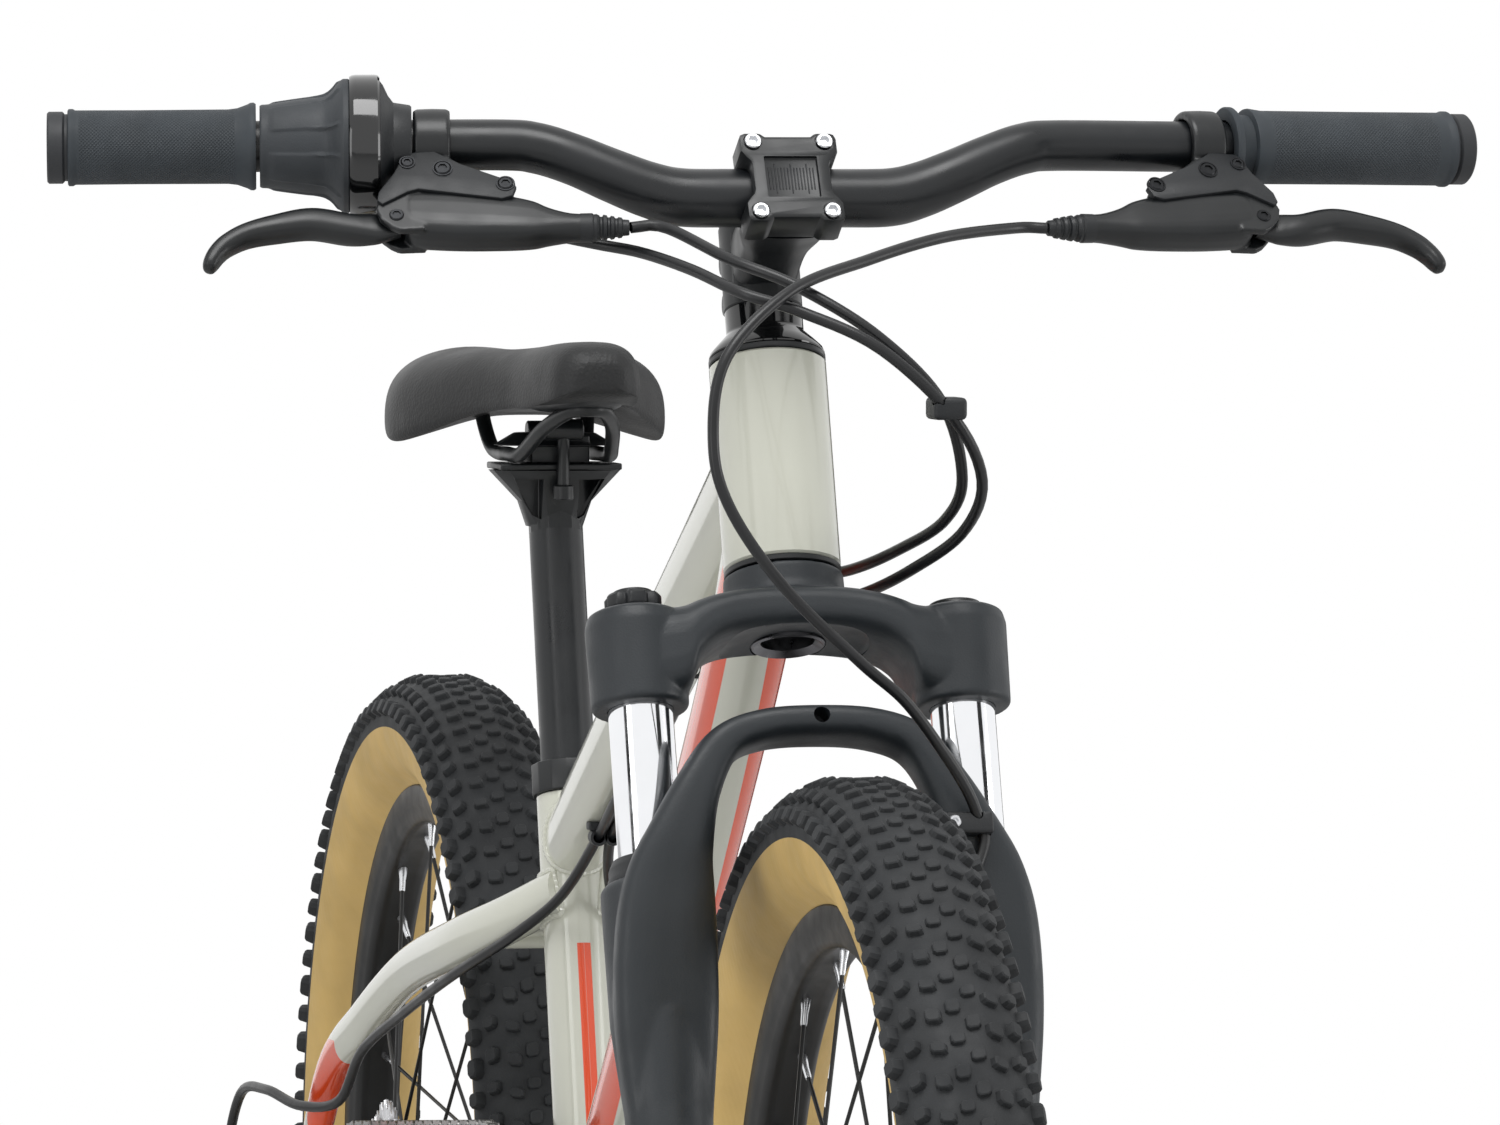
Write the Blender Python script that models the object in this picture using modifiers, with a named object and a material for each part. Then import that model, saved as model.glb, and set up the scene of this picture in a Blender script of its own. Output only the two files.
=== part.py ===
"""Kids mountain bike as an assembly of separate pieces.

Units are metres and +Z is up. The bike faces -Y, the rider's right and the chain are at -X, and the
origin is on the ground midway between the axles. Three leaning frames carry most pieces:
the steering axis, the seat post and the derailleur's parallelogram."""

import math

import bmesh
import bpy
from mathutils import Matrix, Vector

# Driving dimensions of the chassis.
WHEELBASE = 0.956
WHEEL_RADIUS = 0.263
HEAD_ANGLE = math.radians(69.6)
SEAT_ANGLE = math.radians(74.1)
FORK_OFFSET = 0.035
CRANK_CENTRE = Vector((0.0, 0.1035, 0.268))
CRANK_LENGTH = 0.140
GAP = 0.0003

# Heights along the steering axis, from the foot of the axle's perpendicular.
HEAD_BOTTOM = 0.380
HEAD_TOP = 0.474
HEAD_RADIUS = 0.0256
STEERER_RADIUS = 0.0143
CROWN_BOTTOM = 0.3105
LEG_HALF_SPACING = 0.071
LEG_FORWARD = 0.0183
STANCHION_RADIUS = 0.0141
LOWERS_TOP = 0.2425
STEM_BOTTOM = 0.4990
STEM_TOP = 0.5380
BAR_HEIGHT = 0.5302
BAR_REACH = 0.0593

# Handlebar, measured from its clamped centre.
BAR_HALF = 0.316
BAR_CENTRE_RADIUS = 0.0127
BAR_END_RADIUS = 0.0111
BAR_RISE = 0.0229
BAR_SWEEP = math.radians(10.0)
BAR_BEND_END = 0.120
LEVER_DROP = math.radians(48.0)
RIGHT_CLAMP_FROM_END = 0.166
LEFT_CLAMP_FROM_END = 0.128

# Wheels.
WHEEL_STEPS = 36
TYRE_BASE_RADIUS = 0.2604
KNOB_HEIGHT = 0.0037
RIM_EDGE_RADIUS = 0.2085
SPOKES_A_SIDE = 14
SPOKE_RADIUS = 0.0010
AXLE_RADIUS = 0.0048
ROTOR_RADIUS = 0.080
ROTOR_THICKNESS = 0.0018
FRONT_ROTOR_X = 0.0395
REAR_ROTOR_X = 0.0520
FRONT_DROPOUT_X = 0.0500
REAR_DROPOUT_X = 0.0675

# Drive train.
CHAIN_PITCH = 0.0127
CHAIN_HALF_HEIGHT = 0.0042
RING_TEETH = 32
RING_X = -0.0500
COG_TEETH = (28, 24, 22, 20, 18, 16, 14)
COG_SPACING = 0.0050
COG_FIRST_X = -0.0285
COG_IN_USE = 3
PULLEY_TEETH = 11

# Seat.
POST_RADIUS = 0.0127
SEAT_TUBE_RADIUS = 0.0156
SEAT_TUBE_TOP = 0.2235

TILT = math.pi / 2 - HEAD_ANGLE
SEAT_TILT = math.pi / 2 - SEAT_ANGLE
FRONT_AXLE = Vector((0.0, -WHEELBASE / 2, WHEEL_RADIUS))
REAR_AXLE = Vector((0.0, WHEELBASE / 2, WHEEL_RADIUS))
STEER_ROTATION = Matrix.Rotation(-TILT, 4, "X")
STEER_FOOT = FRONT_AXLE + STEER_ROTATION.to_3x3() @ Vector((0.0, FORK_OFFSET, 0.0))
STEERING = Matrix.Translation(STEER_FOOT) @ STEER_ROTATION
SEATING = Matrix.Translation(CRANK_CENTRE) @ Matrix.Rotation(-SEAT_TILT, 4, "X")
ALONG_X = Matrix.Rotation(math.pi / 2, 4, "Y")

# Colour, roughness and metallic value of each finish.
FINISHES = {
    "frame_paint": ((0.60, 0.61, 0.52), 0.25, 0.0),
    "satin_black": ((0.025, 0.025, 0.027), 0.38, 0.0),
    "fork_black": ((0.035, 0.036, 0.038), 0.55, 0.0),
    "gloss_black": ((0.012, 0.012, 0.013), 0.12, 0.0),
    "chrome": ((0.85, 0.86, 0.88), 0.06, 1.0),
    "silver": ((0.62, 0.63, 0.65), 0.30, 1.0),
    "steel": ((0.42, 0.42, 0.44), 0.35, 1.0),
    "grip_rubber": ((0.055, 0.057, 0.060), 0.80, 0.0),
    "tyre_rubber": ((0.030, 0.030, 0.031), 0.85, 0.0),
    "saddle_skin": ((0.018, 0.018, 0.019), 0.60, 0.0),
    "hose_black": ((0.015, 0.015, 0.016), 0.40, 0.0),
}


def clear_scene():
    for obj in list(bpy.data.objects):
        bpy.data.objects.remove(obj, do_unlink=True)


def new_collection(name):
    made = bpy.data.collections.new(name)
    bpy.context.scene.collection.children.link(made)
    return made


clear_scene()
PARTS = new_collection("kids_mountain_bike")
CUTTERS = new_collection("cutters")


# Shapes


def from_bmesh(name, bm, matrix=None):
    """A new object from a bmesh, its faces turned outwards, placed by the matrix."""
    bmesh.ops.recalc_face_normals(bm, faces=bm.faces)
    mesh = bpy.data.meshes.new(name)
    bm.to_mesh(mesh)
    bm.free()
    obj = bpy.data.objects.new(name, mesh)
    if matrix is not None:
        obj.matrix_world = matrix
    return obj


def bevelled(obj, width, segments=1, angle=50.0):
    """Rounds the object's edges that turn by more than the angle."""
    bevel = obj.modifiers.new("edges", "BEVEL")
    bevel.width = width
    bevel.segments = segments
    bevel.limit_method = "ANGLE"
    bevel.angle_limit = math.radians(angle)
    return obj


def box(name, size, centre, turn=None, bevel=0.0):
    bm = bmesh.new()
    bmesh.ops.create_cube(bm, size=1.0)
    bmesh.ops.scale(bm, vec=size, verts=bm.verts)
    placed = Matrix.Translation(centre)
    if turn is not None:
        placed = placed @ turn
    made = from_bmesh(name, bm, placed)
    return bevelled(made, bevel) if bevel else made


def between(start, end):
    """The matrix that carries local Z from start towards end."""
    start, end = Vector(start), Vector(end)
    turn = Vector((0.0, 0.0, 1.0)).rotation_difference(end - start).to_matrix().to_4x4()
    return Matrix.Translation(start) @ turn


def rod(name, radius, start, end, segments=16, end_radius=None):
    """A cylinder or cone with its axis from start to end."""
    length = (Vector(end) - Vector(start)).length
    bm = bmesh.new()
    bmesh.ops.create_cone(
        bm,
        cap_ends=True,
        segments=segments,
        radius1=radius,
        radius2=radius if end_radius is None else end_radius,
        depth=length,
    )
    return from_bmesh(name, bm, between(start, end) @ Matrix.Translation((0, 0, length / 2)))


def bored(name, radius, start, end, segments=14, gap=GAP):
    """A cutter for a round piece of this radius: its flats, not its corners, keep the gap."""
    return rod(name, (radius + gap) / math.cos(math.pi / segments), start, end, segments)


def turned(name, profile, matrix=None, steps=16):
    """A solid of revolution: (radius, height) points turned round local Z by a Screw modifier.

    The profile is an open line where both of its ends are on the axis, and a closed loop elsewhere.
    The Screw's faces look outwards when the outer side runs from top to bottom."""
    points = list(profile)
    area = 0.0
    for (r0, z0), (r1, z1) in zip(points, points[1:] + points[:1]):
        area += r0 * z1 - r1 * z0
    if area > 0.0:
        points.reverse()
    bm = bmesh.new()
    verts = [bm.verts.new((radius, 0.0, height)) for radius, height in points]
    for first, second in zip(verts, verts[1:]):
        bm.edges.new((first, second))
    if points[0][0] > 0.0 or points[-1][0] > 0.0:
        bm.edges.new((verts[-1], verts[0]))
    made = from_bmesh(name, bm, matrix)
    screw = made.modifiers.new("turn", "SCREW")
    screw.steps = steps
    screw.render_steps = steps
    screw.use_merge_vertices = True
    screw.merge_threshold = 0.00001
    return made


def mesh_of(obj, flat_faces=False):
    """The object's evaluated shape as a welded mesh object that takes its place.

    With flat_faces, triangles in one plane become one face, which a bevel needs."""
    bpy.context.scene.collection.objects.link(obj)
    bpy.context.view_layer.update()
    graph = bpy.context.evaluated_depsgraph_get()
    mesh = bpy.data.meshes.new_from_object(obj.evaluated_get(graph))
    bm = bmesh.new()
    bm.from_mesh(mesh)
    bmesh.ops.remove_doubles(bm, verts=bm.verts, dist=1e-6)
    if flat_faces:
        bmesh.ops.dissolve_limit(bm, angle_limit=0.001, verts=bm.verts, edges=bm.edges)
    name = obj.name
    matrix = obj.matrix_world.copy()
    bpy.data.objects.remove(obj, do_unlink=True)
    bpy.data.meshes.remove(mesh)
    return from_bmesh(name, bm, matrix)


def flat(name, outlines, thickness, matrix=None):
    """Closed outlines in local XY, holes among them, filled and extruded to a thickness along Z."""
    curve = bpy.data.curves.new(name, "CURVE")
    curve.dimensions = "2D"
    curve.fill_mode = "BOTH"
    curve.extrude = thickness / 2
    for outline in outlines:
        spline = curve.splines.new("POLY")
        spline.points.add(len(outline) - 1)
        spline.use_cyclic_u = True
        for point, (x, y) in zip(spline.points, outline):
            point.co = (x, y, 0.0, 1.0)
    obj = bpy.data.objects.new(name, curve)
    if matrix is not None:
        obj.matrix_world = matrix
    return mesh_of(obj, flat_faces=len(outlines) == 1)


def tube(name, points, radius, resolution=1):
    """A round tube with closed ends along a line of points."""
    curve = bpy.data.curves.new(name, "CURVE")
    curve.dimensions = "3D"
    curve.bevel_depth = radius
    curve.bevel_resolution = resolution
    curve.use_fill_caps = True
    spline = curve.splines.new("POLY")
    spline.points.add(len(points) - 1)
    for point, place in zip(spline.points, points):
        point.co = (*place, 1.0)
    return mesh_of(bpy.data.objects.new(name, curve))


def smooth_route(points, count):
    """Points spaced evenly along a smooth curve through the given ones."""
    points = [Vector(point) for point in points]
    ends = [2 * points[0] - points[1]] + points + [2 * points[-1] - points[-2]]
    fine = []
    steps = 24
    for a, b, c, d in zip(ends, ends[1:], ends[2:], ends[3:]):
        for i in range(steps):
            t = i / steps
            fine.append(
                0.5
                * (
                    2 * b
                    + (c - a) * t
                    + (2 * a - 5 * b + 4 * c - d) * t * t
                    + (3 * b - a - 3 * c + d) * t**3
                )
            )
    fine.append(points[-1])
    return evenly_spaced(fine, count)


def evenly_spaced(line, count):
    lengths = [0.0]
    for first, second in zip(line, line[1:]):
        lengths.append(lengths[-1] + (second - first).length)
    spaced = []
    k = 0
    for i in range(count):
        wanted = lengths[-1] * i / (count - 1)
        while k < len(line) - 2 and lengths[k + 1] < wanted:
            k += 1
        share = (wanted - lengths[k]) / max(lengths[k + 1] - lengths[k], 1e-12)
        spaced.append(line[k].lerp(line[k + 1], min(max(share, 0.0), 1.0)))
    return spaced


def loft(name, rings, matrix=None, cyclic=False):
    """A closed solid through rings of equal point count, capped at both ends unless cyclic."""
    bm = bmesh.new()
    rows = [[bm.verts.new(point) for point in ring] for ring in rings]
    pairs = list(zip(rows, rows[1:]))
    if cyclic:
        pairs.append((rows[-1], rows[0]))
    else:
        bm.faces.new(rows[0][::-1])
        bm.faces.new(rows[-1])
    for first, second in pairs:
        for i in range(len(first)):
            j = (i + 1) % len(first)
            bm.faces.new((first[i], first[j], second[j], second[i]))
    return from_bmesh(name, bm, matrix)


def ellipse(centre, side, up, half_side, half_up, count=12, squareness=1.0):
    """A ring of points; squareness below 1 flattens its sides."""
    ring = []
    for i in range(count):
        angle = 2 * math.pi * (i + 0.5) / count
        c, s = math.cos(angle), math.sin(angle)
        across = math.copysign(abs(c) ** squareness, c) * half_side
        along = math.copysign(abs(s) ** squareness, s) * half_up
        ring.append(Vector(centre) + across * Vector(side) + along * Vector(up))
    return ring


def oval_sweep(name, path, sizes, count=12, squareness=1.0, side=Vector((1.0, 0.0, 0.0))):
    """An oval tube along path. Each size is (half across the side direction, half the other way)."""
    path = [Vector(point) for point in path]
    rings = []
    for i, (centre, (half_side, half_up)) in enumerate(zip(path, sizes)):
        ahead = path[min(i + 1, len(path) - 1)] - path[max(i - 1, 0)]
        ahead.normalize()
        across = (side - ahead * side.dot(ahead)).normalized()
        up = ahead.cross(across)
        rings.append(ellipse(centre, across, up, half_side, half_up, count, squareness))
    return loft(name, rings)


def arc(centre, radius, start, end, count):
    """Points on an arc, angles in degrees, both ends included."""
    found = []
    for i in range(count):
        angle = math.radians(start + (end - start) * i / (count - 1))
        found.append((centre[0] + radius * math.cos(angle), centre[1] + radius * math.sin(angle)))
    return found


def circle(centre, radius, count):
    return arc(centre, radius, 0.0, 360.0 * (count - 1) / count, count)


# Assembly


def empty(name, matrix, parent=None):
    obj = bpy.data.objects.new(name, None)
    obj.empty_display_size = 0.03
    PARTS.objects.link(obj)
    if parent is not None:
        obj.parent = parent
    obj.matrix_world = matrix
    bpy.context.view_layer.update()
    return obj


def combine(target, operation, tools):
    """Boolean modifiers on the target, one for each tool, which goes with the cutters."""
    for tool in tools:
        tool.name = f"{target.name}_{operation.lower()}_{len(target.modifiers)}"
        CUTTERS.objects.link(tool)
        tool.hide_render = True
        tool.display_type = "WIRE"
        modifier = target.modifiers.new(tool.name, "BOOLEAN")
        modifier.operation = operation
        modifier.solver = "EXACT"
        modifier.object = tool
    return target


def join(target, *tools):
    return combine(target, "UNION", tools)


def cut(target, *tools):
    return combine(target, "DIFFERENCE", tools)


def finish_material(name, finish):
    colour, roughness, metallic = FINISHES[finish]
    material = bpy.data.materials.new(f"{name}_{finish}")
    material.use_nodes = True
    shader = material.node_tree.nodes["Principled BSDF"]
    shader.inputs["Base Color"].default_value = (*colour, 1.0)
    shader.inputs["Roughness"].default_value = roughness
    shader.inputs["Metallic"].default_value = metallic
    material.diffuse_color = (*colour, 1.0)
    return material


def add(obj, finish, parent):
    """Makes the object a part: into the collection, finished, shaded, and carried by an empty."""
    PARTS.objects.link(obj)
    obj.data.materials.clear()
    obj.data.materials.append(finish_material(obj.name, finish))
    obj.data.shade_smooth()
    obj.data.set_sharp_from_angle(angle=math.radians(35))
    placed = obj.matrix_world.copy()
    obj.parent = parent
    obj.matrix_world = placed
    return obj


def mirrored(obj, name, finish, parent, shift):
    """The other side's copy of a part: its evaluated shape reflected in the bike's middle plane."""
    bpy.context.view_layer.update()
    graph = bpy.context.evaluated_depsgraph_get()
    mesh = bpy.data.meshes.new_from_object(obj.evaluated_get(graph))
    bm = bmesh.new()
    bm.from_mesh(mesh)
    bpy.data.meshes.remove(mesh)
    reflect = Matrix.Scale(-1.0, 4, (1.0, 0.0, 0.0))
    rigid = reflect @ obj.matrix_world @ reflect
    bmesh.ops.transform(bm, matrix=reflect, verts=bm.verts)
    return add(from_bmesh(name, bm, Matrix.Translation(shift) @ rigid), finish, parent)


def lean(points):
    """Points given in the steering frame, in world space."""
    return [STEERING @ Vector(point) for point in points]


# Frame


def seat_point(height):
    return SEATING @ Vector((0.0, 0.0, height))


def head_point(height):
    return STEERING @ Vector((0.0, 0.0, height))


def down_tube():
    """Leaves the head tube above its lower cup, then follows the line to the crank."""
    start = head_point(0.402)
    path = [head_point(0.419)] + [start.lerp(CRANK_CENTRE, share) for share in (0.20, 0.60, 1.0)]
    sizes = [(0.0190, 0.0190), (0.0168, 0.0228), (0.0168, 0.0235), (0.0195, 0.0195)]
    return oval_sweep("down_tube", path, sizes, count=10, squareness=0.85)


def top_tube():
    start, end = head_point(0.440), Vector((0.0, 0.1590, 0.4590))
    path = [start.lerp(end, share) for share in (0.0, 0.15, 0.60, 1.0)]
    sizes = [(0.0190, 0.0235), (0.0172, 0.0212), (0.0160, 0.0188), (0.0140, 0.0180)]
    return oval_sweep("top_tube", path, sizes, count=10, squareness=0.85)


def seat_stay(side):
    route = [
        (0.0080, 0.1420, 0.4400),
        (0.0280, 0.1740, 0.4245),
        (0.0420, 0.2230, 0.4108),
        (0.0495, 0.3100, 0.3920),
        (0.0580, 0.3800, 0.3630),
        (0.0640, 0.4366, 0.3344),
        (0.0700, 0.4740, 0.2760),
    ]
    sizes = [(0.0085, 0.0120)] * 3 + [(0.0080, 0.0115)] * 2 + [(0.0078, 0.0105), (0.0060, 0.0080)]
    path = [(side * x, y, z) for x, y, z in route]
    return oval_sweep("seat_stay", path, sizes, count=8)


def chain_stay(side):
    route = [
        (0.020, 0.106, 0.266),
        (0.0370, 0.170, 0.263),
        (0.0470, 0.235, 0.261),
        (0.0540, 0.330, 0.259),
        (0.0690, 0.462, 0.260),
    ]
    sizes = [(0.0090, 0.0135), (0.0066, 0.0132), (0.0080, 0.0115), (0.0080, 0.0105), (0.0055, 0.0085)]
    path = [(side * x, y, z) for x, y, z in route]
    return oval_sweep("chain_stay", path, sizes, count=8)


def dropout_plate(side):
    """A vertical plate with the axle's slot open at the bottom."""
    y, z = REAR_AXLE.y, REAR_AXLE.z
    slot = AXLE_RADIUS + 2 * GAP
    outline = [(y - slot, z - 0.014)] + arc((y, z), slot, 180.0, 0.0, 5)
    outline += [(y + slot, z - 0.014), (y + 0.013, z - 0.016), (y + 0.016, z - 0.004)]
    outline += [(y + 0.013, z + 0.014), (y + 0.004, z + 0.026), (y - 0.006, z + 0.024)]
    outline += [(y - 0.012, z + 0.010), (y - 0.028, z + 0.006), (y - 0.030, z - 0.008)]
    outline += [(y - 0.014, z - 0.016)]
    thickness = 0.0060
    x = side * (REAR_DROPOUT_X + thickness / 2)
    turn = Matrix(((0, 0, 1, x), (1, 0, 0, 0), (0, 1, 0, 0), (0, 0, 0, 1)))
    return flat("dropout", [outline], thickness, turn)


def frame_details():
    """Bridges, cable guides, bottle bosses and the rear brake's posts."""
    pieces = [
        rod("stay_bridge", 0.0060, (-0.036, 0.205, 0.415), (0.036, 0.205, 0.415), 10),
        rod("chain_stay_bridge", 0.0060, (-0.037, 0.176, 0.263), (0.037, 0.176, 0.263), 10),
        box("stay_plate", (0.056, 0.036, 0.005), (0.0, 0.185, 0.4215), Matrix.Rotation(-0.27, 4, "X")),
    ]
    for share in (0.40, 0.52):
        centre = head_point(0.402).lerp(CRANK_CENTRE, share)
        out = Vector((0.0, 0.66, 0.75)).normalized()
        pieces.append(rod("bottle_boss", 0.0050, centre + 0.012 * out, centre + 0.0280 * out, 12))
    for y in (0.4110, 0.4350):
        pieces.append(box("caliper_post", (0.0110, 0.0110, 0.0255), (0.0602, y, 0.27275)))
    return pieces


def build_frame(parent):
    head = turned(
        "frame",
        [
            (0.0, HEAD_BOTTOM),
            (HEAD_RADIUS, HEAD_BOTTOM),
            (HEAD_RADIUS, HEAD_BOTTOM + 0.010),
            (HEAD_RADIUS, HEAD_TOP - 0.010),
            (HEAD_RADIUS, HEAD_TOP),
            (0.0, HEAD_TOP),
        ],
        STEERING,
        steps=18,
    )
    join(head, down_tube(), top_tube())
    join(head, rod("seat_tube", SEAT_TUBE_RADIUS, seat_point(0.0), seat_point(SEAT_TUBE_TOP), 14))
    bb_half = Vector((0.034, 0.0, 0.0))
    join(head, rod("bb_shell", 0.0205, CRANK_CENTRE - bb_half, CRANK_CENTRE + bb_half, 18))
    for side in (-1, 1):
        join(head, seat_stay(side), chain_stay(side), dropout_plate(side))
    join(head, *frame_details())
    cut(head, rod("head_bore", 0.0222, head_point(HEAD_BOTTOM - 0.01), head_point(HEAD_TOP + 0.01), 16))
    cut(head, bored("seat_bore", POST_RADIUS, seat_point(0.022), seat_point(0.26)))
    shell_end = Vector((0.045, 0.0, 0.0))
    cut(head, rod("bb_bore", 0.0172, CRANK_CENTRE - shell_end, CRANK_CENTRE + shell_end, 16))
    return add(head, "frame_paint", parent)


def build_headset(parent, steering):
    upper = [(0.0172, HEAD_TOP - 0.0115), (0.0219, HEAD_TOP - 0.0115), (0.0219, HEAD_TOP + GAP)]
    upper += [(0.0256, HEAD_TOP + GAP), (0.0256, HEAD_TOP + 0.0030), (0.0172, HEAD_TOP + 0.0030)]
    add(turned("headset_upper_cup", upper, STEERING), "satin_black", parent)
    lower = [(0.0172, HEAD_BOTTOM - 0.0030), (0.0256, HEAD_BOTTOM - 0.0030), (0.0256, HEAD_BOTTOM - GAP)]
    lower += [(0.0219, HEAD_BOTTOM - GAP), (0.0219, HEAD_BOTTOM + 0.0115), (0.0172, HEAD_BOTTOM + 0.0115)]
    add(turned("headset_lower_cup", lower, STEERING), "satin_black", parent)
    base = HEAD_TOP + 0.0030 + GAP
    cover = [(0.0147, base), (0.0254, base), (0.0250, base + 0.002), (0.0178, base + 0.0105)]
    cover += [(0.0170, base + 0.0115), (0.0170, STEM_BOTTOM - GAP), (0.0147, STEM_BOTTOM - GAP)]
    add(turned("headset_cover", cover, STEERING), "gloss_black", steering)


def build_seat_clamp(parent):
    """A split collar on top of the seat tube, with ears and a bolt behind it."""
    base, top = SEAT_TUBE_TOP + GAP, SEAT_TUBE_TOP + 0.0150
    inner, outer = POST_RADIUS + 0.0006, 0.0176
    ring = turned("seat_clamp", [(inner, base), (outer, base), (outer, top), (inner, top)], SEATING, steps=14)
    middle = (base + top) / 2
    lean_back = Matrix.Rotation(-SEAT_TILT, 4, "X")
    ears = SEATING @ Vector((0.0, outer + 0.0040, middle))
    slot = SEATING @ Vector((0.0, outer + 0.0060, middle))
    join(ring, box("ears", (0.0180, 0.0150, 0.0110), ears, lean_back))
    cut(ring, box("slot", (0.0024, 0.0240, 0.0300), slot, lean_back))
    ends = [SEATING @ Vector((x, outer + 0.0065, middle)) for x in (-0.0125, 0.0125)]
    join(ring, rod("bolt", 0.0028, ends[0], ends[1], 8))
    return add(ring, "satin_black", parent)


def build_bottom_bracket(parent):
    profile = [(0.0089, -0.0370), (0.0150, -0.0370), (0.0168, -0.0350), (0.0168, 0.0350)]
    profile += [(0.0150, 0.0370), (0.0089, 0.0370)]
    matrix = Matrix.Translation(CRANK_CENTRE) @ ALONG_X
    return add(turned("bottom_bracket", profile, matrix), "satin_black", parent)


# Fork


def leg_point(side, height):
    return STEERING @ Vector((side * LEG_HALF_SPACING, -LEG_FORWARD, height))


def crown_bridge():
    """The forged bridge between the two legs: sections along X, thick at the steerer, deep at the legs.

    Each station holds |x|, the underside's height, the top's height, the middle's reach and half depth."""
    half = [
        (0.0000, 0.3475, 0.3745, -0.0100, 0.0265),
        (0.0200, 0.3462, 0.3738, -0.0105, 0.0262),
        (0.0350, 0.3405, 0.3700, -0.0125, 0.0250),
        (0.0450, 0.3310, 0.3650, -0.0150, 0.0230),
        (0.0515, 0.3160, 0.3615, -0.0170, 0.0215),
        (0.0660, 0.3115, 0.3590, -0.0183, 0.0200),
    ]
    stations = [(-x, *rest) for x, *rest in half[:0:-1]] + half
    rings = []
    for x, low, high, reach, depth in stations:
        centre = (x, reach, (low + high) / 2)
        rings.append(ellipse(centre, (0, 1, 0), (0, 0, 1), depth / 0.95, (high - low) / 1.9, 8, 0.6))
    return loft("fork_crown", rings, STEERING)


def build_fork_crown(parent):
    """One forging: bridge, leg sockets, steerer seat and steerer, the rider's left socket capped."""
    crown = crown_bridge()
    for side in (-1, 1):
        socket = [(0.0, CROWN_BOTTOM), (0.0212, CROWN_BOTTOM), (0.0218, 0.3530)]
        socket += [(0.0190, 0.3600), (0.0, 0.3600)]
        leg = STEERING @ Matrix.Translation((side * LEG_HALF_SPACING, -LEG_FORWARD, 0.0))
        join(crown, turned("socket", socket, leg, steps=16))
    collar = [(0.0, 0.3600), (0.0310, 0.3600), (0.0268, 0.3700), (0.0255, 0.3765), (0.0, 0.3765)]
    join(crown, turned("collar", collar, STEERING, steps=16))
    join(crown, rod("steerer", STEERER_RADIUS, head_point(0.370), head_point(0.5360), 12))
    cut(crown, rod("steerer_bore", 0.0118, head_point(0.330), head_point(0.560), 10))
    cut(crown, rod("crown_bore", 0.0166, head_point(0.330), head_point(0.3560), 14))
    for side in (-1, 1):
        start, end = leg_point(side, 0.300), leg_point(side, 0.3555)
        cut(crown, bored("stanchion_bore", STANCHION_RADIUS, start, end, 16))
    join(crown, rod("cap", 0.0115, leg_point(1, 0.3560), leg_point(1, 0.3630), 12))
    return add(crown, "fork_black", parent)


def build_stanchions(parent):
    for side, name in ((-1, "stanchion_right"), (1, "stanchion_left")):
        profile = [(0.0, 0.110), (STANCHION_RADIUS, 0.110), (STANCHION_RADIUS, 0.3550), (0.0, 0.3550)]
        leg = STEERING @ Matrix.Translation((side * LEG_HALF_SPACING, -LEG_FORWARD, 0.0))
        add(turned(name, profile, leg, steps=16), "chrome", parent)


def build_preload_knob(steering):
    """The adjuster on top of the rider's right leg, with a fluted rim."""
    count, radius = 18, 0.0118
    outline = []
    for i in range(count):
        angle = 2 * math.pi * i / count
        reach = radius if i % 3 else radius - 0.0011
        outline.append((reach * math.cos(angle), reach * math.sin(angle)))
    centre = (-LEG_HALF_SPACING, -LEG_FORWARD, 0.3603)
    axis = empty("preload_knob_axis", STEERING @ Matrix.Translation(centre), steering)
    lower = flat("preload_knob", [outline], 0.0060, axis.matrix_world @ Matrix.Translation((0, 0, 0.0030)))
    top = [(0.0, 0.0055), (0.0098, 0.0055), (0.0090, 0.0078), (0.0035, 0.0085), (0.0, 0.0085)]
    join(lower, turned("top", top, axis.matrix_world))
    return add(lower, "satin_black", axis)


def fork_arch():
    """The brace over the tyre as one sweep from leg to leg: slim at its crest, broad where it meets them.

    Each station holds |x|, reach, height, half width across the sweep and half depth."""
    half = [
        (0.0000, -0.0450, 0.2975, 0.0070, 0.0125),
        (0.0240, -0.0450, 0.2950, 0.0072, 0.0125),
        (0.0440, -0.0448, 0.2840, 0.0085, 0.0120),
        (0.0575, -0.0440, 0.2640, 0.0120, 0.0105),
        (0.0660, -0.0425, 0.2400, 0.0165, 0.0092),
        (0.0705, -0.0370, 0.2120, 0.0205, 0.0105),
        (0.0712, -0.0290, 0.1720, 0.0185, 0.0110),
        (0.0712, -0.0220, 0.1300, 0.0130, 0.0100),
    ]
    stations = [(-x, *rest) for x, *rest in half[:0:-1]] + half
    path = [STEERING @ Vector((x, y, z)) for x, y, z, _, _ in stations]
    sizes = [(depth / 0.95, width / 0.95) for _, _, _, width, depth in stations]
    across = STEER_ROTATION.to_3x3() @ Vector((0.0, 1.0, 0.0))
    return oval_sweep("fork_lowers", path, sizes, count=8, squareness=0.6, side=across)


def fork_dropout(side):
    """A thick tab on the inside of the leg that carries the axle."""
    outline = [(-0.0470, -0.0110), (-0.0220, -0.0110), (-0.0120, 0.0020), (-0.0100, 0.0340)]
    outline += [(-0.0270, 0.0360), (-0.0440, 0.0140), (-0.0490, 0.0000)]
    thickness = 0.0120
    x = side * (FRONT_DROPOUT_X + thickness / 2)
    turn = Matrix(((0, 0, 1, x), (1, 0, 0, 0), (0, 1, 0, 0), (0, 0, 0, 1)))
    return flat("fork_dropout", [outline], thickness, STEERING @ turn)


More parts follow.
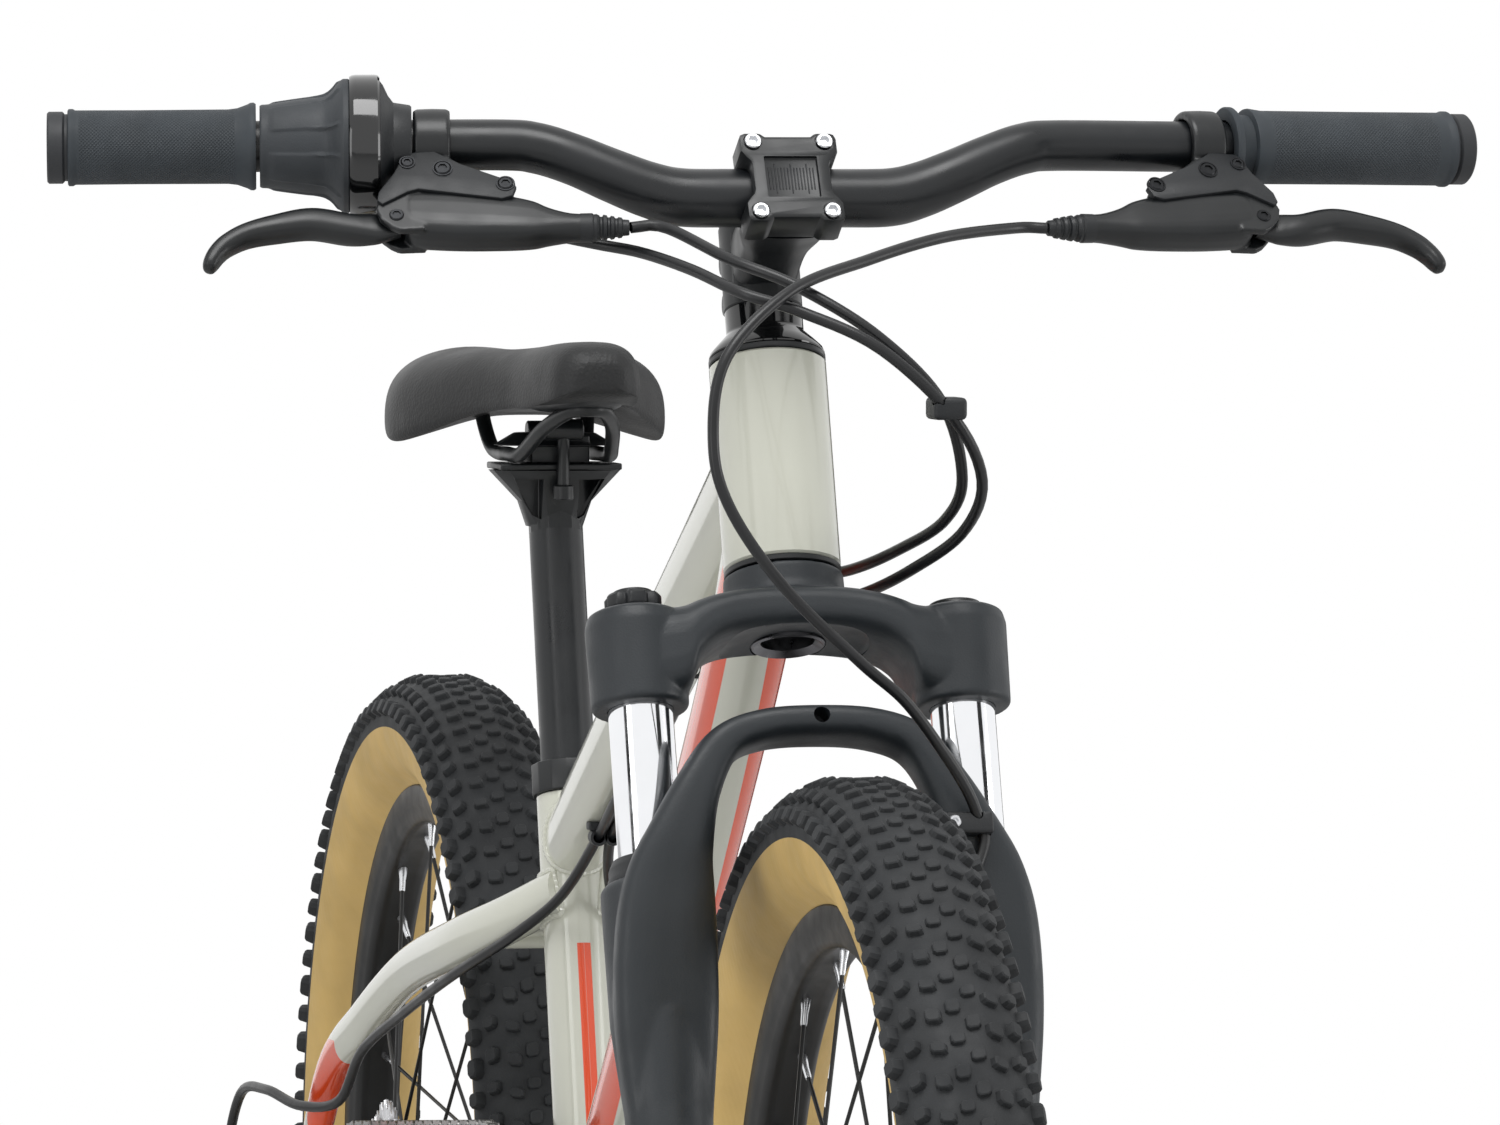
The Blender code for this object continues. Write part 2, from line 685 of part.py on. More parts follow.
def fork_leg(side):
    """A cast leg that tapers towards the axle, with its dust seal on top."""
    profile = [(0.0, -0.0140), (0.0125, -0.0140), (0.0160, -0.0060), (0.0190, 0.1300), (0.0225, 0.1700)]
    profile += [(0.0228, 0.2290), (0.0186, 0.2335), (0.0182, LOWERS_TOP), (0.0, LOWERS_TOP)]
    leg = STEERING @ Matrix.Translation((side * LEG_HALF_SPACING, -LEG_FORWARD, 0.0))
    return turned("leg", profile, leg, steps=16)


def build_fork_lowers(parent):
    lowers = fork_arch()
    hole = lean([(0.0, -0.0700, 0.2975), (0.0, -0.0490, 0.2975)])
    cut(lowers, rod("arch_hole", 0.0036, hole[0], hole[1], 8))
    join(lowers, fork_leg(-1), fork_leg(1), fork_dropout(-1), fork_dropout(1))
    for t in (0.0430, 0.0810):
        centre = STEERING @ Vector((0.0580, -0.0017, t))
        join(lowers, box("caliper_post", (0.0140, 0.0228, 0.0120), centre, STEER_ROTATION))
    slot = AXLE_RADIUS + 2 * GAP
    for side in (-1, 1):
        cut(lowers, bored("leg_bore", STANCHION_RADIUS, leg_point(side, 0.050), leg_point(side, 0.300), 16))
        inner, middle, outer = [FRONT_AXLE + Vector((side * x, 0, 0)) for x in (0.045, 0.06185, 0.100)]
        cut(lowers, rod("axle_hole", slot, inner, outer, 10), rod("nut_pocket", 0.0106, middle, outer, 12))
        opening = STEERING @ Vector((side * 0.0560, -FORK_OFFSET, -0.0080))
        cut(lowers, box("axle_slot", (0.0220, 2 * slot * 0.95, 0.0160), opening, STEER_ROTATION))
    return add(lowers, "fork_black", parent)


# Bar, stem and controls


def bar_point(x):
    """Centre line of the handlebar at |x| in world space: flat, a rise, then swept back."""
    centre = STEERING @ Vector((0.0, -BAR_REACH, BAR_HEIGHT))
    reach = abs(x)
    rise_start = 0.040
    share = min(max((reach - rise_start) / (BAR_BEND_END - rise_start), 0.0), 1.0)
    lift = BAR_RISE * share * share * (3 - 2 * share)
    back = 0.0125 * share * share
    if reach > BAR_BEND_END:
        back += (reach - BAR_BEND_END) * math.tan(BAR_SWEEP)
        lift -= 0.0018 * (reach - BAR_BEND_END) / (BAR_HALF - BAR_BEND_END)
    return Vector((x, centre.y + back, centre.z + lift))


def build_handlebar(parent):
    half = [0.024, 0.046, 0.060, 0.076, 0.092, 0.108, 0.124, BAR_HALF - 0.0020]
    stations = [-x for x in half[::-1]] + half
    sizes = []
    for x in stations:
        share = min(max((abs(x) - 0.045) / 0.045, 0.0), 1.0)
        radius = BAR_CENTRE_RADIUS + (BAR_END_RADIUS - BAR_CENTRE_RADIUS) * share
        sizes.append((radius, radius))
    path = [bar_point(x) for x in stations]
    bar = oval_sweep("handlebar", path, sizes, count=12, side=Vector((0.0, 0.0, 1.0)))
    return add(bar, "satin_black", parent)


def bar_frame(side, from_end):
    """A frame on the bar: X outwards along it, Y forward and down to the lever, Z across both."""
    x = BAR_HALF - from_end * math.cos(BAR_SWEEP)
    origin = bar_point(side * x)
    outward = (bar_point(side * BAR_HALF) - bar_point(side * (BAR_BEND_END + 0.02))).normalized()
    forward = Vector((0.0, -1.0, 0.0))
    forward = (forward - outward * forward.dot(outward)).normalized()
    down = outward.cross(forward) * (1.0 if side > 0 else -1.0)
    if down.z > 0:
        down = -down
    reach = math.cos(LEVER_DROP) * forward + math.sin(LEVER_DROP) * down
    third = outward.cross(reach)
    matrix = Matrix((outward, reach, third)).transposed().to_4x4()
    return Matrix.Translation(origin) @ matrix


def along_bar(side, from_end):
    """A frame whose Z runs outwards along the bar, for turned pieces."""
    matrix = bar_frame(side, from_end)
    return matrix @ Matrix.Rotation(math.pi / 2, 4, "Y")


GRIP_BORE = BAR_END_RADIUS + 0.0008


def build_grips(parent):
    """Heights run outwards from the inner end; the end cap closes the bar's end."""
    for side, name, inner_end in ((-1, "grip_right", 0.0902), (1, "grip_left", 0.1157)):
        length = inner_end
        profile = [(0.0, length), (0.0156, length), (0.0156, length - 0.0072)]
        profile += [(0.0145, length - 0.0074), (0.0145, length - 0.0090), (0.0167, length - 0.0094)]
        profile += [(0.0161, length - 0.0130)]
        if side > 0:
            profile += [(0.0161, 0.0170), (0.0170, 0.0105), (0.0142, 0.0100)]
            profile += [(0.0140, 0.0036), (0.0176, 0.0030)]
        else:
            profile += [(0.0161, 0.0110), (0.0190, 0.0030)]
        profile += [(profile[-1][0], 0.0), (GRIP_BORE, 0.0)]
        profile += [(GRIP_BORE, length - 0.0008), (0.0, length - 0.0008)]
        add(turned(name, profile, along_bar(side, inner_end), steps=16), "grip_rubber", parent)


def build_twist_grip(parent):
    """The turning sleeve beside the right grip, with raised ribs along it."""
    inner_end = 0.1300
    axis = empty("twist_grip_axis", along_bar(-1, inner_end), parent)
    length = inner_end - 0.0902 - 0.0016
    profile = [(0.0123, 0.0), (0.0290, 0.0), (0.0290, 0.0030), (0.0222, 0.0120), (0.0205, 0.0220)]
    profile += [(0.0180, length - 0.0050), (0.0182, length), (0.0123, length)]
    sleeve = turned("twist_grip", profile, axis.matrix_world, steps=16)
    for i in range(5):
        turn = Matrix.Rotation(2 * math.pi * (i + 0.5) / 5, 4, "Z")
        start = axis.matrix_world @ turn @ Vector((0.0245, 0.0, 0.0010))
        end = axis.matrix_world @ turn @ Vector((0.0160, 0.0, length - 0.0080))
        join(sleeve, rod("rib", 0.0040, start, end, 5, end_radius=0.0028))
    return add(sleeve, "grip_rubber", axis)


def shift_outlet(inward):
    """A point on the line along which the gear cable leaves the shifter, behind the brake lever's body."""
    return bar_frame(-1, 0.1585) @ Vector((inward, 0.0235 - 0.10 * inward, -0.0145))


def build_shifter_housing(parent):
    inner_end = 0.1574
    profile = [(GRIP_BORE, 0.0), (0.0175, 0.0), (0.0188, 0.0080), (0.0265, 0.0127)]
    profile += [(0.0312, 0.0146), (0.0312, 0.0257), (0.0300, 0.0269), (GRIP_BORE, 0.0269)]
    housing = turned("shifter_housing", profile, along_bar(-1, inner_end), steps=18)
    start, end = [shift_outlet(x) for x in (0.0200, -0.0100)]
    join(housing, rod("cable_outlet", 0.0052, start, end, 8, end_radius=0.0042))
    return add(housing, "gloss_black", parent)


LEVER_BODY = [
    (0.0070, 0.0125),
    (0.0070, 0.0300),
    (0.0050, 0.0440),
    (-0.0020, 0.0500),
    (-0.0070, 0.0570),
    (-0.0280, 0.0560),
    (-0.0540, 0.0555),
    (-0.0580, 0.0530),
    (-0.0580, 0.0430),
    (-0.0460, 0.0320),
    (-0.0300, 0.0225),
    (-0.0080, 0.0125),
]
LEVER_PIVOT = (0.0155, 0.0470)


def build_lever_body(parent):
    """The left brake's clamp, master cylinder and pivot fork, in its frame on the bar."""
    frame = bar_frame(1, LEFT_CLAMP_FROM_END)
    body = flat("lever_body_left", [LEVER_BODY], 0.0160, frame)
    bevelled(body, 0.0022, angle=60.0)
    ring = [(GRIP_BORE, -0.0080), (0.0155, -0.0080), (0.0155, 0.0080), (GRIP_BORE, 0.0080)]
    join(body, turned("clamp", ring, along_bar(1, LEFT_CLAMP_FROM_END), steps=14))
    tongue = [(0.0000, 0.0300), (0.0130, 0.0320), (0.0200, 0.0430), (0.0200, 0.0510)]
    tongue += [(0.0140, 0.0560), (0.0000, 0.0540)]
    for z in (-0.0063, 0.0063):
        join(body, flat("pivot_cheek", [tongue], 0.0034, frame @ Matrix.Translation((0, 0, z))))
    start, end = frame @ Vector((-0.0500, 0.0480, 0.0)), frame @ Vector((-0.0640, 0.0480, 0.0))
    join(body, rod("hose_nut", 0.0062, start, end, 8))
    boot = [(0.0, 0.0), (0.0058, 0.0), (0.0042, 0.0090), (0.0052, 0.0120), (0.0036, 0.0205), (0.0, 0.0205)]
    along = between(frame @ Vector((-0.0635, 0.0480, 0.0)), frame @ Vector((-0.0700, 0.0480, 0.0)))
    join(body, turned("boot", boot, along, steps=8))
    ends = [frame @ Vector((x, 0, 0)) for x in (-0.03, 0.03)]
    clear = bored("bar_clearance", BAR_END_RADIUS, ends[0], ends[1], gap=2 * GAP)
    cut(body, clear)
    add(body, "satin_black", parent)
    return body


BLADE = [
    (0.0145, 0.0415, 0.0520),
    (0.0220, 0.0400, 0.0555),
    (0.0340, 0.0415, 0.0555),
    (0.0520, 0.0375, 0.0520),
    (0.0680, 0.0415, 0.0540),
    (0.0800, 0.0475, 0.0580),
    (0.0890, 0.0545, 0.0645),
    (0.0940, 0.0610, 0.0700),
    (0.0985, 0.0680, 0.0735),
]


def build_lever_blade(side, name, parent, from_end):
    """A curved blade: each station holds (outward, near edge, far edge) from the bar's centre."""
    frame = bar_frame(side, from_end)
    pivot = Matrix.Translation((*LEVER_PIVOT, 0.0))
    axis = empty(f"{name}_axis", frame @ pivot, parent)
    rings = []
    for outward, near, far in BLADE:
        thick = 0.0040 if outward < 0.03 else 0.0068
        if outward > 0.095:
            thick = 0.0045
        middle, half = (near + far) / 2, (far - near) / 2
        centre = Vector((outward, middle, 0.0))
        rings.append(ellipse(centre, (0, 1, 0), (0, 0, 1), half, thick, 8, 0.8))
    return add(loft(name, rings, frame), "satin_black", axis)


def build_levers(parent):
    left = build_lever_body(parent)
    shift = bar_frame(-1, RIGHT_CLAMP_FROM_END).translation - bar_frame(-1, LEFT_CLAMP_FROM_END).translation
    mirrored(left, "lever_body_right", "satin_black", parent, shift)
    build_lever_blade(1, "lever_blade_left", parent, LEFT_CLAMP_FROM_END)
    build_lever_blade(-1, "lever_blade_right", parent, RIGHT_CLAMP_FROM_END)


def stem_frame():
    """Origin at the bar's centre, Y back along the stem, Z up the face, X to the rider's left."""
    rise = math.atan2(BAR_HEIGHT - (STEM_BOTTOM + STEM_TOP) / 2, BAR_REACH)
    origin = Matrix.Translation(STEERING @ Vector((0.0, -BAR_REACH, BAR_HEIGHT)))
    return origin @ Matrix.Rotation(-TILT - rise, 4, "X")


def build_stem(parent):
    frame = stem_frame()
    clamp = rod("stem", 0.0172, head_point(STEM_BOTTOM), head_point(STEM_TOP), 16)
    sections = [(0.0015, 0.0215, 0.0195), (0.0140, 0.0195, 0.0165)]
    sections += [(0.0300, 0.0150, 0.0150), (0.0560, 0.0145, 0.0160)]
    rings = []
    for back, half_x, half_z in sections:
        rings.append(ellipse((0.0, back, 0.0), (1, 0, 0), (0, 0, 1), half_x, half_z, 12, 0.55))
    join(clamp, loft("extension", rings, frame))
    for t in (0.5090, 0.5280):
        ears = lean([(-0.0130, 0.0200, t), (0.0130, 0.0200, t)])
        join(clamp, rod("pinch_ear", 0.0052, ears[0], ears[1], 8))
    cut(clamp, bored("steerer_hole", STEERER_RADIUS, head_point(0.480), head_point(0.560)))
    bar_half = Vector((0.05, 0.0, 0.0))
    bar_centre = frame.translation
    cut(clamp, bored("bar_hole", BAR_CENTRE_RADIUS, bar_centre - bar_half, bar_centre + bar_half))
    slit = STEERING @ Vector((0.0, 0.0200, 0.5180))
    cut(clamp, box("slit", (0.0016, 0.0200, 0.0600), slit, STEER_ROTATION))
    add(clamp, "satin_black", parent)
    cap = [(0.0, STEM_TOP + 0.0050), (0.0030, STEM_TOP + 0.0050), (0.0160, STEM_TOP + 0.0040)]
    cap += [(0.0168, STEM_TOP + 0.0030), (0.0168, STEM_TOP + GAP), (0.0, STEM_TOP + GAP)]
    add(turned("top_cap", cap, STEERING), "satin_black", parent)


def build_faceplate(parent):
    """Four lobes round the bar's front, with a grooved window between them."""
    frame = stem_frame()
    half = [(0.0100, 0.0205), (0.0130, 0.0222), (0.0190, 0.0222), (0.0215, 0.0190), (0.0215, 0.0130)]
    half += [(0.0175, 0.0080), (0.0175, -0.0080), (0.0215, -0.0130), (0.0215, -0.0190)]
    half += [(0.0190, -0.0222), (0.0130, -0.0222), (0.0100, -0.0205)]
    outline = half + [(-x, z) for x, z in half[::-1]]
    upright = Matrix(((1, 0, 0, 0), (0, 0, -1, -0.0095), (0, 1, 0, 0), (0, 0, 0, 1)))
    plate = flat("stem_faceplate", [outline], 0.0180, frame @ upright)
    bevelled(plate, 0.0018, angle=60.0)
    for x in (-0.0158, 0.0158):
        for z in (-0.0174, 0.0174):
            ends = [frame @ Vector((x, y, z)) for y in (-0.0170, -0.0205)]
            join(plate, rod("bolt_head", 0.0035, ends[0], ends[1], 6))
    turn = frame.to_3x3().to_4x4()
    cut(plate, box("window", (0.0235, 0.0030, 0.0205), frame @ Vector((0, -0.0185, 0)), turn))
    bar_half = Vector((0.05, 0.0, 0.0))
    centre = frame.translation
    cut(plate, bored("bar_hole", BAR_CENTRE_RADIUS, centre - bar_half, centre + bar_half))
    return add(plate, "satin_black", parent)


# Wheels


def tyre_section():
    """Half of the tyre's closed section, as (radius, lateral) from the bead to the middle of the tread."""
    bead = [(RIM_EDGE_RADIUS - 0.0030, -0.0098), (RIM_EDGE_RADIUS + 0.0012, -0.0134)]
    wall = [(0.2200, -0.0238), (0.2370, -0.0288)]
    tread = [(TYRE_BASE_RADIUS - 0.0115, -0.0258), (TYRE_BASE_RADIUS - 0.0012, -0.0128)]
    return bead + wall + tread + [(TYRE_BASE_RADIUS, 0.0)]


def is_knob(face):
    """Centre blocks on the even rows, shoulder blocks on the odd ones."""
    centre = face.calc_center_median()
    row = round(math.atan2(centre.y, centre.x) / (2 * math.pi / WHEEL_STEPS)) % 2
    radius = math.hypot(centre.x, centre.y)
    if row == 0:
        return radius > TYRE_BASE_RADIUS - 0.0030
    return TYRE_BASE_RADIUS - 0.0100 < radius < TYRE_BASE_RADIUS - 0.0030


def tyre(name, matrix):
    """A knobby tyre: a turned carcass whose tread faces are raised into blocks."""
    half = tyre_section()
    section = half + [(r, -x) for r, x in half[-2::-1]]
    step = Matrix.Rotation(-math.pi / WHEEL_STEPS, 4, "Z")
    carcass = mesh_of(turned(name, section, matrix @ step, steps=WHEEL_STEPS))
    carcass.data.transform(step)
    carcass.matrix_world = matrix
    bm = bmesh.new()
    bm.from_mesh(carcass.data)
    blocks = [face for face in bm.faces if is_knob(face)]
    bmesh.ops.inset_individual(bm, faces=blocks, thickness=0.0014, depth=KNOB_HEIGHT)
    bm.to_mesh(carcass.data)
    bm.free()
    return carcass


def rim_profile():
    """Sloping sides down to a flat inner face, and a bed for the tyre between two hooked edges."""
    half = [(RIM_EDGE_RADIUS, 0.0132), (RIM_EDGE_RADIUS - 0.0185, 0.0095)]
    bed = (RIM_EDGE_RADIUS - 0.0055, 0.0102)
    return [bed] + half + [(r, -x) for r, x in half[::-1]] + [(bed[0], -bed[1])]


def spokes(name, matrix, flange_x, flange_radius, side):
    """Laced spokes of one flange, alternately inside and outside it, leaning opposite ways."""
    made = []
    rim_radius = RIM_EDGE_RADIUS - 0.0185 - 0.0012
    for i in range(SPOKES_A_SIDE):
        lead = 1 if i % 2 else -1
        hub_angle = 2 * math.pi * (i + (0.25 if side > 0 else 0.75)) / SPOKES_A_SIDE
        rim_angle = hub_angle + lead * 2 * math.pi * 2 / SPOKES_A_SIDE
        x = flange_x + side * lead * 0.0018
        start = (flange_radius * math.cos(hub_angle), flange_radius * math.sin(hub_angle), x)
        rim_x = side * 0.0030
        end = (rim_radius * math.cos(rim_angle), rim_radius * math.sin(rim_angle), rim_x)
        made.append(rod(name, SPOKE_RADIUS, matrix @ Vector(start), matrix @ Vector(end), 3))
    return made


def build_hub(name, matrix, parent, profile, flanges, flange_radius):
    hub = turned(name, profile, matrix, steps=12)
    for side, flange_x in flanges:
        join(hub, *spokes("spoke", matrix, flange_x, flange_radius, side))
    return add(hub, "steel", parent)


def build_rotor(name, matrix, parent, x):
    """A brake disc: a ring, five swept arms and a hub ring."""
    outlines = [circle((0, 0), ROTOR_RADIUS, 25), circle((0, 0), 0.0185, 10)]
    for i in range(5):
        start = 72.0 * i
        window = arc((0, 0), 0.0655, start, start + 50.0, 4)
        window += arc((0, 0), 0.0290, start + 62.0, start + 32.0, 2)
        outlines.append(window)
    rotor = flat(name, outlines, ROTOR_THICKNESS, matrix @ Matrix.Translation((0, 0, x)))
    return add(rotor, "steel", parent)


def axle_profile(dropout_x, hub_right, hub_left, thickness):
    """Axle with locknuts against the dropouts and nuts outside them, as heights along +X."""
    inner, outer = dropout_x - GAP, dropout_x + thickness + GAP
    nut, stub = 0.0090, 0.0060
    right = [(0.0, -outer - 0.0090), (stub, -outer - 0.0090), (nut, -outer - 0.0060), (nut, -outer)]
    right += [(AXLE_RADIUS, -outer), (AXLE_RADIUS, -inner), (0.0080, -inner), (0.0080, hub_right - GAP)]
    right += [(AXLE_RADIUS, hub_right - GAP)]
    left = [(AXLE_RADIUS, hub_left + GAP), (0.0080, hub_left + GAP), (0.0080, inner), (AXLE_RADIUS, inner)]
    left += [(AXLE_RADIUS, outer), (nut, outer), (nut, outer + 0.0060), (stub, outer + 0.0090)]
    return right + left + [(0.0, outer + 0.0090)]


HUB_BORE = AXLE_RADIUS + 0.0004


def build_front_wheel(steering):
    lowers = empty("fork_lowers_axis", STEERING, steering)
    wheel = empty("front_wheel_axis", Matrix.Translation(FRONT_AXLE) @ ALONG_X, lowers)
    matrix = wheel.matrix_world
    add(tyre("front_tyre", matrix), "tyre_rubber", wheel)
    add(turned("front_rim", rim_profile(), matrix, steps=WHEEL_STEPS), "satin_black", wheel)
    profile = [(HUB_BORE, -0.0440), (0.0120, -0.0440), (0.0130, -0.0340), (0.0215, -0.0335)]
    profile += [(0.0215, -0.0305), (0.0130, -0.0290), (0.0120, 0.0160), (0.0270, 0.0190)]
    profile += [(0.0270, 0.0220), (0.0170, 0.0240)]
    profile += [(0.0170, FRONT_ROTOR_X - 0.0012), (HUB_BORE, FRONT_ROTOR_X - 0.0012)]
    build_hub("front_hub", matrix, wheel, profile, ((-1, -0.0320), (1, 0.0205)), 0.0200)
    build_rotor("front_rotor", matrix, wheel, FRONT_ROTOR_X)
    right, left = -0.0440, FRONT_ROTOR_X + 0.0030
    axle = turned("front_axle", axle_profile(FRONT_DROPOUT_X, right, left, 0.0120), matrix, steps=10)
    add(axle, "steel", lowers)
    return lowers


def build_rear_wheel(root):
    wheel = empty("rear_wheel_axis", Matrix.Translation(REAR_AXLE) @ ALONG_X, root)
    matrix = wheel.matrix_world
    add(tyre("rear_tyre", matrix), "tyre_rubber", wheel)
    add(turned("rear_rim", rim_profile(), matrix, steps=WHEEL_STEPS), "satin_black", wheel)
    profile = [(HUB_BORE, -0.0250), (0.0200, -0.0250), (0.0280, -0.0220), (0.0280, -0.0190)]
    profile += [(0.0170, -0.0170), (0.0160, 0.0270), (0.0270, 0.0290), (0.0270, 0.0320)]
    profile += [(0.0170, 0.0340), (0.0170, REAR_ROTOR_X - 0.0012), (HUB_BORE, REAR_ROTOR_X - 0.0012)]
    build_hub("rear_hub", matrix, wheel, profile, ((-1, -0.0205), (1, 0.0305)), 0.0250)
    build_rotor("rear_rotor", matrix, wheel, REAR_ROTOR_X)
    right, left = -0.0620, REAR_ROTOR_X + 0.0030
    axle = turned("rear_axle", axle_profile(REAR_DROPOUT_X, right, left, 0.0060), matrix, steps=10)
    add(axle, "steel", root)


# Drive train


def pitch_radius(teeth):
    return CHAIN_PITCH / (2 * math.sin(math.pi / teeth))


def tooth_tip(teeth):
    """The teeth stop just inside the solid chain, which stands for its plates and rollers."""
    return pitch_radius(teeth) * math.cos(math.pi / teeth) - CHAIN_HALF_HEIGHT - 0.0006


def toothed_outline(teeth, depth=0.0030):
    outline = []
    for i in range(2 * teeth):
        angle = math.pi * i / teeth
        radius = tooth_tip(teeth) - (depth if i % 2 else 0.0)
        outline.append((radius * math.cos(angle), radius * math.sin(angle)))
    return outline


def build_cassette(root):
    """A stepped, turned block for the cogs that the chain leaves free, and the toothed cog it runs on."""
    axis = empty("cassette_axis", Matrix.Translation(REAR_AXLE) @ ALONG_X, root)
    matrix = axis.matrix_world
    half, bore = 0.00095, HUB_BORE + 0.0003
    last = COG_FIRST_X - COG_SPACING * (len(COG_TEETH) - 1)
    profile = [(bore, COG_FIRST_X + 0.0020), (0.0170, COG_FIRST_X + 0.0020)]
    for i, teeth in enumerate(COG_TEETH):
        x = COG_FIRST_X - COG_SPACING * i
        radius = tooth_tip(teeth) - (0.0030 if i == COG_IN_USE else 0.0)
        start = x + half if i == 0 else x - half + COG_SPACING
        profile += [(radius, start), (radius, x - half)]
    profile += [(0.0150, last - half)]
    profile += [(0.0150, last - 0.0032), (bore, last - 0.0032)]
    cassette = turned("cassette", profile, matrix, steps=14)
    in_use = COG_FIRST_X - COG_SPACING * COG_IN_USE
    outline = toothed_outline(COG_TEETH[COG_IN_USE])
    place = matrix @ Matrix.Translation((0, 0, in_use))
    cog = flat("cog", [outline, circle((0, 0), 0.0200, 10)], 2 * half, place)
    join(cassette, cog)
    return add(cassette, "steel", axis)


def crank_arm(name, side, direction, parent, spindle):
    """A tapered arm from the spindle's boss to the pedal's boss, with the pedal axle fixed in it."""

    def across(centre, radius, inner, outer, segments):
        ends = [centre + Vector((x, 0.0, 0.0)) for x in (inner, outer)]
        return rod("round", radius, ends[0], ends[1], segments)

    matrix = Matrix.Translation(CRANK_CENTRE)
    tip = Vector((0.0, -direction * CRANK_LENGTH, 0.0))
    sections = [
        (0.00, 0.0600, 0.0070, 0.0150),
        (0.20, 0.0625, 0.0065, 0.0130),
        (0.80, 0.0690, 0.0058, 0.0105),
        (1.00, 0.0705, 0.0060, 0.0110),
    ]
    rings = []
    for share, x, half_x, half_z in sections:
        centre = tip * share + Vector((side * x, 0.0, 0.0))
        rings.append(ellipse(centre, (1, 0, 0), (0, 0, 1), half_x, half_z, 8, 0.6))
    arm = loft(name, rings, matrix)
    join(arm, across(CRANK_CENTRE, 0.0165, side * 0.0560, side * 0.0690, 16))
    join(arm, across(CRANK_CENTRE + tip, 0.0120, side * 0.0640, side * 0.0768, 14))
    join(arm, across(CRANK_CENTRE + tip, 0.0045, side * 0.0700, side * 0.1600, 10))
    if spindle:
        join(arm, across(CRANK_CENTRE, 0.0085, -0.0660, 0.0600, 14))
    else:
        cut(arm, across(CRANK_CENTRE, 0.0088, -0.0500, -0.0670, 14))
    return add(arm, "satin_black", parent)


def build_pedal(name, side, direction, crank):
    """A platform pedal: a pierced body that turns on the axle."""
    centre = CRANK_CENTRE + Vector((side * 0.1200, -direction * CRANK_LENGTH, 0.0))
    axis = empty(f"{name}_axis", Matrix.Translation(centre), crank)
    outer = [(-0.0400, -0.0280), (-0.0280, -0.0400), (0.0280, -0.0400), (0.0420, -0.0300)]
    outer += [(0.0420, 0.0300), (0.0280, 0.0400), (-0.0280, 0.0400), (-0.0400, 0.0280)]
    windows = []
    for y in (-1, 1):
        for x in (-1, 1):
            window = [(0.0060, 0.0130), (0.0300, 0.0130), (0.0300, 0.0290), (0.0060, 0.0310)]
            windows.append([(x * across, y * ahead) for across, ahead in window])
    body = flat(name, [outer] + windows, 0.0160, axis.matrix_world)
    ends = [centre + Vector((x, 0, 0)) for x in (-0.0405, 0.0425)]
    join(body, rod("barrel", 0.0095, ends[0], ends[1], 12))
    wide = [centre + Vector((x, 0, 0)) for x in (-0.0600, 0.0600)]
    cut(body, rod("axle_hole", 0.0050, wide[0], wide[1], 10))
    return add(body, "satin_black", axis)


def build_chainring(parent):
    matrix = Matrix.Translation(CRANK_CENTRE + Vector((RING_X, 0, 0))) @ ALONG_X
    outlines = [toothed_outline(RING_TEETH), circle((0, 0), 0.0168, 16)]
    for i in range(5):
        start = 72.0 * i + 10.0
        window = arc((0, 0), 0.0480, start, start + 52.0, 4)
        outlines.append(window + arc((0, 0), 0.0270, start + 40.0, start + 12.0, 2))
    return add(flat("chainring", outlines, 0.0024, matrix), "satin_black", parent)


def chain_path():
    """The closed pitch line over the ring, both pulleys and the cog in use, the guide pulley from behind."""
    ring = CRANK_CENTRE + Vector((RING_X, 0, 0))
    cog = REAR_AXLE + Vector((COG_FIRST_X - COG_SPACING * COG_IN_USE, 0, 0))
    wheels = [
        (ring, pitch_radius(RING_TEETH), 1),
        (TENSION_CENTRE, pitch_radius(PULLEY_TEETH), 1),
        (GUIDE_CENTRE, pitch_radius(PULLEY_TEETH), -1),
        (cog, pitch_radius(COG_TEETH[COG_IN_USE]), 1),
    ]
    tangents = []
    for (centre, radius, turn), (other, other_radius, other_turn) in zip(wheels, wheels[1:] + wheels[:1]):
        across = Vector((other.y - centre.y, other.z - centre.z))
        spread = math.acos((radius * turn - other_radius * other_turn) / across.length)
        tangents.append(math.atan2(across.y, across.x) - spread)
    line = []
    for i, (centre, radius, turn) in enumerate(wheels):
        flip = 0.0 if turn > 0 else math.pi
        start, end = tangents[i - 1] + flip, tangents[i] + flip
        sweep = (end - start) * turn % (2 * math.pi) * turn
        steps = max(2, int(abs(sweep) / 0.08))
        for k in range(steps + 1):
            angle = start + sweep * k / steps
            line.append(centre + radius * Vector((0.0, math.cos(angle), math.sin(angle))))
    line.append(line[0].copy())
    return line


def build_chain(parent):
    line = chain_path()
    length = sum((b - a).length for a, b in zip(line, line[1:]))
    links = 2 * round(length / CHAIN_PITCH / 2)
    points = evenly_spaced(line, links + 1)[:-1]
    rings = []
    for i, point in enumerate(points):
        ahead = points[(i + 1) % links] - points[i - 1]
        ahead.normalize()
        side = Vector((1.0, 0.0, 0.0))
        up = ahead.cross(side).normalized()
        half = 0.0035 if i % 2 else 0.0027
        corners = ((-half, -1), (half, -1), (half, 1), (-half, 1))
        rings.append([point + side * x + up * (z * CHAIN_HALF_HEIGHT) for x, z in corners])
    return add(loft("chain", rings, cyclic=True), "steel", parent)


# Rear derailleur

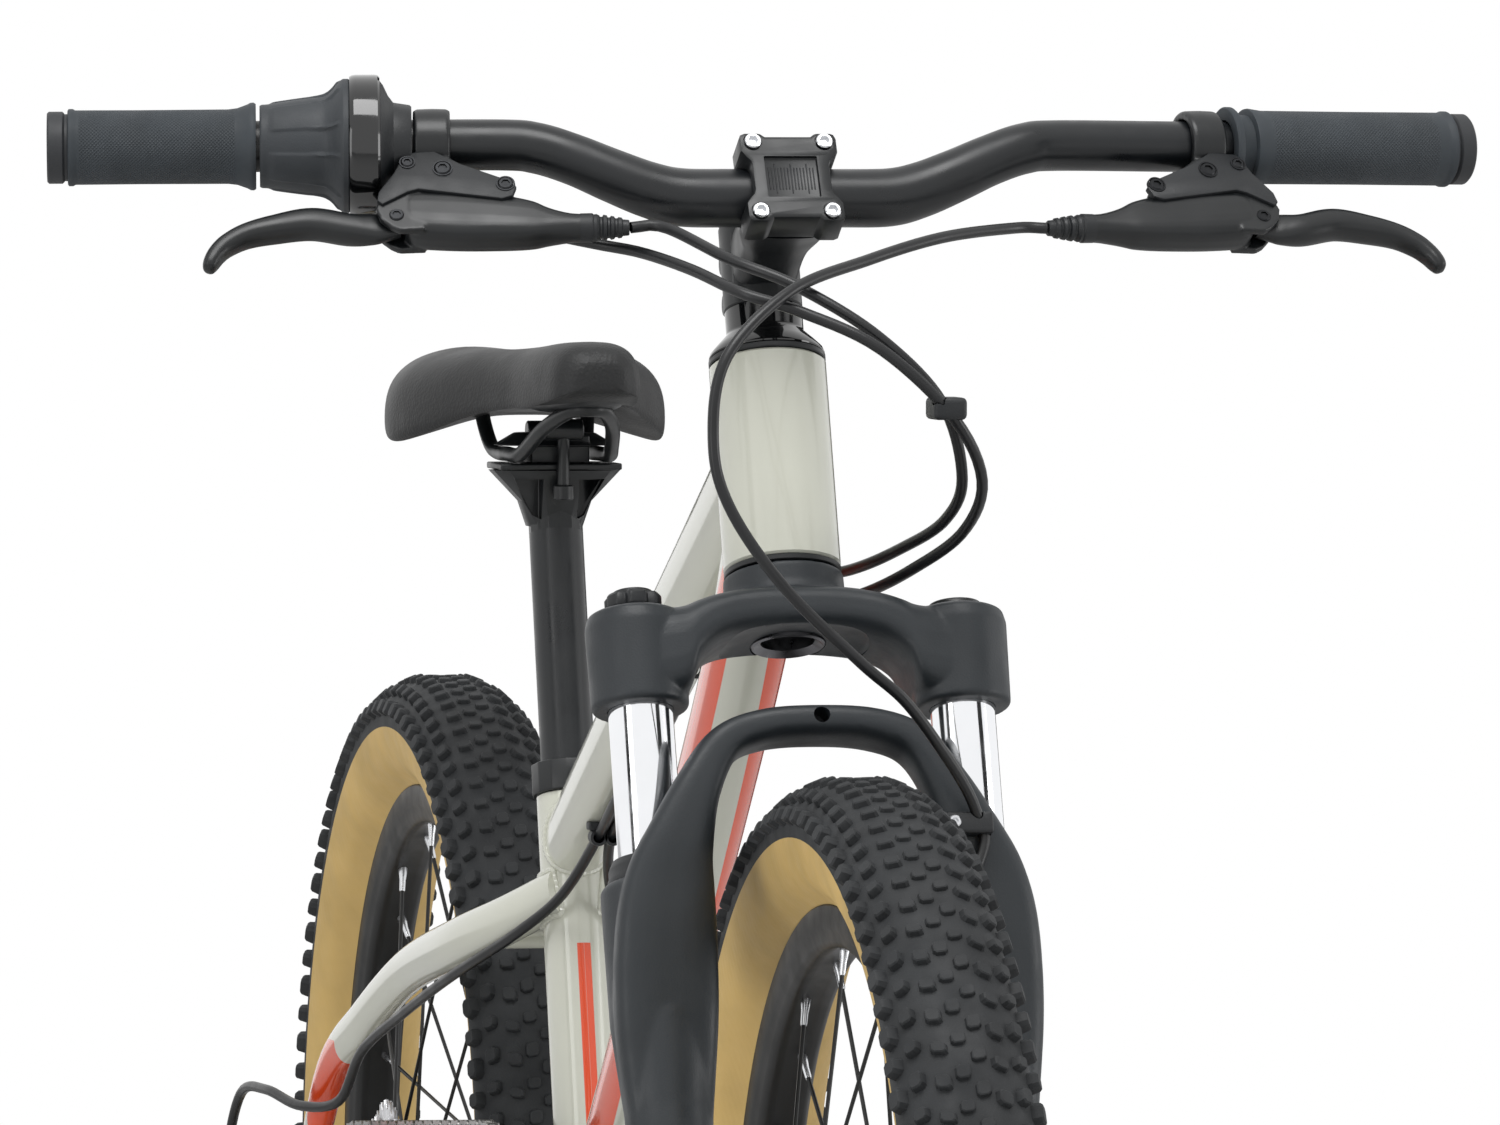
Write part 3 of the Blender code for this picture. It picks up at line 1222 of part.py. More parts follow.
LINK_DIRECTION = Vector((0.0, -0.85, -0.5268)).normalized()
SWING_DIRECTION = Vector((0.7071, 0.3725, -0.6010)).normalized()
LINK_AXIS = LINK_DIRECTION.cross(SWING_DIRECTION).normalized()
LINK_LENGTH = 0.050
LINK_SPACING = 0.0160
LINK_RADIUS = 0.0050
PIN_RADIUS = 0.0022
PIN_LENGTH = 0.0110
LINK_LEVEL = -0.0068
UPPER_PIVOT = Vector((-0.0925, 0.4900, 0.2330))
LOWER_PIVOT = UPPER_PIVOT + LINK_DIRECTION * LINK_LENGTH
CAGE_X = COG_FIRST_X - COG_SPACING * COG_IN_USE
CAGE_PIVOT = Vector((CAGE_X, LOWER_PIVOT.y + 0.0040, LOWER_PIVOT.z + 0.0020))
GUIDE_CENTRE = CAGE_PIVOT + Vector((0.0, 0.0080, -0.0220))
TENSION_CENTRE = GUIDE_CENTRE + Vector((0.0, -0.0220, -0.0500))
HANGER_BOLT = Vector((-REAR_DROPOUT_X - 0.0060, REAR_AXLE.y + 0.0100, REAR_AXLE.z - 0.0270))


def link_frame(origin):
    """Local X along the links, Y the way they swing, Z along their pins, towards the wheel."""
    turn = Matrix((LINK_DIRECTION, SWING_DIRECTION, LINK_AXIS)).transposed().to_4x4()
    return Matrix.Translation(origin) @ turn


def stadium(length, radius, count=5):
    return arc((0, 0), radius, 90.0, 270.0, count) + arc((length, 0), radius, -90.0, 90.0, count)


def knuckle_plate(name, origin, slack):
    """The plate that holds one end of both links, with its two pins on the outer side."""
    across = link_frame(origin) @ Matrix.Rotation(math.pi / 2, 4, "Z")
    plate = flat(name, [stadium(LINK_SPACING, 0.0055, 4)], 0.0040, across)
    for k in (0, 1):
        foot = origin + SWING_DIRECTION * (LINK_SPACING * k)
        join(plate, rod("pin", PIN_RADIUS - slack * k, foot, foot - LINK_AXIS * PIN_LENGTH, 6))
    return plate


def build_derailleur(root):
    """A slant parallelogram: two links between an upper and a lower knuckle, and a sprung cage.

    The inner link's lower pin is thinner than its hole, since the loop opens there as a joint tree."""
    along_x = Vector((1.0, 0.0, 0.0))
    upper = knuckle_plate("derailleur_base", UPPER_PIVOT, 0.0)
    face = HANGER_BOLT - GAP * along_x
    join(upper, rod("hanger_knuckle", 0.0090, face, face - 0.0150 * along_x, 12))
    middle = UPPER_PIVOT + SWING_DIRECTION * 0.0040 + LINK_AXIS * 0.0015
    join(upper, rod("neck", 0.0052, middle, HANGER_BOLT - 0.0070 * along_x, 8))
    add(upper, "satin_black", root)
    swing = []
    for k, name in ((0, "derailleur_link_outer"), (1, "derailleur_link_inner")):
        foot = UPPER_PIVOT + SWING_DIRECTION * (LINK_SPACING * k)
        axis = empty(f"{name}_axis", link_frame(foot), root)
        holes = [circle((x, 0), PIN_RADIUS + 0.0005, 8) for x in (0.0, LINK_LENGTH)]
        outlines = [stadium(LINK_LENGTH, LINK_RADIUS)] + holes
        level = Matrix.Translation((0.0, 0.0, LINK_LEVEL))
        add(flat(name, outlines, 0.0070, axis.matrix_world @ level), "satin_black", axis)
        swing.append(axis)
    knuckle_axis = empty("derailleur_knuckle_axis", link_frame(LOWER_PIVOT), swing[0])
    lower = knuckle_plate("derailleur_knuckle", LOWER_PIVOT, 0.0005)
    middle = LOWER_PIVOT + SWING_DIRECTION * 0.0080 + LINK_AXIS * 0.0022
    join(lower, rod("neck", 0.0055, middle, CAGE_PIVOT - 0.0240 * along_x, 8))
    join(lower, rod("cage_knuckle", 0.0090, CAGE_PIVOT - 0.0128 * along_x, CAGE_PIVOT - 0.0290 * along_x, 12))
    add(lower, "satin_black", knuckle_axis)
    build_cage(knuckle_axis)


def cage_plate(name, x, thickness):
    guide = (GUIDE_CENTRE.y - CAGE_PIVOT.y, GUIDE_CENTRE.z - CAGE_PIVOT.z)
    tension = (TENSION_CENTRE.y - CAGE_PIVOT.y, TENSION_CENTRE.z - CAGE_PIVOT.z)
    outline = arc((0, 0), 0.0090, 30.0, 150.0, 4) + arc((guide[0] - 0.004, guide[1]), 0.0100, 170.0, 215.0, 2)
    outline += arc(tension, 0.0095, 165.0, 330.0, 5) + arc(guide, 0.0110, -20.0, 20.0, 2)
    turn = Matrix(((0, 0, 1, x), (1, 0, 0, CAGE_PIVOT.y), (0, 1, 0, CAGE_PIVOT.z), (0, 0, 0, 1)))
    return flat(name, [outline], thickness, turn)


def build_cage(parent):
    axis = empty("derailleur_cage_axis", Matrix.Translation(CAGE_PIVOT) @ ALONG_X, parent)
    cage = cage_plate("derailleur_cage", CAGE_X - 0.0092, 0.0020)
    join(cage, cage_plate("inner_plate", CAGE_X + 0.0075, 0.0016))
    for centre in (GUIDE_CENTRE, TENSION_CENTRE):
        ends = [centre + Vector((x, 0, 0)) for x in (-0.0092, 0.0075)]
        join(cage, rod("pulley_bolt", 0.0028, ends[0], ends[1], 8))
    outer_face = CAGE_PIVOT + Vector((-0.0122, 0, 0))
    join(cage, rod("cage_bolt", 0.0080, outer_face, CAGE_PIVOT + Vector((-0.0085, 0, 0)), 12))
    add(cage, "satin_black", axis)
    for name, centre in (("guide_pulley", GUIDE_CENTRE), ("tension_pulley", TENSION_CENTRE)):
        pulley_axis = empty(f"{name}_axis", Matrix.Translation(centre) @ ALONG_X, axis)
        outlines = [toothed_outline(PULLEY_TEETH, 0.0025), circle((0, 0), 0.0033, 8)]
        add(flat(name, outlines, 0.0045, pulley_axis.matrix_world), "satin_black", pulley_axis)


def build_hanger(root):
    """The replaceable tab below the right dropout that carries the derailleur's bolt."""
    y, z = REAR_AXLE.y, REAR_AXLE.z
    x = -REAR_DROPOUT_X - 0.0030
    slot = 0.0098
    outline = [(y - slot, z - 0.0163), (y - 0.004, z - 0.0363), (y + 0.0100, z - 0.0400)]
    outline += [(y + 0.0210, z - 0.0330), (y + 0.0220, z - 0.0200), (y + 0.0185, z - 0.0163)]
    turn = Matrix(((0, 0, 1, x), (1, 0, 0, 0), (0, 1, 0, 0), (0, 0, 0, 1)))
    return add(flat("derailleur_hanger", [outline], 0.0060, turn), "satin_black", root)


# Brakes


def build_caliper(name, centre, turn, parent, axle, rotor_x, size):
    """A caliper body with the slot that the rotor runs in, and a hose fitting outside the rotor."""
    body = box(name, size, centre, turn, bevel=0.0040)
    foot = Vector(centre) + Vector((size[0] / 2 - 0.0065, 0.0, 0.0))
    back = turn.to_3x3() @ Vector((0.0, 0.0, size[2] / 2 + 0.0060))
    join(body, rod("fitting", 0.0050, foot, foot + back, 8))
    faces = [axle + Vector((rotor_x + x, 0, 0)) for x in (-0.0019, 0.0019)]
    cut(body, rod("rotor_slot", ROTOR_RADIUS + 0.0025, faces[0], faces[1], 32))
    return add(body, "satin_black", parent)


def build_brakes(root, lowers):
    front = STEERING @ Vector((0.0415, 0.0220, 0.0620))
    size = (0.0310, 0.0240, 0.0520)
    build_caliper("front_caliper", front, STEER_ROTATION, lowers, FRONT_AXLE, FRONT_ROTOR_X, size)
    rear = Vector((0.0535, 0.4230, 0.2990))
    size = (0.0290, 0.0360, 0.0260)
    build_caliper("rear_caliper", rear, Matrix(), root, REAR_AXLE, REAR_ROTOR_X, size)


# Hoses

HOSE_RADIUS = 0.0025


def lever_boot_end(side, from_end):
    frame = bar_frame(side, from_end)
    return frame @ Vector((-0.0853, 0.0480, 0.0)), frame @ Vector((-0.1000, 0.0480, 0.0))


def top_tube_underside(y):
    """Height of the two lines' centres under the top tube."""
    start, end = head_point(0.440), Vector((0.0, 0.1590, 0.4590))
    share = (y - start.y) / (end.y - start.y)
    return start.z + (end.z - start.z) * share - 0.0262


def front_hose_route():
    """From the left lever across the head tube to the left leg, and behind the tyre to the caliper."""
    route = list(lever_boot_end(1, LEFT_CLAMP_FROM_END))
    route += [(0.0586, -0.3680, 0.7522), (0.0205, -0.3930, 0.7430), (-0.0205, -0.4225, 0.7298)]
    route += [(-0.0514, -0.4390, 0.7019), (-0.0571, -0.4400, 0.6672), (-0.0500, -0.4410, 0.6385)]
    route += [(-0.0263, -0.4420, 0.6044), (0.0069, -0.4400, 0.5727), (0.0431, -0.4270, 0.5341)]
    route += lean([(0.0615, -0.0580, 0.2760), (0.0660, -0.0575, 0.2540), (0.0665, -0.0565, 0.2360)])
    route += lean([(0.0560, -0.0545, 0.2120), (0.0440, -0.0440, 0.1850), (0.0420, -0.0200, 0.1500)])
    route += lean([(0.0470, 0.0080, 0.1220), (0.0505, 0.0220, 0.1060), (0.0505, 0.0220, 0.0948)])
    return smooth_route(route, 38)


def along_seat_stay(side):
    """The line's way from the top tube, under the junction and down the stay to its last clip."""
    route = [(0.0034, y, top_tube_underside(y)) for y in (-0.150, -0.060, 0.030, 0.085)]
    route += [(0.0120, 0.1230, 0.4390), (0.0280, 0.1520, 0.4195), (0.0470, 0.2145, 0.3955)]
    route += [(0.0545, 0.3000, 0.3720), (0.0620, 0.3650, 0.3500)]
    return [(side * x, y, z) for x, y, z in route]


def rear_hose_route():
    route = list(lever_boot_end(-1, RIGHT_CLAMP_FROM_END))
    route += [(-0.0390, -0.3880, 0.7430), (-0.0141, -0.4060, 0.7320), (0.0187, -0.4180, 0.7110)]
    route += [(0.0474, -0.4160, 0.6827), (0.0600, -0.4010, 0.6500), (0.0583, -0.3750, 0.6306)]
    route += [(0.0470, -0.3380, 0.6170), (0.0340, -0.2930, 0.6060), (0.0200, -0.2300, 0.5990)]
    route += along_seat_stay(1)
    route += [(0.0640, 0.3960, 0.3372), (0.0625, 0.4165, 0.3275)]
    route += [(0.0616, 0.4225, 0.3240), (0.0615, 0.4230, 0.3202)]
    return smooth_route(route, 44)


def shift_route():
    route = [shift_outlet(-0.0114), shift_outlet(-0.0240)]
    route += [(-0.1190, -0.3330, 0.7400), (-0.1100, -0.3530, 0.7365), (-0.0940, -0.3730, 0.7375)]
    route += [(-0.0698, -0.3920, 0.7370), (-0.0386, -0.4110, 0.7290), (-0.0154, -0.4180, 0.7215)]
    route += [(0.0174, -0.4280, 0.7060), (0.0499, -0.4265, 0.6768)]
    route += [(0.0665, -0.4110, 0.6490), (0.0650, -0.3820, 0.6260), (0.0510, -0.3450, 0.6085)]
    route += [(0.0370, -0.3000, 0.5955), (0.0225, -0.2350, 0.5865)]
    route += along_seat_stay(-1)
    route += [(-0.0660, 0.4050, 0.3230), (-0.0790, 0.4400, 0.3180), (-0.0890, 0.4800, 0.3230)]
    route += [(-0.0935, 0.5250, 0.3180), (-0.0960, 0.5500, 0.2850), (-0.0960, 0.5420, 0.2480)]
    route += [(-0.0930, 0.5220, 0.2300), (-0.0900, 0.5060, 0.2270)]
    return smooth_route(route, 50)


def build_hoses(root, lowers):
    add(tube("front_brake_hose", front_hose_route(), HOSE_RADIUS), "hose_black", lowers)
    add(tube("rear_brake_hose", rear_hose_route(), HOSE_RADIUS), "hose_black", root)
    add(tube("shift_housing", shift_route(), HOSE_RADIUS), "hose_black", root)


def build_hose_fittings(steering, lowers):
    """The clip that ties the two lines beside the head tube, and the clamp on the left leg."""
    clip = box("cable_clip", (0.0150, 0.0200, 0.0100), (0.0484, -0.4212, 0.6800), bevel=0.0015)
    for route in (rear_hose_route(), shift_route()):
        near = [point for point in route if (point - Vector((0.0484, -0.4212, 0.6800))).length < 0.035]
        cut(clip, tube("hole", near, HOSE_RADIUS + 0.0008))
    add(clip, "satin_black", steering)
    centre = STEERING @ Vector((0.0605, -0.0582, 0.2460))
    clamp = box("hose_clamp", (0.0210, 0.0080, 0.0100), centre, STEER_ROTATION)
    near = [point for point in front_hose_route() if (point - centre).length < 0.045]
    cut(clamp, tube("hole", near, HOSE_RADIUS + 0.0005))
    add(clamp, "satin_black", lowers)


# Seat

RAIL_RADIUS = 0.0035
RAIL_HALF = 0.0220
RAIL_HEIGHT = 0.6420


def build_seat(root):
    """Post, clamp, rails and saddle, carried by the height adjustment's axis."""
    axis = empty("seat_post_axis", SEATING, root)
    post = rod("seatpost", POST_RADIUS, seat_point(0.112), seat_point(0.367), 14)
    centre = seat_point(0.367)
    cradle = []
    for z, half_x, half_y in ((0.6080, 0.0130, 0.0130), (0.6200, 0.0170, 0.0160), (0.6345, 0.0310, 0.0185)):
        cradle.append(ellipse((0.0, centre.y, z), (1, 0, 0), (0, 1, 0), half_x, half_y, 12, 0.7))
    join(post, loft("cradle", cradle))
    add(post, "satin_black", axis)
    base = RAIL_HEIGHT - RAIL_RADIUS - 2 * GAP
    lower = box("saddle_clamp", (0.0580, 0.0360, base - 0.6348), (0.0, centre.y, (base + 0.6348) / 2))
    join(lower, box("web", (0.0280, 0.0300, 0.0160), (0.0, centre.y, 0.6430)))
    upper = RAIL_HEIGHT + RAIL_RADIUS + 2 * GAP
    dome = [ellipse((0.0, centre.y, upper), (1, 0, 0), (0, 1, 0), 0.0290, 0.0175, 12, 0.7)]
    dome.append(ellipse((0.0, centre.y, upper + 0.0060), (1, 0, 0), (0, 1, 0), 0.0190, 0.0110, 12, 0.7))
    join(lower, loft("dome", dome))
    add(lower, "satin_black", axis)
    build_rails(axis)
    build_saddle(axis)


def build_rails(axis):
    """One bent wire: a hook under the nose, two level runs through the clamp, two ends under the wings."""
    half = [(0.0080, 0.1250, 0.6640), (0.0160, 0.1450, 0.6560), (0.0205, 0.1700, 0.6450)]
    half += [(RAIL_HALF, y, RAIL_HEIGHT) for y in (0.1820, 0.2050, 0.2300)]
    half += [(0.0235, 0.2500, 0.6445), (0.0270, 0.2750, 0.6520)]
    route = [(-x, y, z) for x, y, z in half[::-1]] + [(0.0, 0.1200, 0.6650)] + half
    return add(tube("saddle_rails", route, RAIL_RADIUS), "steel", axis)


def build_saddle(axis):
    """The padded saddle from a coarse cage: a dropped nose, a waist, a crown and drooping wings.

    Each station holds y, half width, the middle's height, the crown's height and the lip's height."""
    stations = [
        (0.0930, 0.0120, 0.6900, 0.6900, 0.6740),
        (0.1020, 0.0220, 0.6985, 0.6980, 0.6700),
        (0.1300, 0.0265, 0.6995, 0.6990, 0.6660),
        (0.1700, 0.0320, 0.6960, 0.6965, 0.6620),
        (0.2100, 0.0480, 0.6930, 0.6945, 0.6540),
        (0.2450, 0.0655, 0.6925, 0.6945, 0.6450),
        (0.2750, 0.0718, 0.6930, 0.6945, 0.6410),
        (0.3050, 0.0665, 0.6920, 0.6930, 0.6450),
        (0.3300, 0.0420, 0.6880, 0.6880, 0.6600),
    ]
    rings = []
    for y, half, middle, crown, lip in stations:
        belly = max(lip + 0.0150, 0.6660)
        shape = [(0.0, middle), (0.40, crown), (0.78, crown - 0.0060), (1.0, (crown + lip) / 2 - 0.002)]
        shape += [(0.98, lip), (0.62, (lip + belly) / 2), (0.0, belly)]
        right = [Vector((half * x, y, z)) for x, z in shape]
        left = [Vector((-p.x, p.y, p.z)) for p in right[-2:0:-1]]
        rings.append(right + left)
    saddle = loft("saddle", rings)
    smooth = saddle.modifiers.new("padding", "SUBSURF")
    smooth.levels = 1
    smooth.render_levels = 1
    return add(saddle, "saddle_skin", axis)


def main():
    root = empty("bike", Matrix())
    steering = empty("steering_axis", STEERING, root)
    build_frame(root)
    build_headset(root, steering)
    build_seat_clamp(root)
    build_bottom_bracket(root)
    build_hanger(root)
    build_fork_crown(steering)
    build_stanchions(steering)
    build_preload_knob(steering)
    build_handlebar(steering)
    build_stem(steering)
    build_faceplate(steering)
    build_grips(steering)
    build_twist_grip(steering)
    build_shifter_housing(steering)
    build_levers(steering)
    lowers = build_front_wheel(steering)
    build_fork_lowers(lowers)
    build_rear_wheel(root)
    build_cassette(root)
    crank = empty("crank_axis", Matrix.Translation(CRANK_CENTRE), root)
    crank_arm("crank_arm_right", -1, 1, crank, False)
    crank_arm("crank_arm_left", 1, -1, crank, True)
    build_pedal("pedal_right", -1, 1, crank)
    build_pedal("pedal_left", 1, -1, crank)
    build_chainring(crank)
    build_chain(root)
    build_derailleur(root)
    build_brakes(root, lowers)
    build_hoses(root, lowers)
    build_hose_fittings(steering, lowers)
    build_seat(root)
    bpy.context.view_layer.update()


main()
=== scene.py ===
"""The bike's looks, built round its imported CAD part: smooth pieces, treads, knurls, bolts and finishes.

Metres, +Z up, the bike faces -Y and the rider's right is at -X, as in the part."""

from functools import reduce
from math import acos, atan2, copysign, cos, exp, hypot, pi, radians, sin, tan

import bmesh
import bpy
from mathutils import Matrix, Vector


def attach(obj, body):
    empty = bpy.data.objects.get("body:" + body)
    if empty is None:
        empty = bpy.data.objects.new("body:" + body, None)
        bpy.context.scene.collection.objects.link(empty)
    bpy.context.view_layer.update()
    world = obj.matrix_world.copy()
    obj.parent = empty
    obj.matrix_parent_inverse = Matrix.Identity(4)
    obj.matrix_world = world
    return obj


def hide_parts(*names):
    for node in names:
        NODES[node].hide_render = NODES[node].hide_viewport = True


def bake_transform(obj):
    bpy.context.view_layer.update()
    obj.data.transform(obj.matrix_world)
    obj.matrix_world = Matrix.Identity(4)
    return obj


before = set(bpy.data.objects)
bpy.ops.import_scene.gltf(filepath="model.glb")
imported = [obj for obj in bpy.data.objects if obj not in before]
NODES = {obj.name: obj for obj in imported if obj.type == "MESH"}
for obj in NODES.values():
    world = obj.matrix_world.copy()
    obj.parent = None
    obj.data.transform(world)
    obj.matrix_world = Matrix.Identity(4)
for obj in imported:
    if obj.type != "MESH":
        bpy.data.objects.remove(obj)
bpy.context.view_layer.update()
SCENE = bpy.context.scene


def mm(text):
    """Tuples in metres from rows of millimetres, the rows parted by commas."""
    return [tuple(float(value + "e-3") for value in row.split()) for row in text.split(",")]


def vec(x, y, z):
    return Vector((x, y, z))


def moved(x, y, z):
    return Matrix.Translation((x, y, z))


def turned(angle, axis):
    return Matrix.Rotation(angle, 4, axis)


def polar(radius, angle):
    return radius * cos(angle), radius * sin(angle)


def unit(value):
    return min(max(value, 0.0), 1.0)


def at_height(base, profile):
    return [(radius, base + height) for radius, height in profile]


def facing_x(x):
    """A frame at x for outlines drawn from the side: its X and Y run along the bike's Y and Z."""
    return Matrix(((0, 0, 1, x), (1, 0, 0, 0), (0, 1, 0, 0), (0, 0, 0, 1)))


def facing_y(y):
    """A frame at y for outlines drawn from ahead: its X and Y run along the bike's X and Z."""
    return Matrix(((1, 0, 0, 0), (0, 0, -1, y), (0, 1, 0, 0), (0, 0, 0, 1)))


# The part's own frames and sizes, repeated from its source.

TAU = 2 * pi
SIDES = ((-1, "right"), (1, "left"))
X, Y, Z = (1, 0, 0), (0, 1, 0), (0, 0, 1)
TILT = radians(90.0 - 69.6)
SEAT_TILT = radians(90.0 - 74.1)
CRANK_CENTRE = vec(0, 0.1035, 0.268)
CRANK_LENGTH = 0.14
FRONT_AXLE = vec(0, -0.478, 0.263)
REAR_AXLE = vec(0, 0.478, 0.263)
LEAN = turned(-TILT, "X")
STEERING = Matrix.Translation(FRONT_AXLE + LEAN.to_3x3() @ vec(0, 0.035, 0)) @ LEAN
SEATING = Matrix.Translation(CRANK_CENTRE) @ turned(-SEAT_TILT, "X")
ALONG_X = turned(pi / 2, "Y")
TURNED_OVER = turned(pi, "X")
AHEAD, BACK = LEAN.to_3x3() @ vec(0, -1, 0), LEAN.to_3x3() @ vec(0, 1, 0)
HEAD_BOTTOM, HEAD_TOP, HEAD_RADIUS = 0.38, 0.474, 0.0256
LEG_X, LEG_BACK = 0.071, 0.0183
STANCHION_RADIUS = 0.0141
BAR_HALF, BAR_HEIGHT, BAR_REACH = 0.316, 0.5302, 0.0593
BAR_CENTRE_RADIUS, BAR_END_RADIUS = 0.0127, 0.0111
BAR_SWEEP = radians(10.0)
LEVER_DROP = radians(48.0)
RIGHT_CLAMP, LEFT_CLAMP = 0.166, 0.128
RIM_EDGE = 0.2085
CHAIN_PITCH = 0.0127
RING_X, RING_TEETH, PULLEY_TEETH = -0.05, 32, 11
COG_TEETH = (28, 24, 22, 20, 18, 16, 14)
COG_X = [-0.0285 - 0.005 * i for i in range(7)]
COG_IN_USE = 3
CAGE_X = COG_X[COG_IN_USE]


# Making meshes


def linked(name, data, matrix=None):
    obj = bpy.data.objects.new(name, data)
    SCENE.collection.objects.link(obj)
    if matrix is not None:
        obj.matrix_world = matrix
    return obj


def from_bmesh(name, bm, matrix=None):
    bmesh.ops.recalc_face_normals(bm, faces=bm.faces)
    mesh = bpy.data.meshes.new(name)
    bm.to_mesh(mesh)
    bm.free()
    return linked(name, mesh, matrix)


def realised(obj):
    """A mesh object with the shape that obj's modifiers or curve settings make, in its place."""
    bpy.context.view_layer.update()
    graph = bpy.context.evaluated_depsgraph_get()
    mesh = bpy.data.meshes.new_from_object(obj.evaluated_get(graph))
    name, matrix = obj.name, obj.matrix_world.copy()
    bpy.data.objects.remove(obj, do_unlink=True)
    return linked(name, mesh, matrix)


def modified(obj, kind, **settings):
    modifier = obj.modifiers.new(kind, kind)
    for key, value in settings.items():
        setattr(modifier, key, value)


def placed(obj):
    """The object with its matrix applied to its mesh."""
    obj.data.transform(obj.matrix_world)
    obj.matrix_world = Matrix.Identity(4)
    return obj


def joined(name, objects):
    """Several meshes as one, in the first one's frame."""
    base = objects[0].matrix_world.copy()
    bm = bmesh.new()
    for obj in objects:
        part = obj.data.copy()
        part.transform(base.inverted() @ obj.matrix_world)
        bm.from_mesh(part)
        bpy.data.meshes.remove(part)
        bpy.data.objects.remove(obj, do_unlink=True)
    mesh = bpy.data.meshes.new(name)
    bm.to_mesh(mesh)
    bm.free()
    return linked(name, mesh, base)


def boolean(target, operation, tools):
    for tool in tools:
        modified(target, "BOOLEAN", operation=operation, solver="EXACT", object=tool)
    made = realised(target)
    for tool in tools:
        bpy.data.objects.remove(tool, do_unlink=True)
    return made


def remeshed(name, parts, voxel, passes):
    """One cast-looking skin round several shells: voxels, then smoothing of the steps."""
    obj = placed(joined(name, parts))
    modified(obj, "REMESH", mode="VOXEL", voxel_size=voxel)
    modified(obj, "SMOOTH", iterations=passes, factor=0.5)
    return realised(obj)


def bevelled(obj, width, segments=2, angle=35.0):
    modified(obj, "BEVEL", width=width, segments=segments, limit_method="ANGLE", angle_limit=radians(angle))
    return realised(obj)


def quads(bm, first, second):
    for i in range(len(first)):
        j = (i + 1) % len(first)
        bm.faces.new((first[i], first[j], second[j], second[i]))


def lathe(name, profile, matrix=None, steps=64, closed=False):
    """A turned piece: (radius, height) points round local Z. Closed profiles make rings."""
    bm = bmesh.new()
    rows = []
    for radius, height in profile:
        turns = [TAU * i / steps for i in range(steps if radius > 1e-7 else 1)]
        rows.append([bm.verts.new((*polar(radius, turn), height)) for turn in turns])
    for low, high in zip(rows, rows[1:] + (rows[:1] if closed else [])):
        for i in range(steps):
            j = (i + 1) % steps
            corners = [low[i % len(low)], low[j % len(low)], high[j % len(high)], high[i % len(high)]]
            unique = list(dict.fromkeys(corners))
            if len(unique) > 2:
                bm.faces.new(unique)
    if not closed:
        for ring in (rows[0], rows[-1]):
            if len(ring) > 2:
                bm.faces.new(ring)
    return from_bmesh(name, bm, matrix)


def loft(name, rings, matrix=None, cyclic=False):
    bm = bmesh.new()
    rows = [[bm.verts.new(point) for point in ring] for ring in rings]
    if not cyclic:
        bm.faces.new(rows[0][::-1])
        bm.faces.new(rows[-1])
    for first, second in zip(rows, rows[1:] + (rows[:1] if cyclic else [])):
        quads(bm, first, second)
    return from_bmesh(name, bm, matrix)


def curve_through(rows, steps=12):
    """The rows with others between them, on a smooth curve through all of them."""
    rows = [tuple(row) for row in rows]
    first = tuple(2 * a - b for a, b in zip(rows[0], rows[1]))
    last = tuple(2 * a - b for a, b in zip(rows[-1], rows[-2]))
    ends = [first, *rows, last]

    def between_rows(p, q, r, s, t):
        square, cube = 2 * p - 5 * q + 4 * r - s, 3 * q - p - 3 * r + s
        return 0.5 * (2 * q + (r - p) * t + square * t * t + cube * t**3)

    fine = []
    for four in zip(ends, ends[1:], ends[2:], ends[3:]):
        for i in range(steps):
            fine.append(tuple(between_rows(*values, i / steps) for values in zip(*four)))
    return fine + [rows[-1]]


def evenly(points, count):
    points = [Vector(point) for point in points]
    lengths = [0.0]
    for first, second in zip(points, points[1:]):
        lengths.append(lengths[-1] + (second - first).length)
    spaced = []
    k = 0
    for i in range(count):
        wanted = lengths[-1] * i / (count - 1)
        while k < len(points) - 2 and lengths[k + 1] < wanted:
            k += 1
        share = (wanted - lengths[k]) / max(lengths[k + 1] - lengths[k], 1e-12)
        spaced.append(points[k].lerp(points[k + 1], unit(share)))
    return spaced


def length_of(line):
    return sum((b - a).length for a, b in zip(line, line[1:]))


def ellipse(centre, side, up, half_side, half_up, count=32, squareness=1.0):
    ring = []
    for i in range(count):
        c, s = polar(1.0, TAU * (i + 0.5) / count)
        across = copysign(abs(c) ** squareness, c) * half_side
        along = copysign(abs(s) ** squareness, s) * half_up
        ring.append(Vector(centre) + across * Vector(side) + along * Vector(up))
    return ring


def ahead_at(line, i):
    return (Vector(line[min(i + 1, len(line) - 1)]) - Vector(line[max(i - 1, 0)])).normalized()


def oval_sweep(name, path, sizes, count=32, squareness=1.0, side=X, steps=8):
    """An oval tube through stations, with the same sections as the part's but many more of them."""
    fine = curve_through([(*point, *size) for point, size in zip(path, sizes)], steps)
    side = Vector(side)
    rings = []
    for i, (x, y, z, half_side, half_up) in enumerate(fine):
        ahead = ahead_at([row[:3] for row in fine], i)
        across = (side - ahead * side.dot(ahead)).normalized()
        rings.append(ellipse((x, y, z), across, ahead.cross(across), half_side, half_up, count, squareness))
    return loft(name, rings)


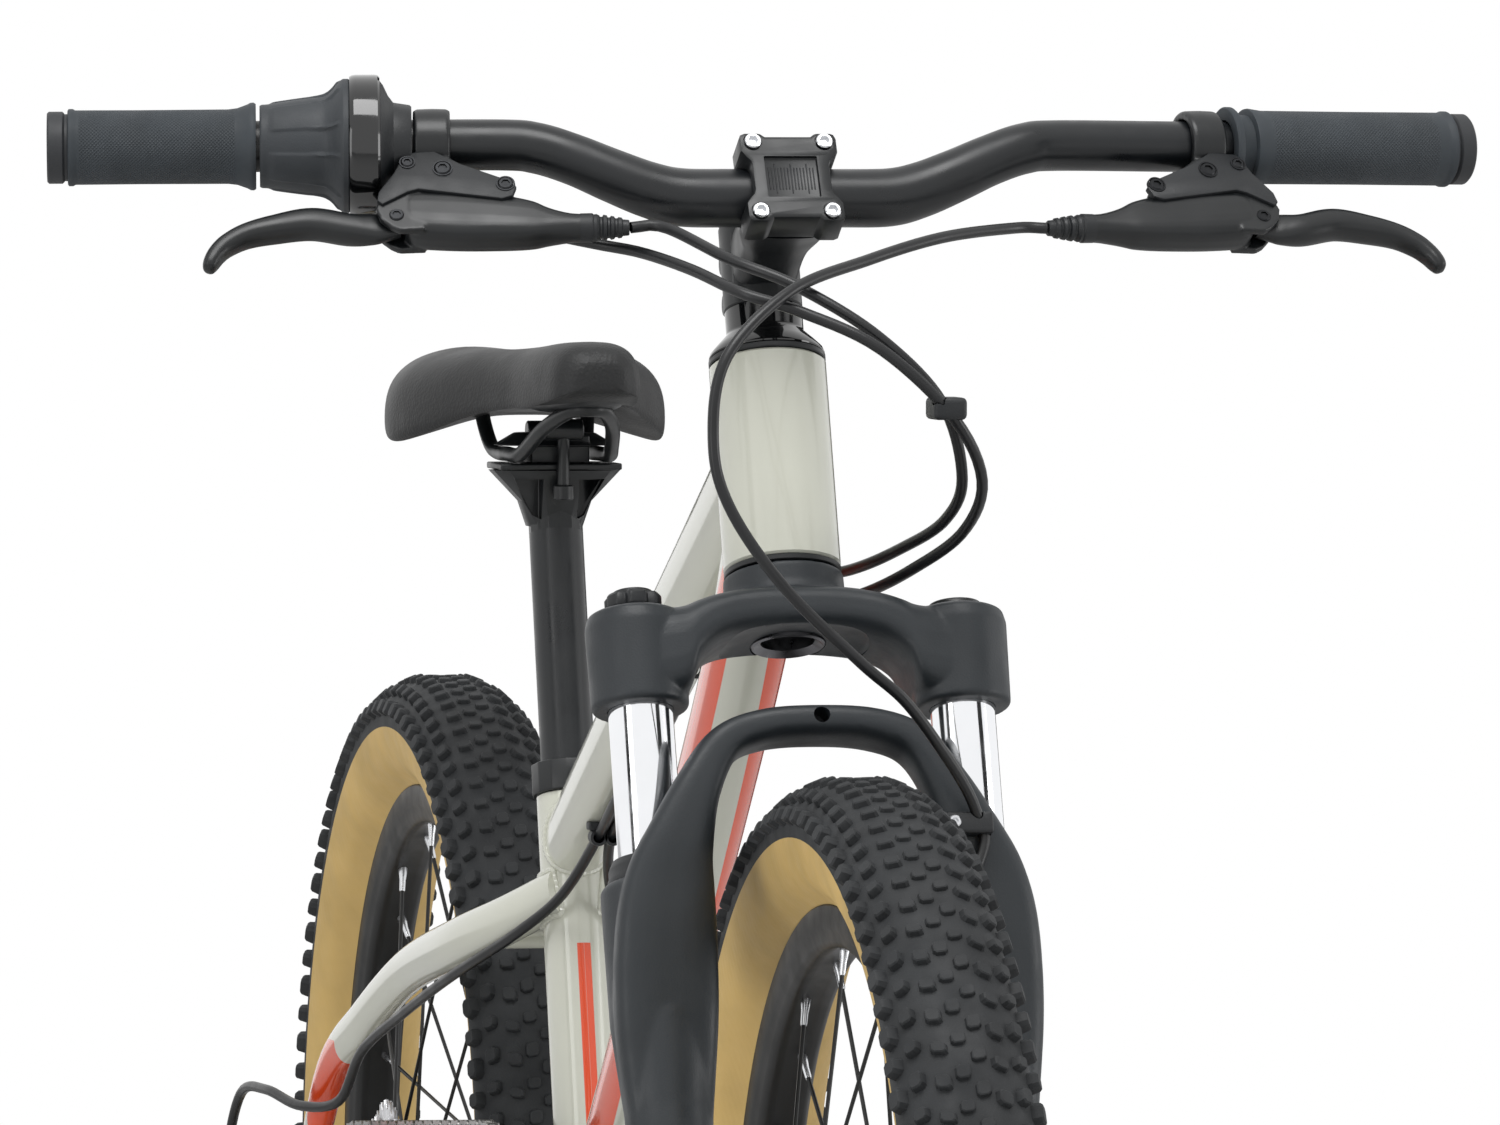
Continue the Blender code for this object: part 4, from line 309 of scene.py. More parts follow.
def sweep(name, points, radii, sides=12, cyclic=False):
    """A round tube along points with one radius or one for each, its frames carried without twist."""
    points = [Vector(point) for point in points]
    if not hasattr(radii, "__len__"):
        radii = [radii] * len(points)
    line = [points[-1], *points, points[0]] if cyclic else [points[0], *points, points[-1]]
    normal = (line[2] - line[0]).normalized().orthogonal()
    rings = []
    for before, point, after, radius in zip(line, points, line[2:], radii):
        ahead = (after - before).normalized()
        normal = (normal - ahead * normal.dot(ahead)).normalized()
        rings.append(ellipse(point, normal, ahead.cross(normal), radius, radius, sides))
    return loft(name, rings, cyclic=cyclic)


def between(start, end):
    """A frame at the start with its Z towards the end."""
    start, end = Vector(start), Vector(end)
    turn = vec(0, 0, 1).rotation_difference(end - start).to_matrix().to_4x4()
    return Matrix.Translation(start) @ turn


def rod(name, radius, start, end, steps=32, edge=0.0004):
    """A round bar with small chamfers."""
    length = (Vector(end) - Vector(start)).length
    profile = [(radius - edge, 0.0), (radius, edge), (radius, length - edge), (radius - edge, length)]
    return lathe(name, profile, between(start, end), steps)


def bore(radius, start, end, steps=48):
    return rod("bore", radius, start, end, steps, 0.0)


def flat(name, outlines, thickness, matrix=None, edge=0.0003):
    """Filled outlines with their holes, extruded along Z, with rounded edges."""
    curve = bpy.data.curves.new(name, "CURVE")
    curve.dimensions = "2D"
    curve.fill_mode = "BOTH"
    curve.extrude = thickness / 2 - edge
    curve.bevel_depth = edge
    curve.bevel_resolution = 1
    curve.offset = -edge
    for outline in outlines:
        spline = curve.splines.new("POLY")
        spline.points.add(len(outline) - 1)
        spline.use_cyclic_u = True
        for point, (x, y) in zip(spline.points, outline):
            point.co = (x, y, 0.0, 1.0)
    obj = realised(linked(name, curve, matrix))
    bm = bmesh.new()
    bm.from_mesh(obj.data)
    bmesh.ops.remove_doubles(bm, verts=bm.verts, dist=1e-6)
    bmesh.ops.recalc_face_normals(bm, faces=bm.faces)
    bm.to_mesh(obj.data)
    bm.free()
    return obj


def arc(radius, start, end, count, centre=(0.0, 0.0)):
    """Points on an arc between two angles in degrees."""
    found = []
    for i in range(count):
        x, y = polar(radius, radians(start + (end - start) * i / (count - 1)))
        found.append((centre[0] + x, centre[1] + y))
    return found


def circle(radius, count=24, centre=(0.0, 0.0)):
    return arc(radius, 0.0, 360.0 * (count - 1) / count, count, centre)


def box(name, size, centre, turn=Matrix.Identity(4), edge=0.001, segments=3):
    bm = bmesh.new()
    bmesh.ops.create_cube(bm, size=1.0)
    bmesh.ops.scale(bm, vec=size, verts=bm.verts)
    return bevelled(from_bmesh(name, bm, Matrix.Translation(centre) @ turn), edge, segments, 30.0)


def socket_bolt(matrix, radius, height, across_flat=None):
    """A cap screw: chamfered round head with a hexagonal socket, its seat at local Z 0."""
    across_flat = across_flat or radius * 0.5
    chamfer = radius * 0.16
    sunk, socket_floor = -0.0015, height * 0.3
    head = [(radius, sunk), (radius, height - chamfer), (radius - chamfer, height), (radius * 0.76, height)]
    angles = [TAU * i / 24 for i in range(24)]
    rings = [[vec(*polar(r, a), z) for a in angles] for r, z in head]
    for z in (height, socket_floor):
        rings.append([vec(*polar(across_flat / cos(a % (pi / 3) - pi / 6), a), z) for a in angles])
    return loft("bolt", rings, matrix)


def copy_of(node, name):
    """A new object with a CAD node's mesh, its flat triangles merged into faces."""
    bm = bmesh.new()
    bm.from_mesh(NODES[node].data)
    bmesh.ops.remove_doubles(bm, verts=bm.verts, dist=2e-6)
    bmesh.ops.dissolve_limit(bm, angle_limit=radians(1.0), verts=bm.verts, edges=bm.edges)
    return from_bmesh(name, bm)


# Finishes

BAKED = []


def linear(r, g, b):
    """A colour of 0 to 255 as the renderer's linear values."""
    shares = [value / 255.0 for value in (r, g, b)]
    return (*(s / 12.92 if s <= 0.04045 else ((s + 0.055) / 1.055) ** 2.4 for s in shares), 1.0)


def scaled(colour, factor):
    return (*(min(channel * factor, 1.0) for channel in colour[:3]), 1.0)


def add_node(tree, kind, plugs=(), **settings):
    """A node with its settings, and its inputs linked or set from (socket, value) pairs."""
    made = tree.nodes.new("ShaderNode" + kind)
    for key, value in settings.items():
        setattr(made, key, value)
    for socket, value in plugs:
        plug(tree, made.inputs[socket], value)
    return made


def plug(tree, socket, value):
    if isinstance(value, bpy.types.NodeSocket):
        tree.links.new(value, socket)
    else:
        socket.default_value = value


class Finish:
    """A Principled material with colour, roughness and bump drawn from noise in object space."""

    def __init__(self, name, slot, colour, roughness, metallic=0.0, coat=0.0):
        self.material = bpy.data.materials.new(name)
        self.material.use_nodes = True
        self.tree = self.material.node_tree
        self.shader = self.tree.nodes["Principled BSDF"]
        self.set("Metallic", metallic)
        self.set("Coat Weight", coat)
        self.set("Coat Roughness", 0.06)
        self.roughness = roughness
        self.place = self.node("TexCoord").outputs["Object"]
        self.colour = self.fixed(colour)
        self.height = None

    def set(self, socket, value):
        plug(self.tree, self.shader.inputs[socket], value)

    def node(self, kind, plugs=(), **settings):
        return add_node(self.tree, kind, plugs, **settings)

    def fixed(self, colour):
        made = self.node("RGB")
        made.outputs[0].default_value = colour
        return made.outputs[0]

    def math(self, operation, a, b=0.0):
        return self.node("Math", ((0, a), (1, b)), operation=operation).outputs[0]

    def times(self, *values):
        return reduce(lambda a, b: self.math("MULTIPLY", a, b), values)

    def plus(self, *values):
        return reduce(lambda a, b: self.math("ADD", a, b), values)

    def noise(self, scale, detail=3.0):
        plugs = (("Scale", scale), ("Detail", detail), ("Vector", self.place))
        return self.node("TexNoise", plugs).outputs["Fac"]

    def spots(self, scale):
        return self.node("TexVoronoi", (("Scale", scale), ("Vector", self.place))).outputs["Distance"]

    def ramp(self, value, low, high, start=0.0, end=1.0):
        names = ("Value", "From Min", "From Max", "To Min", "To Max")
        return self.node("MapRange", zip(names, (value, low, high, start, end))).outputs["Result"]

    def split(self):
        return self.node("SeparateXYZ", ((0, self.place),)).outputs

    def polar(self):
        """Radius and angle round local Z."""
        x, y, _ = self.split()
        radius = self.math("SQRT", self.plus(self.times(x, x), self.times(y, y)))
        return radius, self.math("ARCTAN2", y, x)

    def along(self, origin, direction):
        """The position along a direction, in metres from the origin."""
        parts = [self.times(value, share) for value, share in zip(self.split(), direction)]
        return self.math("SUBTRACT", self.plus(*parts), origin.dot(direction))

    def inside(self, value, low, high, soft=0.00015):
        """1 where the value is between two limits, with a sharp but not jagged edge."""
        rising = self.ramp(value, low - soft, low + soft)
        return self.times(rising, self.ramp(value, high - soft, high + soft, 1.0, 0.0))

    def blend(self, factor, second, first=None):
        """The finish's colour mixed with a second one where factor is 1."""
        plugs = (("Factor", factor), (6, first or self.colour), (7, second))
        self.colour = self.node("Mix", plugs, data_type="RGBA").outputs[2]

    def tint(self, scale, dark, light, base):
        """Slow variation between a darker and a lighter version of the base colour."""
        share = self.ramp(self.noise(scale), 0.3, 0.7)
        self.blend(share, scaled(base, light), self.fixed(scaled(base, dark)))

    def raise_by(self, value, amount):
        """Adds a height in metres, given by a value from 0 to 1."""
        part = self.times(value, amount)
        self.height = part if self.height is None else self.plus(self.height, part)

    def done(self, variation=0.08, scale=60.0):
        """Connects colour, uneven roughness and the summed height."""
        low, high = max(self.roughness - variation, 0.02), min(self.roughness + variation, 1.0)
        self.set("Base Color", self.colour)
        self.set("Roughness", self.ramp(self.noise(scale, 4.0), 0.3, 0.7, low, high))
        bump = self.node("Bump", (("Strength", 1.0), ("Distance", 1.0), ("Height", self.height)))
        self.set("Normal", bump.outputs[0])
        return self.material


def plain(
    name, slot, colour, roughness, grain, tint=(0.85, 1.15), spots=None, metallic=0.0, coat=0.0, baked=True
):
    """A finish of fine grain and slow tint; baked pieces carry it in the bike's own space."""
    made = Finish(name, slot, colour, roughness, metallic, coat)
    made.tint(35.0, *tint, colour)
    made.raise_by(made.noise(grain[0], 2.0), grain[1])
    if spots is not None:
        made.raise_by(made.spots(spots[0]), spots[1])
    if baked:
        BAKED.append(made.material)
    return made.done()


ORANGE = linear(238, 80, 34)
PUTTY = linear(212, 213, 199)
DOWN_START = STEERING @ vec(0, 0, 0.402)
DOWN_LINE = (CRANK_CENTRE - DOWN_START).normalized()
DOWN_LENGTH = (CRANK_CENTRE - DOWN_START).length
DOWN_FRONT = vec(0, DOWN_LINE.z, -DOWN_LINE.y).normalized()


def striped_paint():
    """Gloss putty with faint orange peel and plain stripes: down tube edges, seat tube line, stay tips."""
    made = Finish("gloss_putty", "frame_paint", PUTTY, 0.22, coat=0.8)
    made.tint(14.0, 0.97, 1.03, PUTTY)
    x, y, z = made.split()
    side = made.math("ABSOLUTE", x)
    run, reach = made.along(DOWN_START, DOWN_LINE), made.along(DOWN_START, DOWN_FRONT)
    tube = made.times(made.inside(run, 0.02, DOWN_LENGTH - 0.06), made.inside(reach, -0.007, 0.05))
    slanted = made.math("SUBTRACT", x, made.times(run, 0.01))
    seating = SEATING.to_3x3()
    height, depth = (made.along(CRANK_CENTRE, seating @ Vector(axis)) for axis in (Z, Y))
    stripes = (
        ((tube,), (x, -0.05, -0.0128)),
        ((tube,), (slanted, 0.0034, 0.05)),
        ((), (height, 0.04, 0.15), (depth, -0.05, -0.0085), (side, 0.0, 0.0032)),
        ((), (y, 0.405, 0.452), (z, 0.29, 0.352), (side, 0.05, 0.09)),
    )
    for masks, *zones in stripes:
        made.blend(made.times(*masks, *(made.inside(*zone) for zone in zones)), ORANGE)
    made.raise_by(made.noise(260.0, 1.0), 0.000015)
    made.raise_by(made.noise(2200.0, 1.0), 0.000002)
    return made.done(0.04, 30.0)


def knurled(name, colour, low, high):
    """Rubber with a diamond knurl round local Z between two heights."""
    pitches, pitch = 64, 0.0016
    made = Finish(name, "grip", colour, 0.66)
    made.tint(50.0, 0.85, 1.2, colour)
    z = made.split()[2]
    turn, rise = made.times(made.polar()[1], pitches / TAU), made.math("DIVIDE", z, pitch)
    waves = [made.math("PINGPONG", made.math(sign, turn, rise), 0.5) for sign in ("ADD", "SUBTRACT")]
    bumps = made.times(*(made.times(wave, 2.0) for wave in waves))
    made.raise_by(made.times(bumps, made.inside(z, low, high, 0.0005)), 0.00035)
    made.raise_by(made.noise(1500.0, 2.0), 0.00003)
    return made.done(0.06, 90.0)


def tan_wall():
    """Gum sidewall with fine crossed threads."""
    colour = linear(218, 184, 114)
    made = Finish("gum_sidewall", "tyre", colour, 0.62)
    made.tint(22.0, 0.84, 1.1, colour)
    radius, angle = made.polar()
    turn, climb = made.times(angle, 420.0), made.times(radius, 1700.0)
    for sign in ("ADD", "SUBTRACT"):
        wave = made.math("SINE", made.math(sign, turn, climb))
        made.raise_by(made.ramp(wave, -1.0, 1.0), 0.00004)
    return made.done(0.08, 120.0)


def brushed(name, colour, roughness, baked=True):
    """Steel with fine turning marks round local Z."""
    made = Finish(name, "steel", colour, roughness, 1.0)
    made.tint(30.0, 0.85, 1.1, colour)
    wave = made.math("SINE", made.times(made.polar()[0], 9000.0))
    made.raise_by(made.ramp(wave, -1.0, 1.0), 0.000003)
    made.raise_by(made.noise(500.0, 3.0), 0.000012)
    if baked:
        BAKED.append(made.material)
    return made.done(0.1, 200.0)


def leather():
    """Saddle skin: pebbled grain of two sizes over fine creases, worn smoother in patches."""
    colour = linear(17, 18, 19)
    made = Finish("saddle_leather", "saddle_skin", colour, 0.52)
    made.tint(28.0, 0.75, 1.3, colour)
    made.raise_by(made.spots(620.0), 0.00016)
    made.raise_by(made.spots(1500.0), 0.00005)
    made.raise_by(made.noise(90.0, 4.0), 0.00015)
    return made.done(0.1, 24.0)


SATIN = plain("satin_anodised", "black_alloy", linear(14, 17, 19), 0.36, (1600.0, 0.000006))
SATIN_BAR = plain("satin_bar", "black_alloy", linear(15, 18, 21), 0.33, (1300.0, 0.000008))
CAST = plain(
    "cast_charcoal", "fork_casting", linear(33, 38, 42), 0.46, (1100.0, 0.00004), (0.94, 1.06),
    (900.0, 0.00003),
)
GLOSS = plain("gloss_black", "gloss_plastic", linear(9, 10, 11), 0.09, (300.0, 0.000003), coat=0.6)
MOULDED = plain(
    "moulded_black", "matte_plastic", linear(19, 22, 25), 0.48, (1000.0, 0.00004), spots=(1400.0, 0.00003)
)
SLEEVE = plain("sleeve_rubber", "grip", linear(47, 51, 55), 0.6, (900.0, 0.00005), spots=(1300.0, 0.00004))
COLLAR = plain("collar_rubber", "grip", linear(42, 44, 47), 0.58, (900.0, 0.00004))
HOSE = plain("hose_skin", "hose", linear(19, 20, 22), 0.36, (1400.0, 0.00001))
CHROME = plain(
    "polished_chrome", "chrome_tube", (0.9, 0.91, 0.93, 1.0), 0.06, (600.0, 0.0000008), (0.97, 1.03),
    metallic=1.0, baked=False,
)
SILVER = plain(
    "zinc_plated", "steel", (0.74, 0.75, 0.77, 1.0), 0.26, (1500.0, 0.00001), (0.85, 1.1), metallic=1.0
)
STEEL = brushed("brushed_steel", (0.56, 0.56, 0.58, 1.0), 0.3, baked=False)
DARK_STEEL = brushed("dark_steel", (0.16, 0.16, 0.17, 1.0), 0.36)
BLACK_STEEL = brushed("blackened_steel", (0.03, 0.031, 0.033, 1.0), 0.38)
CHAIN_STEEL = plain(
    "oiled_steel", "steel", (0.3, 0.29, 0.28, 1.0), 0.34, (900.0, 0.00002), (0.6, 1.3), metallic=1.0,
    baked=False,
)
TREAD = plain(
    "tread_rubber", "tyre", linear(35, 37, 39), 0.72, (900.0, 0.00006), (0.8, 1.25), (1200.0, 0.00005)
)
RIM_BLACK = plain("rim_black", "black_alloy", linear(6, 7, 7), 0.42, (1300.0, 0.00001), baked=False)
GUM = tan_wall()
LEATHER = leather()
PAINT = striped_paint()
GRIP_R = knurled("grip_knurl_right", linear(46, 52, 57), 0.009, 0.0765)
GRIP_L = knurled("grip_knurl_left", linear(49, 55, 60), 0.0185, 0.0975)
AMBER = plain(
    "reflector_amber", "matte_plastic", linear(215, 110, 20), 0.12, (500.0, 0.0002), spots=(700.0, 0.0004),
    coat=0.5, baked=False,
)


def finished(obj, body, materials, replaces=(), angle=38.0):
    """Smooth shading with sharp corners, a finish, the body that carries it and the node it stands for."""
    if not isinstance(materials, (list, tuple)):
        materials = [materials]
    if materials[0] in BAKED:
        placed(obj)
    indices = [face.material_index for face in obj.data.polygons]
    obj.data.materials.clear()
    for material in materials:
        obj.data.materials.append(material)
    obj.data.polygons.foreach_set("material_index", indices if len(materials) > 1 else [0] * len(indices))
    obj.data.shade_smooth()
    obj.data.set_sharp_from_angle(angle=radians(angle))
    if body:
        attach(obj, body)
    if replaces:
        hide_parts(replaces)
    return obj


def dressed(node, name, body, material, width=0.0006, segments=2, angle=30.0):
    """A CAD node's own shape with rounded edges and a finish."""
    return finished(bevelled(copy_of(node, name), width, segments, angle), body, material, node)


def spun(name, profile, matrix, body, material, replaces=(), steps=64, closed=False, angle=38.0):
    return finished(lathe(name, profile, matrix, steps, closed), body, material, replaces, angle)


# Wheels

# The tyre's half section, (radius, half width) from the rim's hook out to the middle of the tread.
SECTION = mm("205.5 9.8, 209.7 13.4, 220 23.8, 237 28.8, 248.9 25.8, 259.2 12.8, 260.4 0")
TAN_RADIUS, TAN_WIDTH = 0.2368, 0.0125
SPOKES_A_SIDE = 14


def head_point(height):
    return STEERING @ vec(0, 0, height)


def lean(points):
    return [STEERING @ Vector(point) for point in points]


def tyre_carcass(name, matrix, body, node):
    """The casing, tan on its walls and black under the tread."""
    half = curve_through(SECTION, 6)
    made = lathe(name, half + [(r, -x) for r, x in half[-2::-1]], matrix, 180, closed=True)
    for face in made.data.polygons:
        x, y, z = face.center
        face.material_index = int(hypot(x, y) < TAN_RADIUS and abs(z) > TAN_WIDTH)
    finished(made, body, [TREAD, GUM], node, 60.0)


def tread_place(share):
    """Radius, sideways place and outward normal of the casing, from 0 at its middle to 1 at its widest."""
    fine = curve_through(SECTION, 12)[::-1]
    k = share * max(range(len(fine)), key=lambda i: fine[i][1])
    i = min(int(k), len(fine) - 2)
    t = k - i
    (r0, x0), (r1, x1) = fine[i], fine[i + 1]
    return r0 + (r1 - r0) * t, x0 + (x1 - x0) * t, Vector((x1 - x0, -(r1 - r0))).normalized()


def tread_block(bm, angle, side, place, width, length, height, skew):
    """One rubber block on the casing: rounded corners, tapered upwards, a chamfer round its top."""
    radius, x, normal = place
    sunk = 0.0008
    up = vec(*polar(normal.x, angle), side * normal.y)
    ahead = vec(-sin(angle), cos(angle), 0)
    across = ahead.cross(up).normalized() * side
    base = vec(*polar(radius, angle), side * x) - up * sunk
    corners = ((-1, -0.6), (-0.6, -1), (0.6, -1), (1, -0.6), (1, 0.6), (0.6, 1), (-0.6, 1), (-1, 0.6))
    rows = []
    for rise, scale in ((0.0, 1.12), (sunk + height * 0.8, 0.96), (sunk + height, 0.8)):
        ring = []
        for i, j in corners:
            a, b = i * width / 2 * scale, (j * length / 2 + skew * i) * scale
            ring.append(bm.verts.new(base + up * rise + across * a + ahead * b))
        rows.append(ring)
    bm.faces.new(rows[0][::-1])
    bm.faces.new(rows[-1])
    for low, high in zip(rows, rows[1:]):
        quads(bm, low, high)


def tread(name, matrix, body):
    """Staggered columns of blocks, from a pair beside the middle out to thin ones on the side."""
    pitches = 100
    # Share of the way out, then width, length, height and skew in metres, and share of a pitch ahead.
    columns = (
        (0.105, 0.0062, 0.006, 0.002, 0.0005, 0.0),
        (0.335, 0.0066, 0.0058, 0.0026, -0.0007, 0.27),
        (0.56, 0.0062, 0.0066, 0.0035, 0.0004, 0.04),
        (0.8, 0.0074, 0.0082, 0.0042, 0.0, 0.31),
    )
    places = [tread_place(column[0]) for column in columns]
    bm = bmesh.new()
    for k in range(pitches):
        change = 1.14 if k % 2 else 0.9
        for side in (-1, 1):
            for place, (_, width, length, height, skew, phase) in zip(places, columns):
                angle = (k + phase + (0.5 if side > 0 else 0.0)) * (TAU / pitches)
                tread_block(bm, angle, side, place, width, length * change, height, skew * side)
    finished(from_bmesh(name, bm, matrix), body, TREAD, angle=30.0)


def rim(name, matrix, body, node):
    """A hooked box rim with a soft inner channel."""
    half = mm("""
        -5.5 10.2, -2 10.8, -.4 12.1, 0 12.8, -.6 13.2, -10 12.6, -11.2 11.8, -15 11, -17.5 9.6,
        -18.5 7.8, -18.2 4""")
    half = [(RIM_EDGE + r, x) for r, x in half]
    section = half + [(r, -x) for r, x in half[::-1]]
    spun(name, section, matrix, body, RIM_BLACK, node, 180, True, 35.0)


def spoke_ends(flange_x, flange_radius, side):
    """Where each spoke starts at the flange and ends at the rim, laced over two others."""
    rim_radius, flare, rim_x = RIM_EDGE - 0.0185 - 0.0012, 0.0018, 0.003
    found = []
    for i in range(SPOKES_A_SIDE):
        lead = 1 if i % 2 else -1
        hub_angle = TAU * (i + (0.25 if side > 0 else 0.75)) / SPOKES_A_SIDE
        rim_angle = hub_angle + lead * TAU * 2 / SPOKES_A_SIDE
        start = vec(*polar(flange_radius, hub_angle), flange_x + side * lead * flare)
        found.append((start, vec(*polar(rim_radius, rim_angle), side * rim_x)))
    return found


def spoked(name, matrix, body, node, profile, flanges, flange_radius):
    """Hub shell, elbowed spokes, and plated nipples at the rim."""
    spun(f"{name}_hub_shell", profile, matrix, body, SATIN, node, 64, True, 30.0)
    elbow_length, wire_radii = 0.003, (0.0014, 0.001, 0.001, 0.001, 0.0009, 0.001)
    nipple = mm("0 0, 1.3 0, 1.5 1, 1.6 6, 2.2 10, 2.3 12.5, 0 12.5")
    wires, nipples = [], []
    for side, flange_x in flanges:
        for start, end in spoke_ends(flange_x, flange_radius, side):
            out = vec(0, 0, copysign(elbow_length, start.z - flange_x))
            ahead = (end - start).normalized()
            points = [start - out, start - out * 0.4, start, start + ahead * elbow_length]
            wires.append(sweep("spoke", points + [start.lerp(end, 0.5), end], wire_radii, 8))
            nipples.append(lathe("nipple", nipple, between(end - ahead * 0.0105, end), 12))
    for piece in wires + nipples:
        piece.matrix_world = matrix @ piece.matrix_world
    finished(joined(f"{name}_spokes", wires), body, RIM_BLACK)
    finished(joined(f"{name}_nipples", nipples), body, SILVER)


def valve(name, matrix, body):
    """A car-type valve through the rim, between two pairs of spokes."""
    place = matrix @ turned(pi / (2 * SPOKES_A_SIDE), "Z") @ moved(RIM_EDGE - 0.017, 0, 0)
    inward = place @ turned(-pi / 2, "Y")
    stem, cap = mm("0 0, 4.6 0, 4.3 4, 3.8 6, 3.7 18, 0 18"), mm("0 18, 4.6 18, 4.6 23, 3.4 29, 2.4 30, 0 30")
    spun(f"{name}_valve_stem", stem, inward, body, MOULDED, steps=24)
    spun(f"{name}_valve_cap", cap, inward, body, GLOSS, steps=18)


def disc(name, matrix, body, node, x):
    """A brake disc: scalloped and drilled band, swept arms, and a six-bolt centre."""
    edge = [polar(0.0797 + 0.0003 * cos(TAU * i / 180 * 12), TAU * i / 180) for i in range(180)]
    outlines = [edge, circle(0.0185, 36)]
    for start in range(0, 360, 72):
        window = arc(0.0655, start + 1.0, start + 49.0, 12) + [polar(0.048, radians(start + 59))]
        window += arc(0.029, start + 62.0, start + 32.0, 6) + [polar(0.048, radians(start + 13))]
        outlines.append(window)
    for i in range(30):
        for radius, turn in ((0.0762, 0.0), (0.0725, 0.07), (0.069, 0.14)):
            outlines.append(circle(0.0014, 10, polar(radius, TAU * i / 30 + turn)))
    finished(flat(name, outlines, 0.0018, matrix @ moved(0, 0, x), 0.0002), body, STEEL, node)
    spots = [moved(*polar(0.022, TAU * (i + 0.25) / 6), x + 0.0009) for i in range(6)]
    heads = [socket_bolt(matrix @ spot, 0.0034, 0.0018) for spot in spots]
    finished(joined(f"{name}_bolts", heads), body, SILVER)


FRONT_HUB = mm("""
    5.2 -44, 11.2 -44, 12 -43.2, 13 -34.5, 20.8 -33.8, 21.5 -33, 21.5 -31, 20.8 -30.3, 15 -29, 12.5 -24,
    12 -6, 12.5 11, 15 16.5, 26.2 18.7, 27 19.4, 27 21.4, 26.2 22.1, 18 23.5, 17 25, 17 38.3, 5.2 38.3""")
REAR_HUB = mm("""
    5.2 -25, 19.5 -25, 20 -24.5, 27.2 -22.2, 28 -21.4, 28 -19.6, 27.2 -18.8, 19 -17, 16.5 -12, 16 15,
    18 26, 26.2 28.7, 27 29.4, 27 31.4, 26.2 32.1, 18 33.5, 17 35, 17 50.8, 5.2 50.8""")

for name, axle, hub, flanges, flange_radius, rotor_x in (
    ("front", FRONT_AXLE, FRONT_HUB, ((-1, -0.032), (1, 0.0205)), 0.02, 0.0395),
    ("rear", REAR_AXLE, REAR_HUB, ((-1, -0.0205), (1, 0.0305)), 0.025, 0.052),
):
    matrix, body = Matrix.Translation(axle) @ ALONG_X, f"{name}_wheel"
    tyre_carcass(f"{name}_casing", matrix, body, f"{name}_tyre")
    tread(f"{name}_tread_blocks", matrix, body)
    rim(f"{name}_rim_shell", matrix, body, f"{name}_rim")
    spoked(name, matrix, body, f"{name}_hub", hub, flanges, flange_radius)
    valve(name, matrix, body)
    disc(f"{name}_disc", matrix, body, f"{name}_rotor", rotor_x)
dressed("front_axle", "front_axle_nuts", "fork_lowers", SILVER, 0.0004)
dressed("rear_axle", "rear_axle_nuts", "frame", SILVER, 0.0004)


# Frame

SEAT_STAY = mm("8 142 440, 28 174 424.5, 42 223 410.8, 49.5 310 392, 58 380 363, 64 436.6 334.4, 70 474 276")
SEAT_STAY_SIZES = mm("8.5 12, 8.5 12, 8.5 12, 8 11.5, 8 11.5, 7.8 10.5, 6 8")
CHAIN_STAY = mm("20 106 266, 37 170 263, 47 235 261, 54 330 259, 69 462 260")
CHAIN_STAY_SIZES = mm("9 13.5, 6.6 13.2, 8 11.5, 8 10.5, 5.5 8.5")
TOP_START, TOP_END = head_point(0.44), vec(0, 0.159, 0.459)
BOSS_SHARES, BOSS_OUT = (0.4, 0.52), vec(0, 0.66, 0.75).normalized()
BRAKE_POST_Y = (0.411, 0.435)
AXLE_SLOT = 0.0054
OTHER = 9  # The face mark of frame parts that have no weld bead.


def seat_point(height):
    return SEATING @ vec(0, 0, height)


def main_tubes():
    head = [(0.0246, HEAD_BOTTOM), (HEAD_RADIUS, HEAD_BOTTOM + 0.001), (HEAD_RADIUS, HEAD_TOP - 0.001)]
    top = [TOP_START.lerp(TOP_END, share) for share in (0.0, 0.15, 0.6, 1.0)]
    down = [head_point(0.419)] + [DOWN_START.lerp(CRANK_CENTRE, share) for share in (0.2, 0.6, 1.0)]
    half = vec(0.034, 0, 0)
    return [
        lathe("frame_tubes", head + [(0.0246, HEAD_TOP)], STEERING, 72),
        oval_sweep("down", down, mm("19 19, 16.8 22.8, 16.8 23.5, 19.5 19.5"), 40, 0.88, steps=16),
        oval_sweep("top", top, mm("19 23.5, 17.2 21.2, 16 18.8, 14 18"), 40, 0.88, steps=16),
        rod("seat", 0.0156, seat_point(0.0), seat_point(0.2235), 56),
        rod("shell", 0.0205, CRANK_CENTRE - half, CRANK_CENTRE + half, 64),
    ]


def dropout(side):
    y, z = REAR_AXLE.y, REAR_AXLE.z
    slot = arc(AXLE_SLOT, 180.0, 0.0, 12)
    outline = mm("-5.4 -14") + slot + mm("""
        5.4 -14, 13 -16, 16 -4, 15.5 6, 12 16, 4 26, -6 24, -12 10, -28 6, -30 -8, -14 -16""")
    return flat("dropout", [[(y + a, z + b) for a, b in outline]], 0.006, facing_x(side * 0.0705), 0.0006)


def marked(obj, mark):
    """The placed object with a material number on its faces, which tells its shell after a union."""
    placed(obj)
    for _ in range(10):
        obj.data.materials.append(None)
    for face in obj.data.polygons:
        face.material_index = mark
    return obj


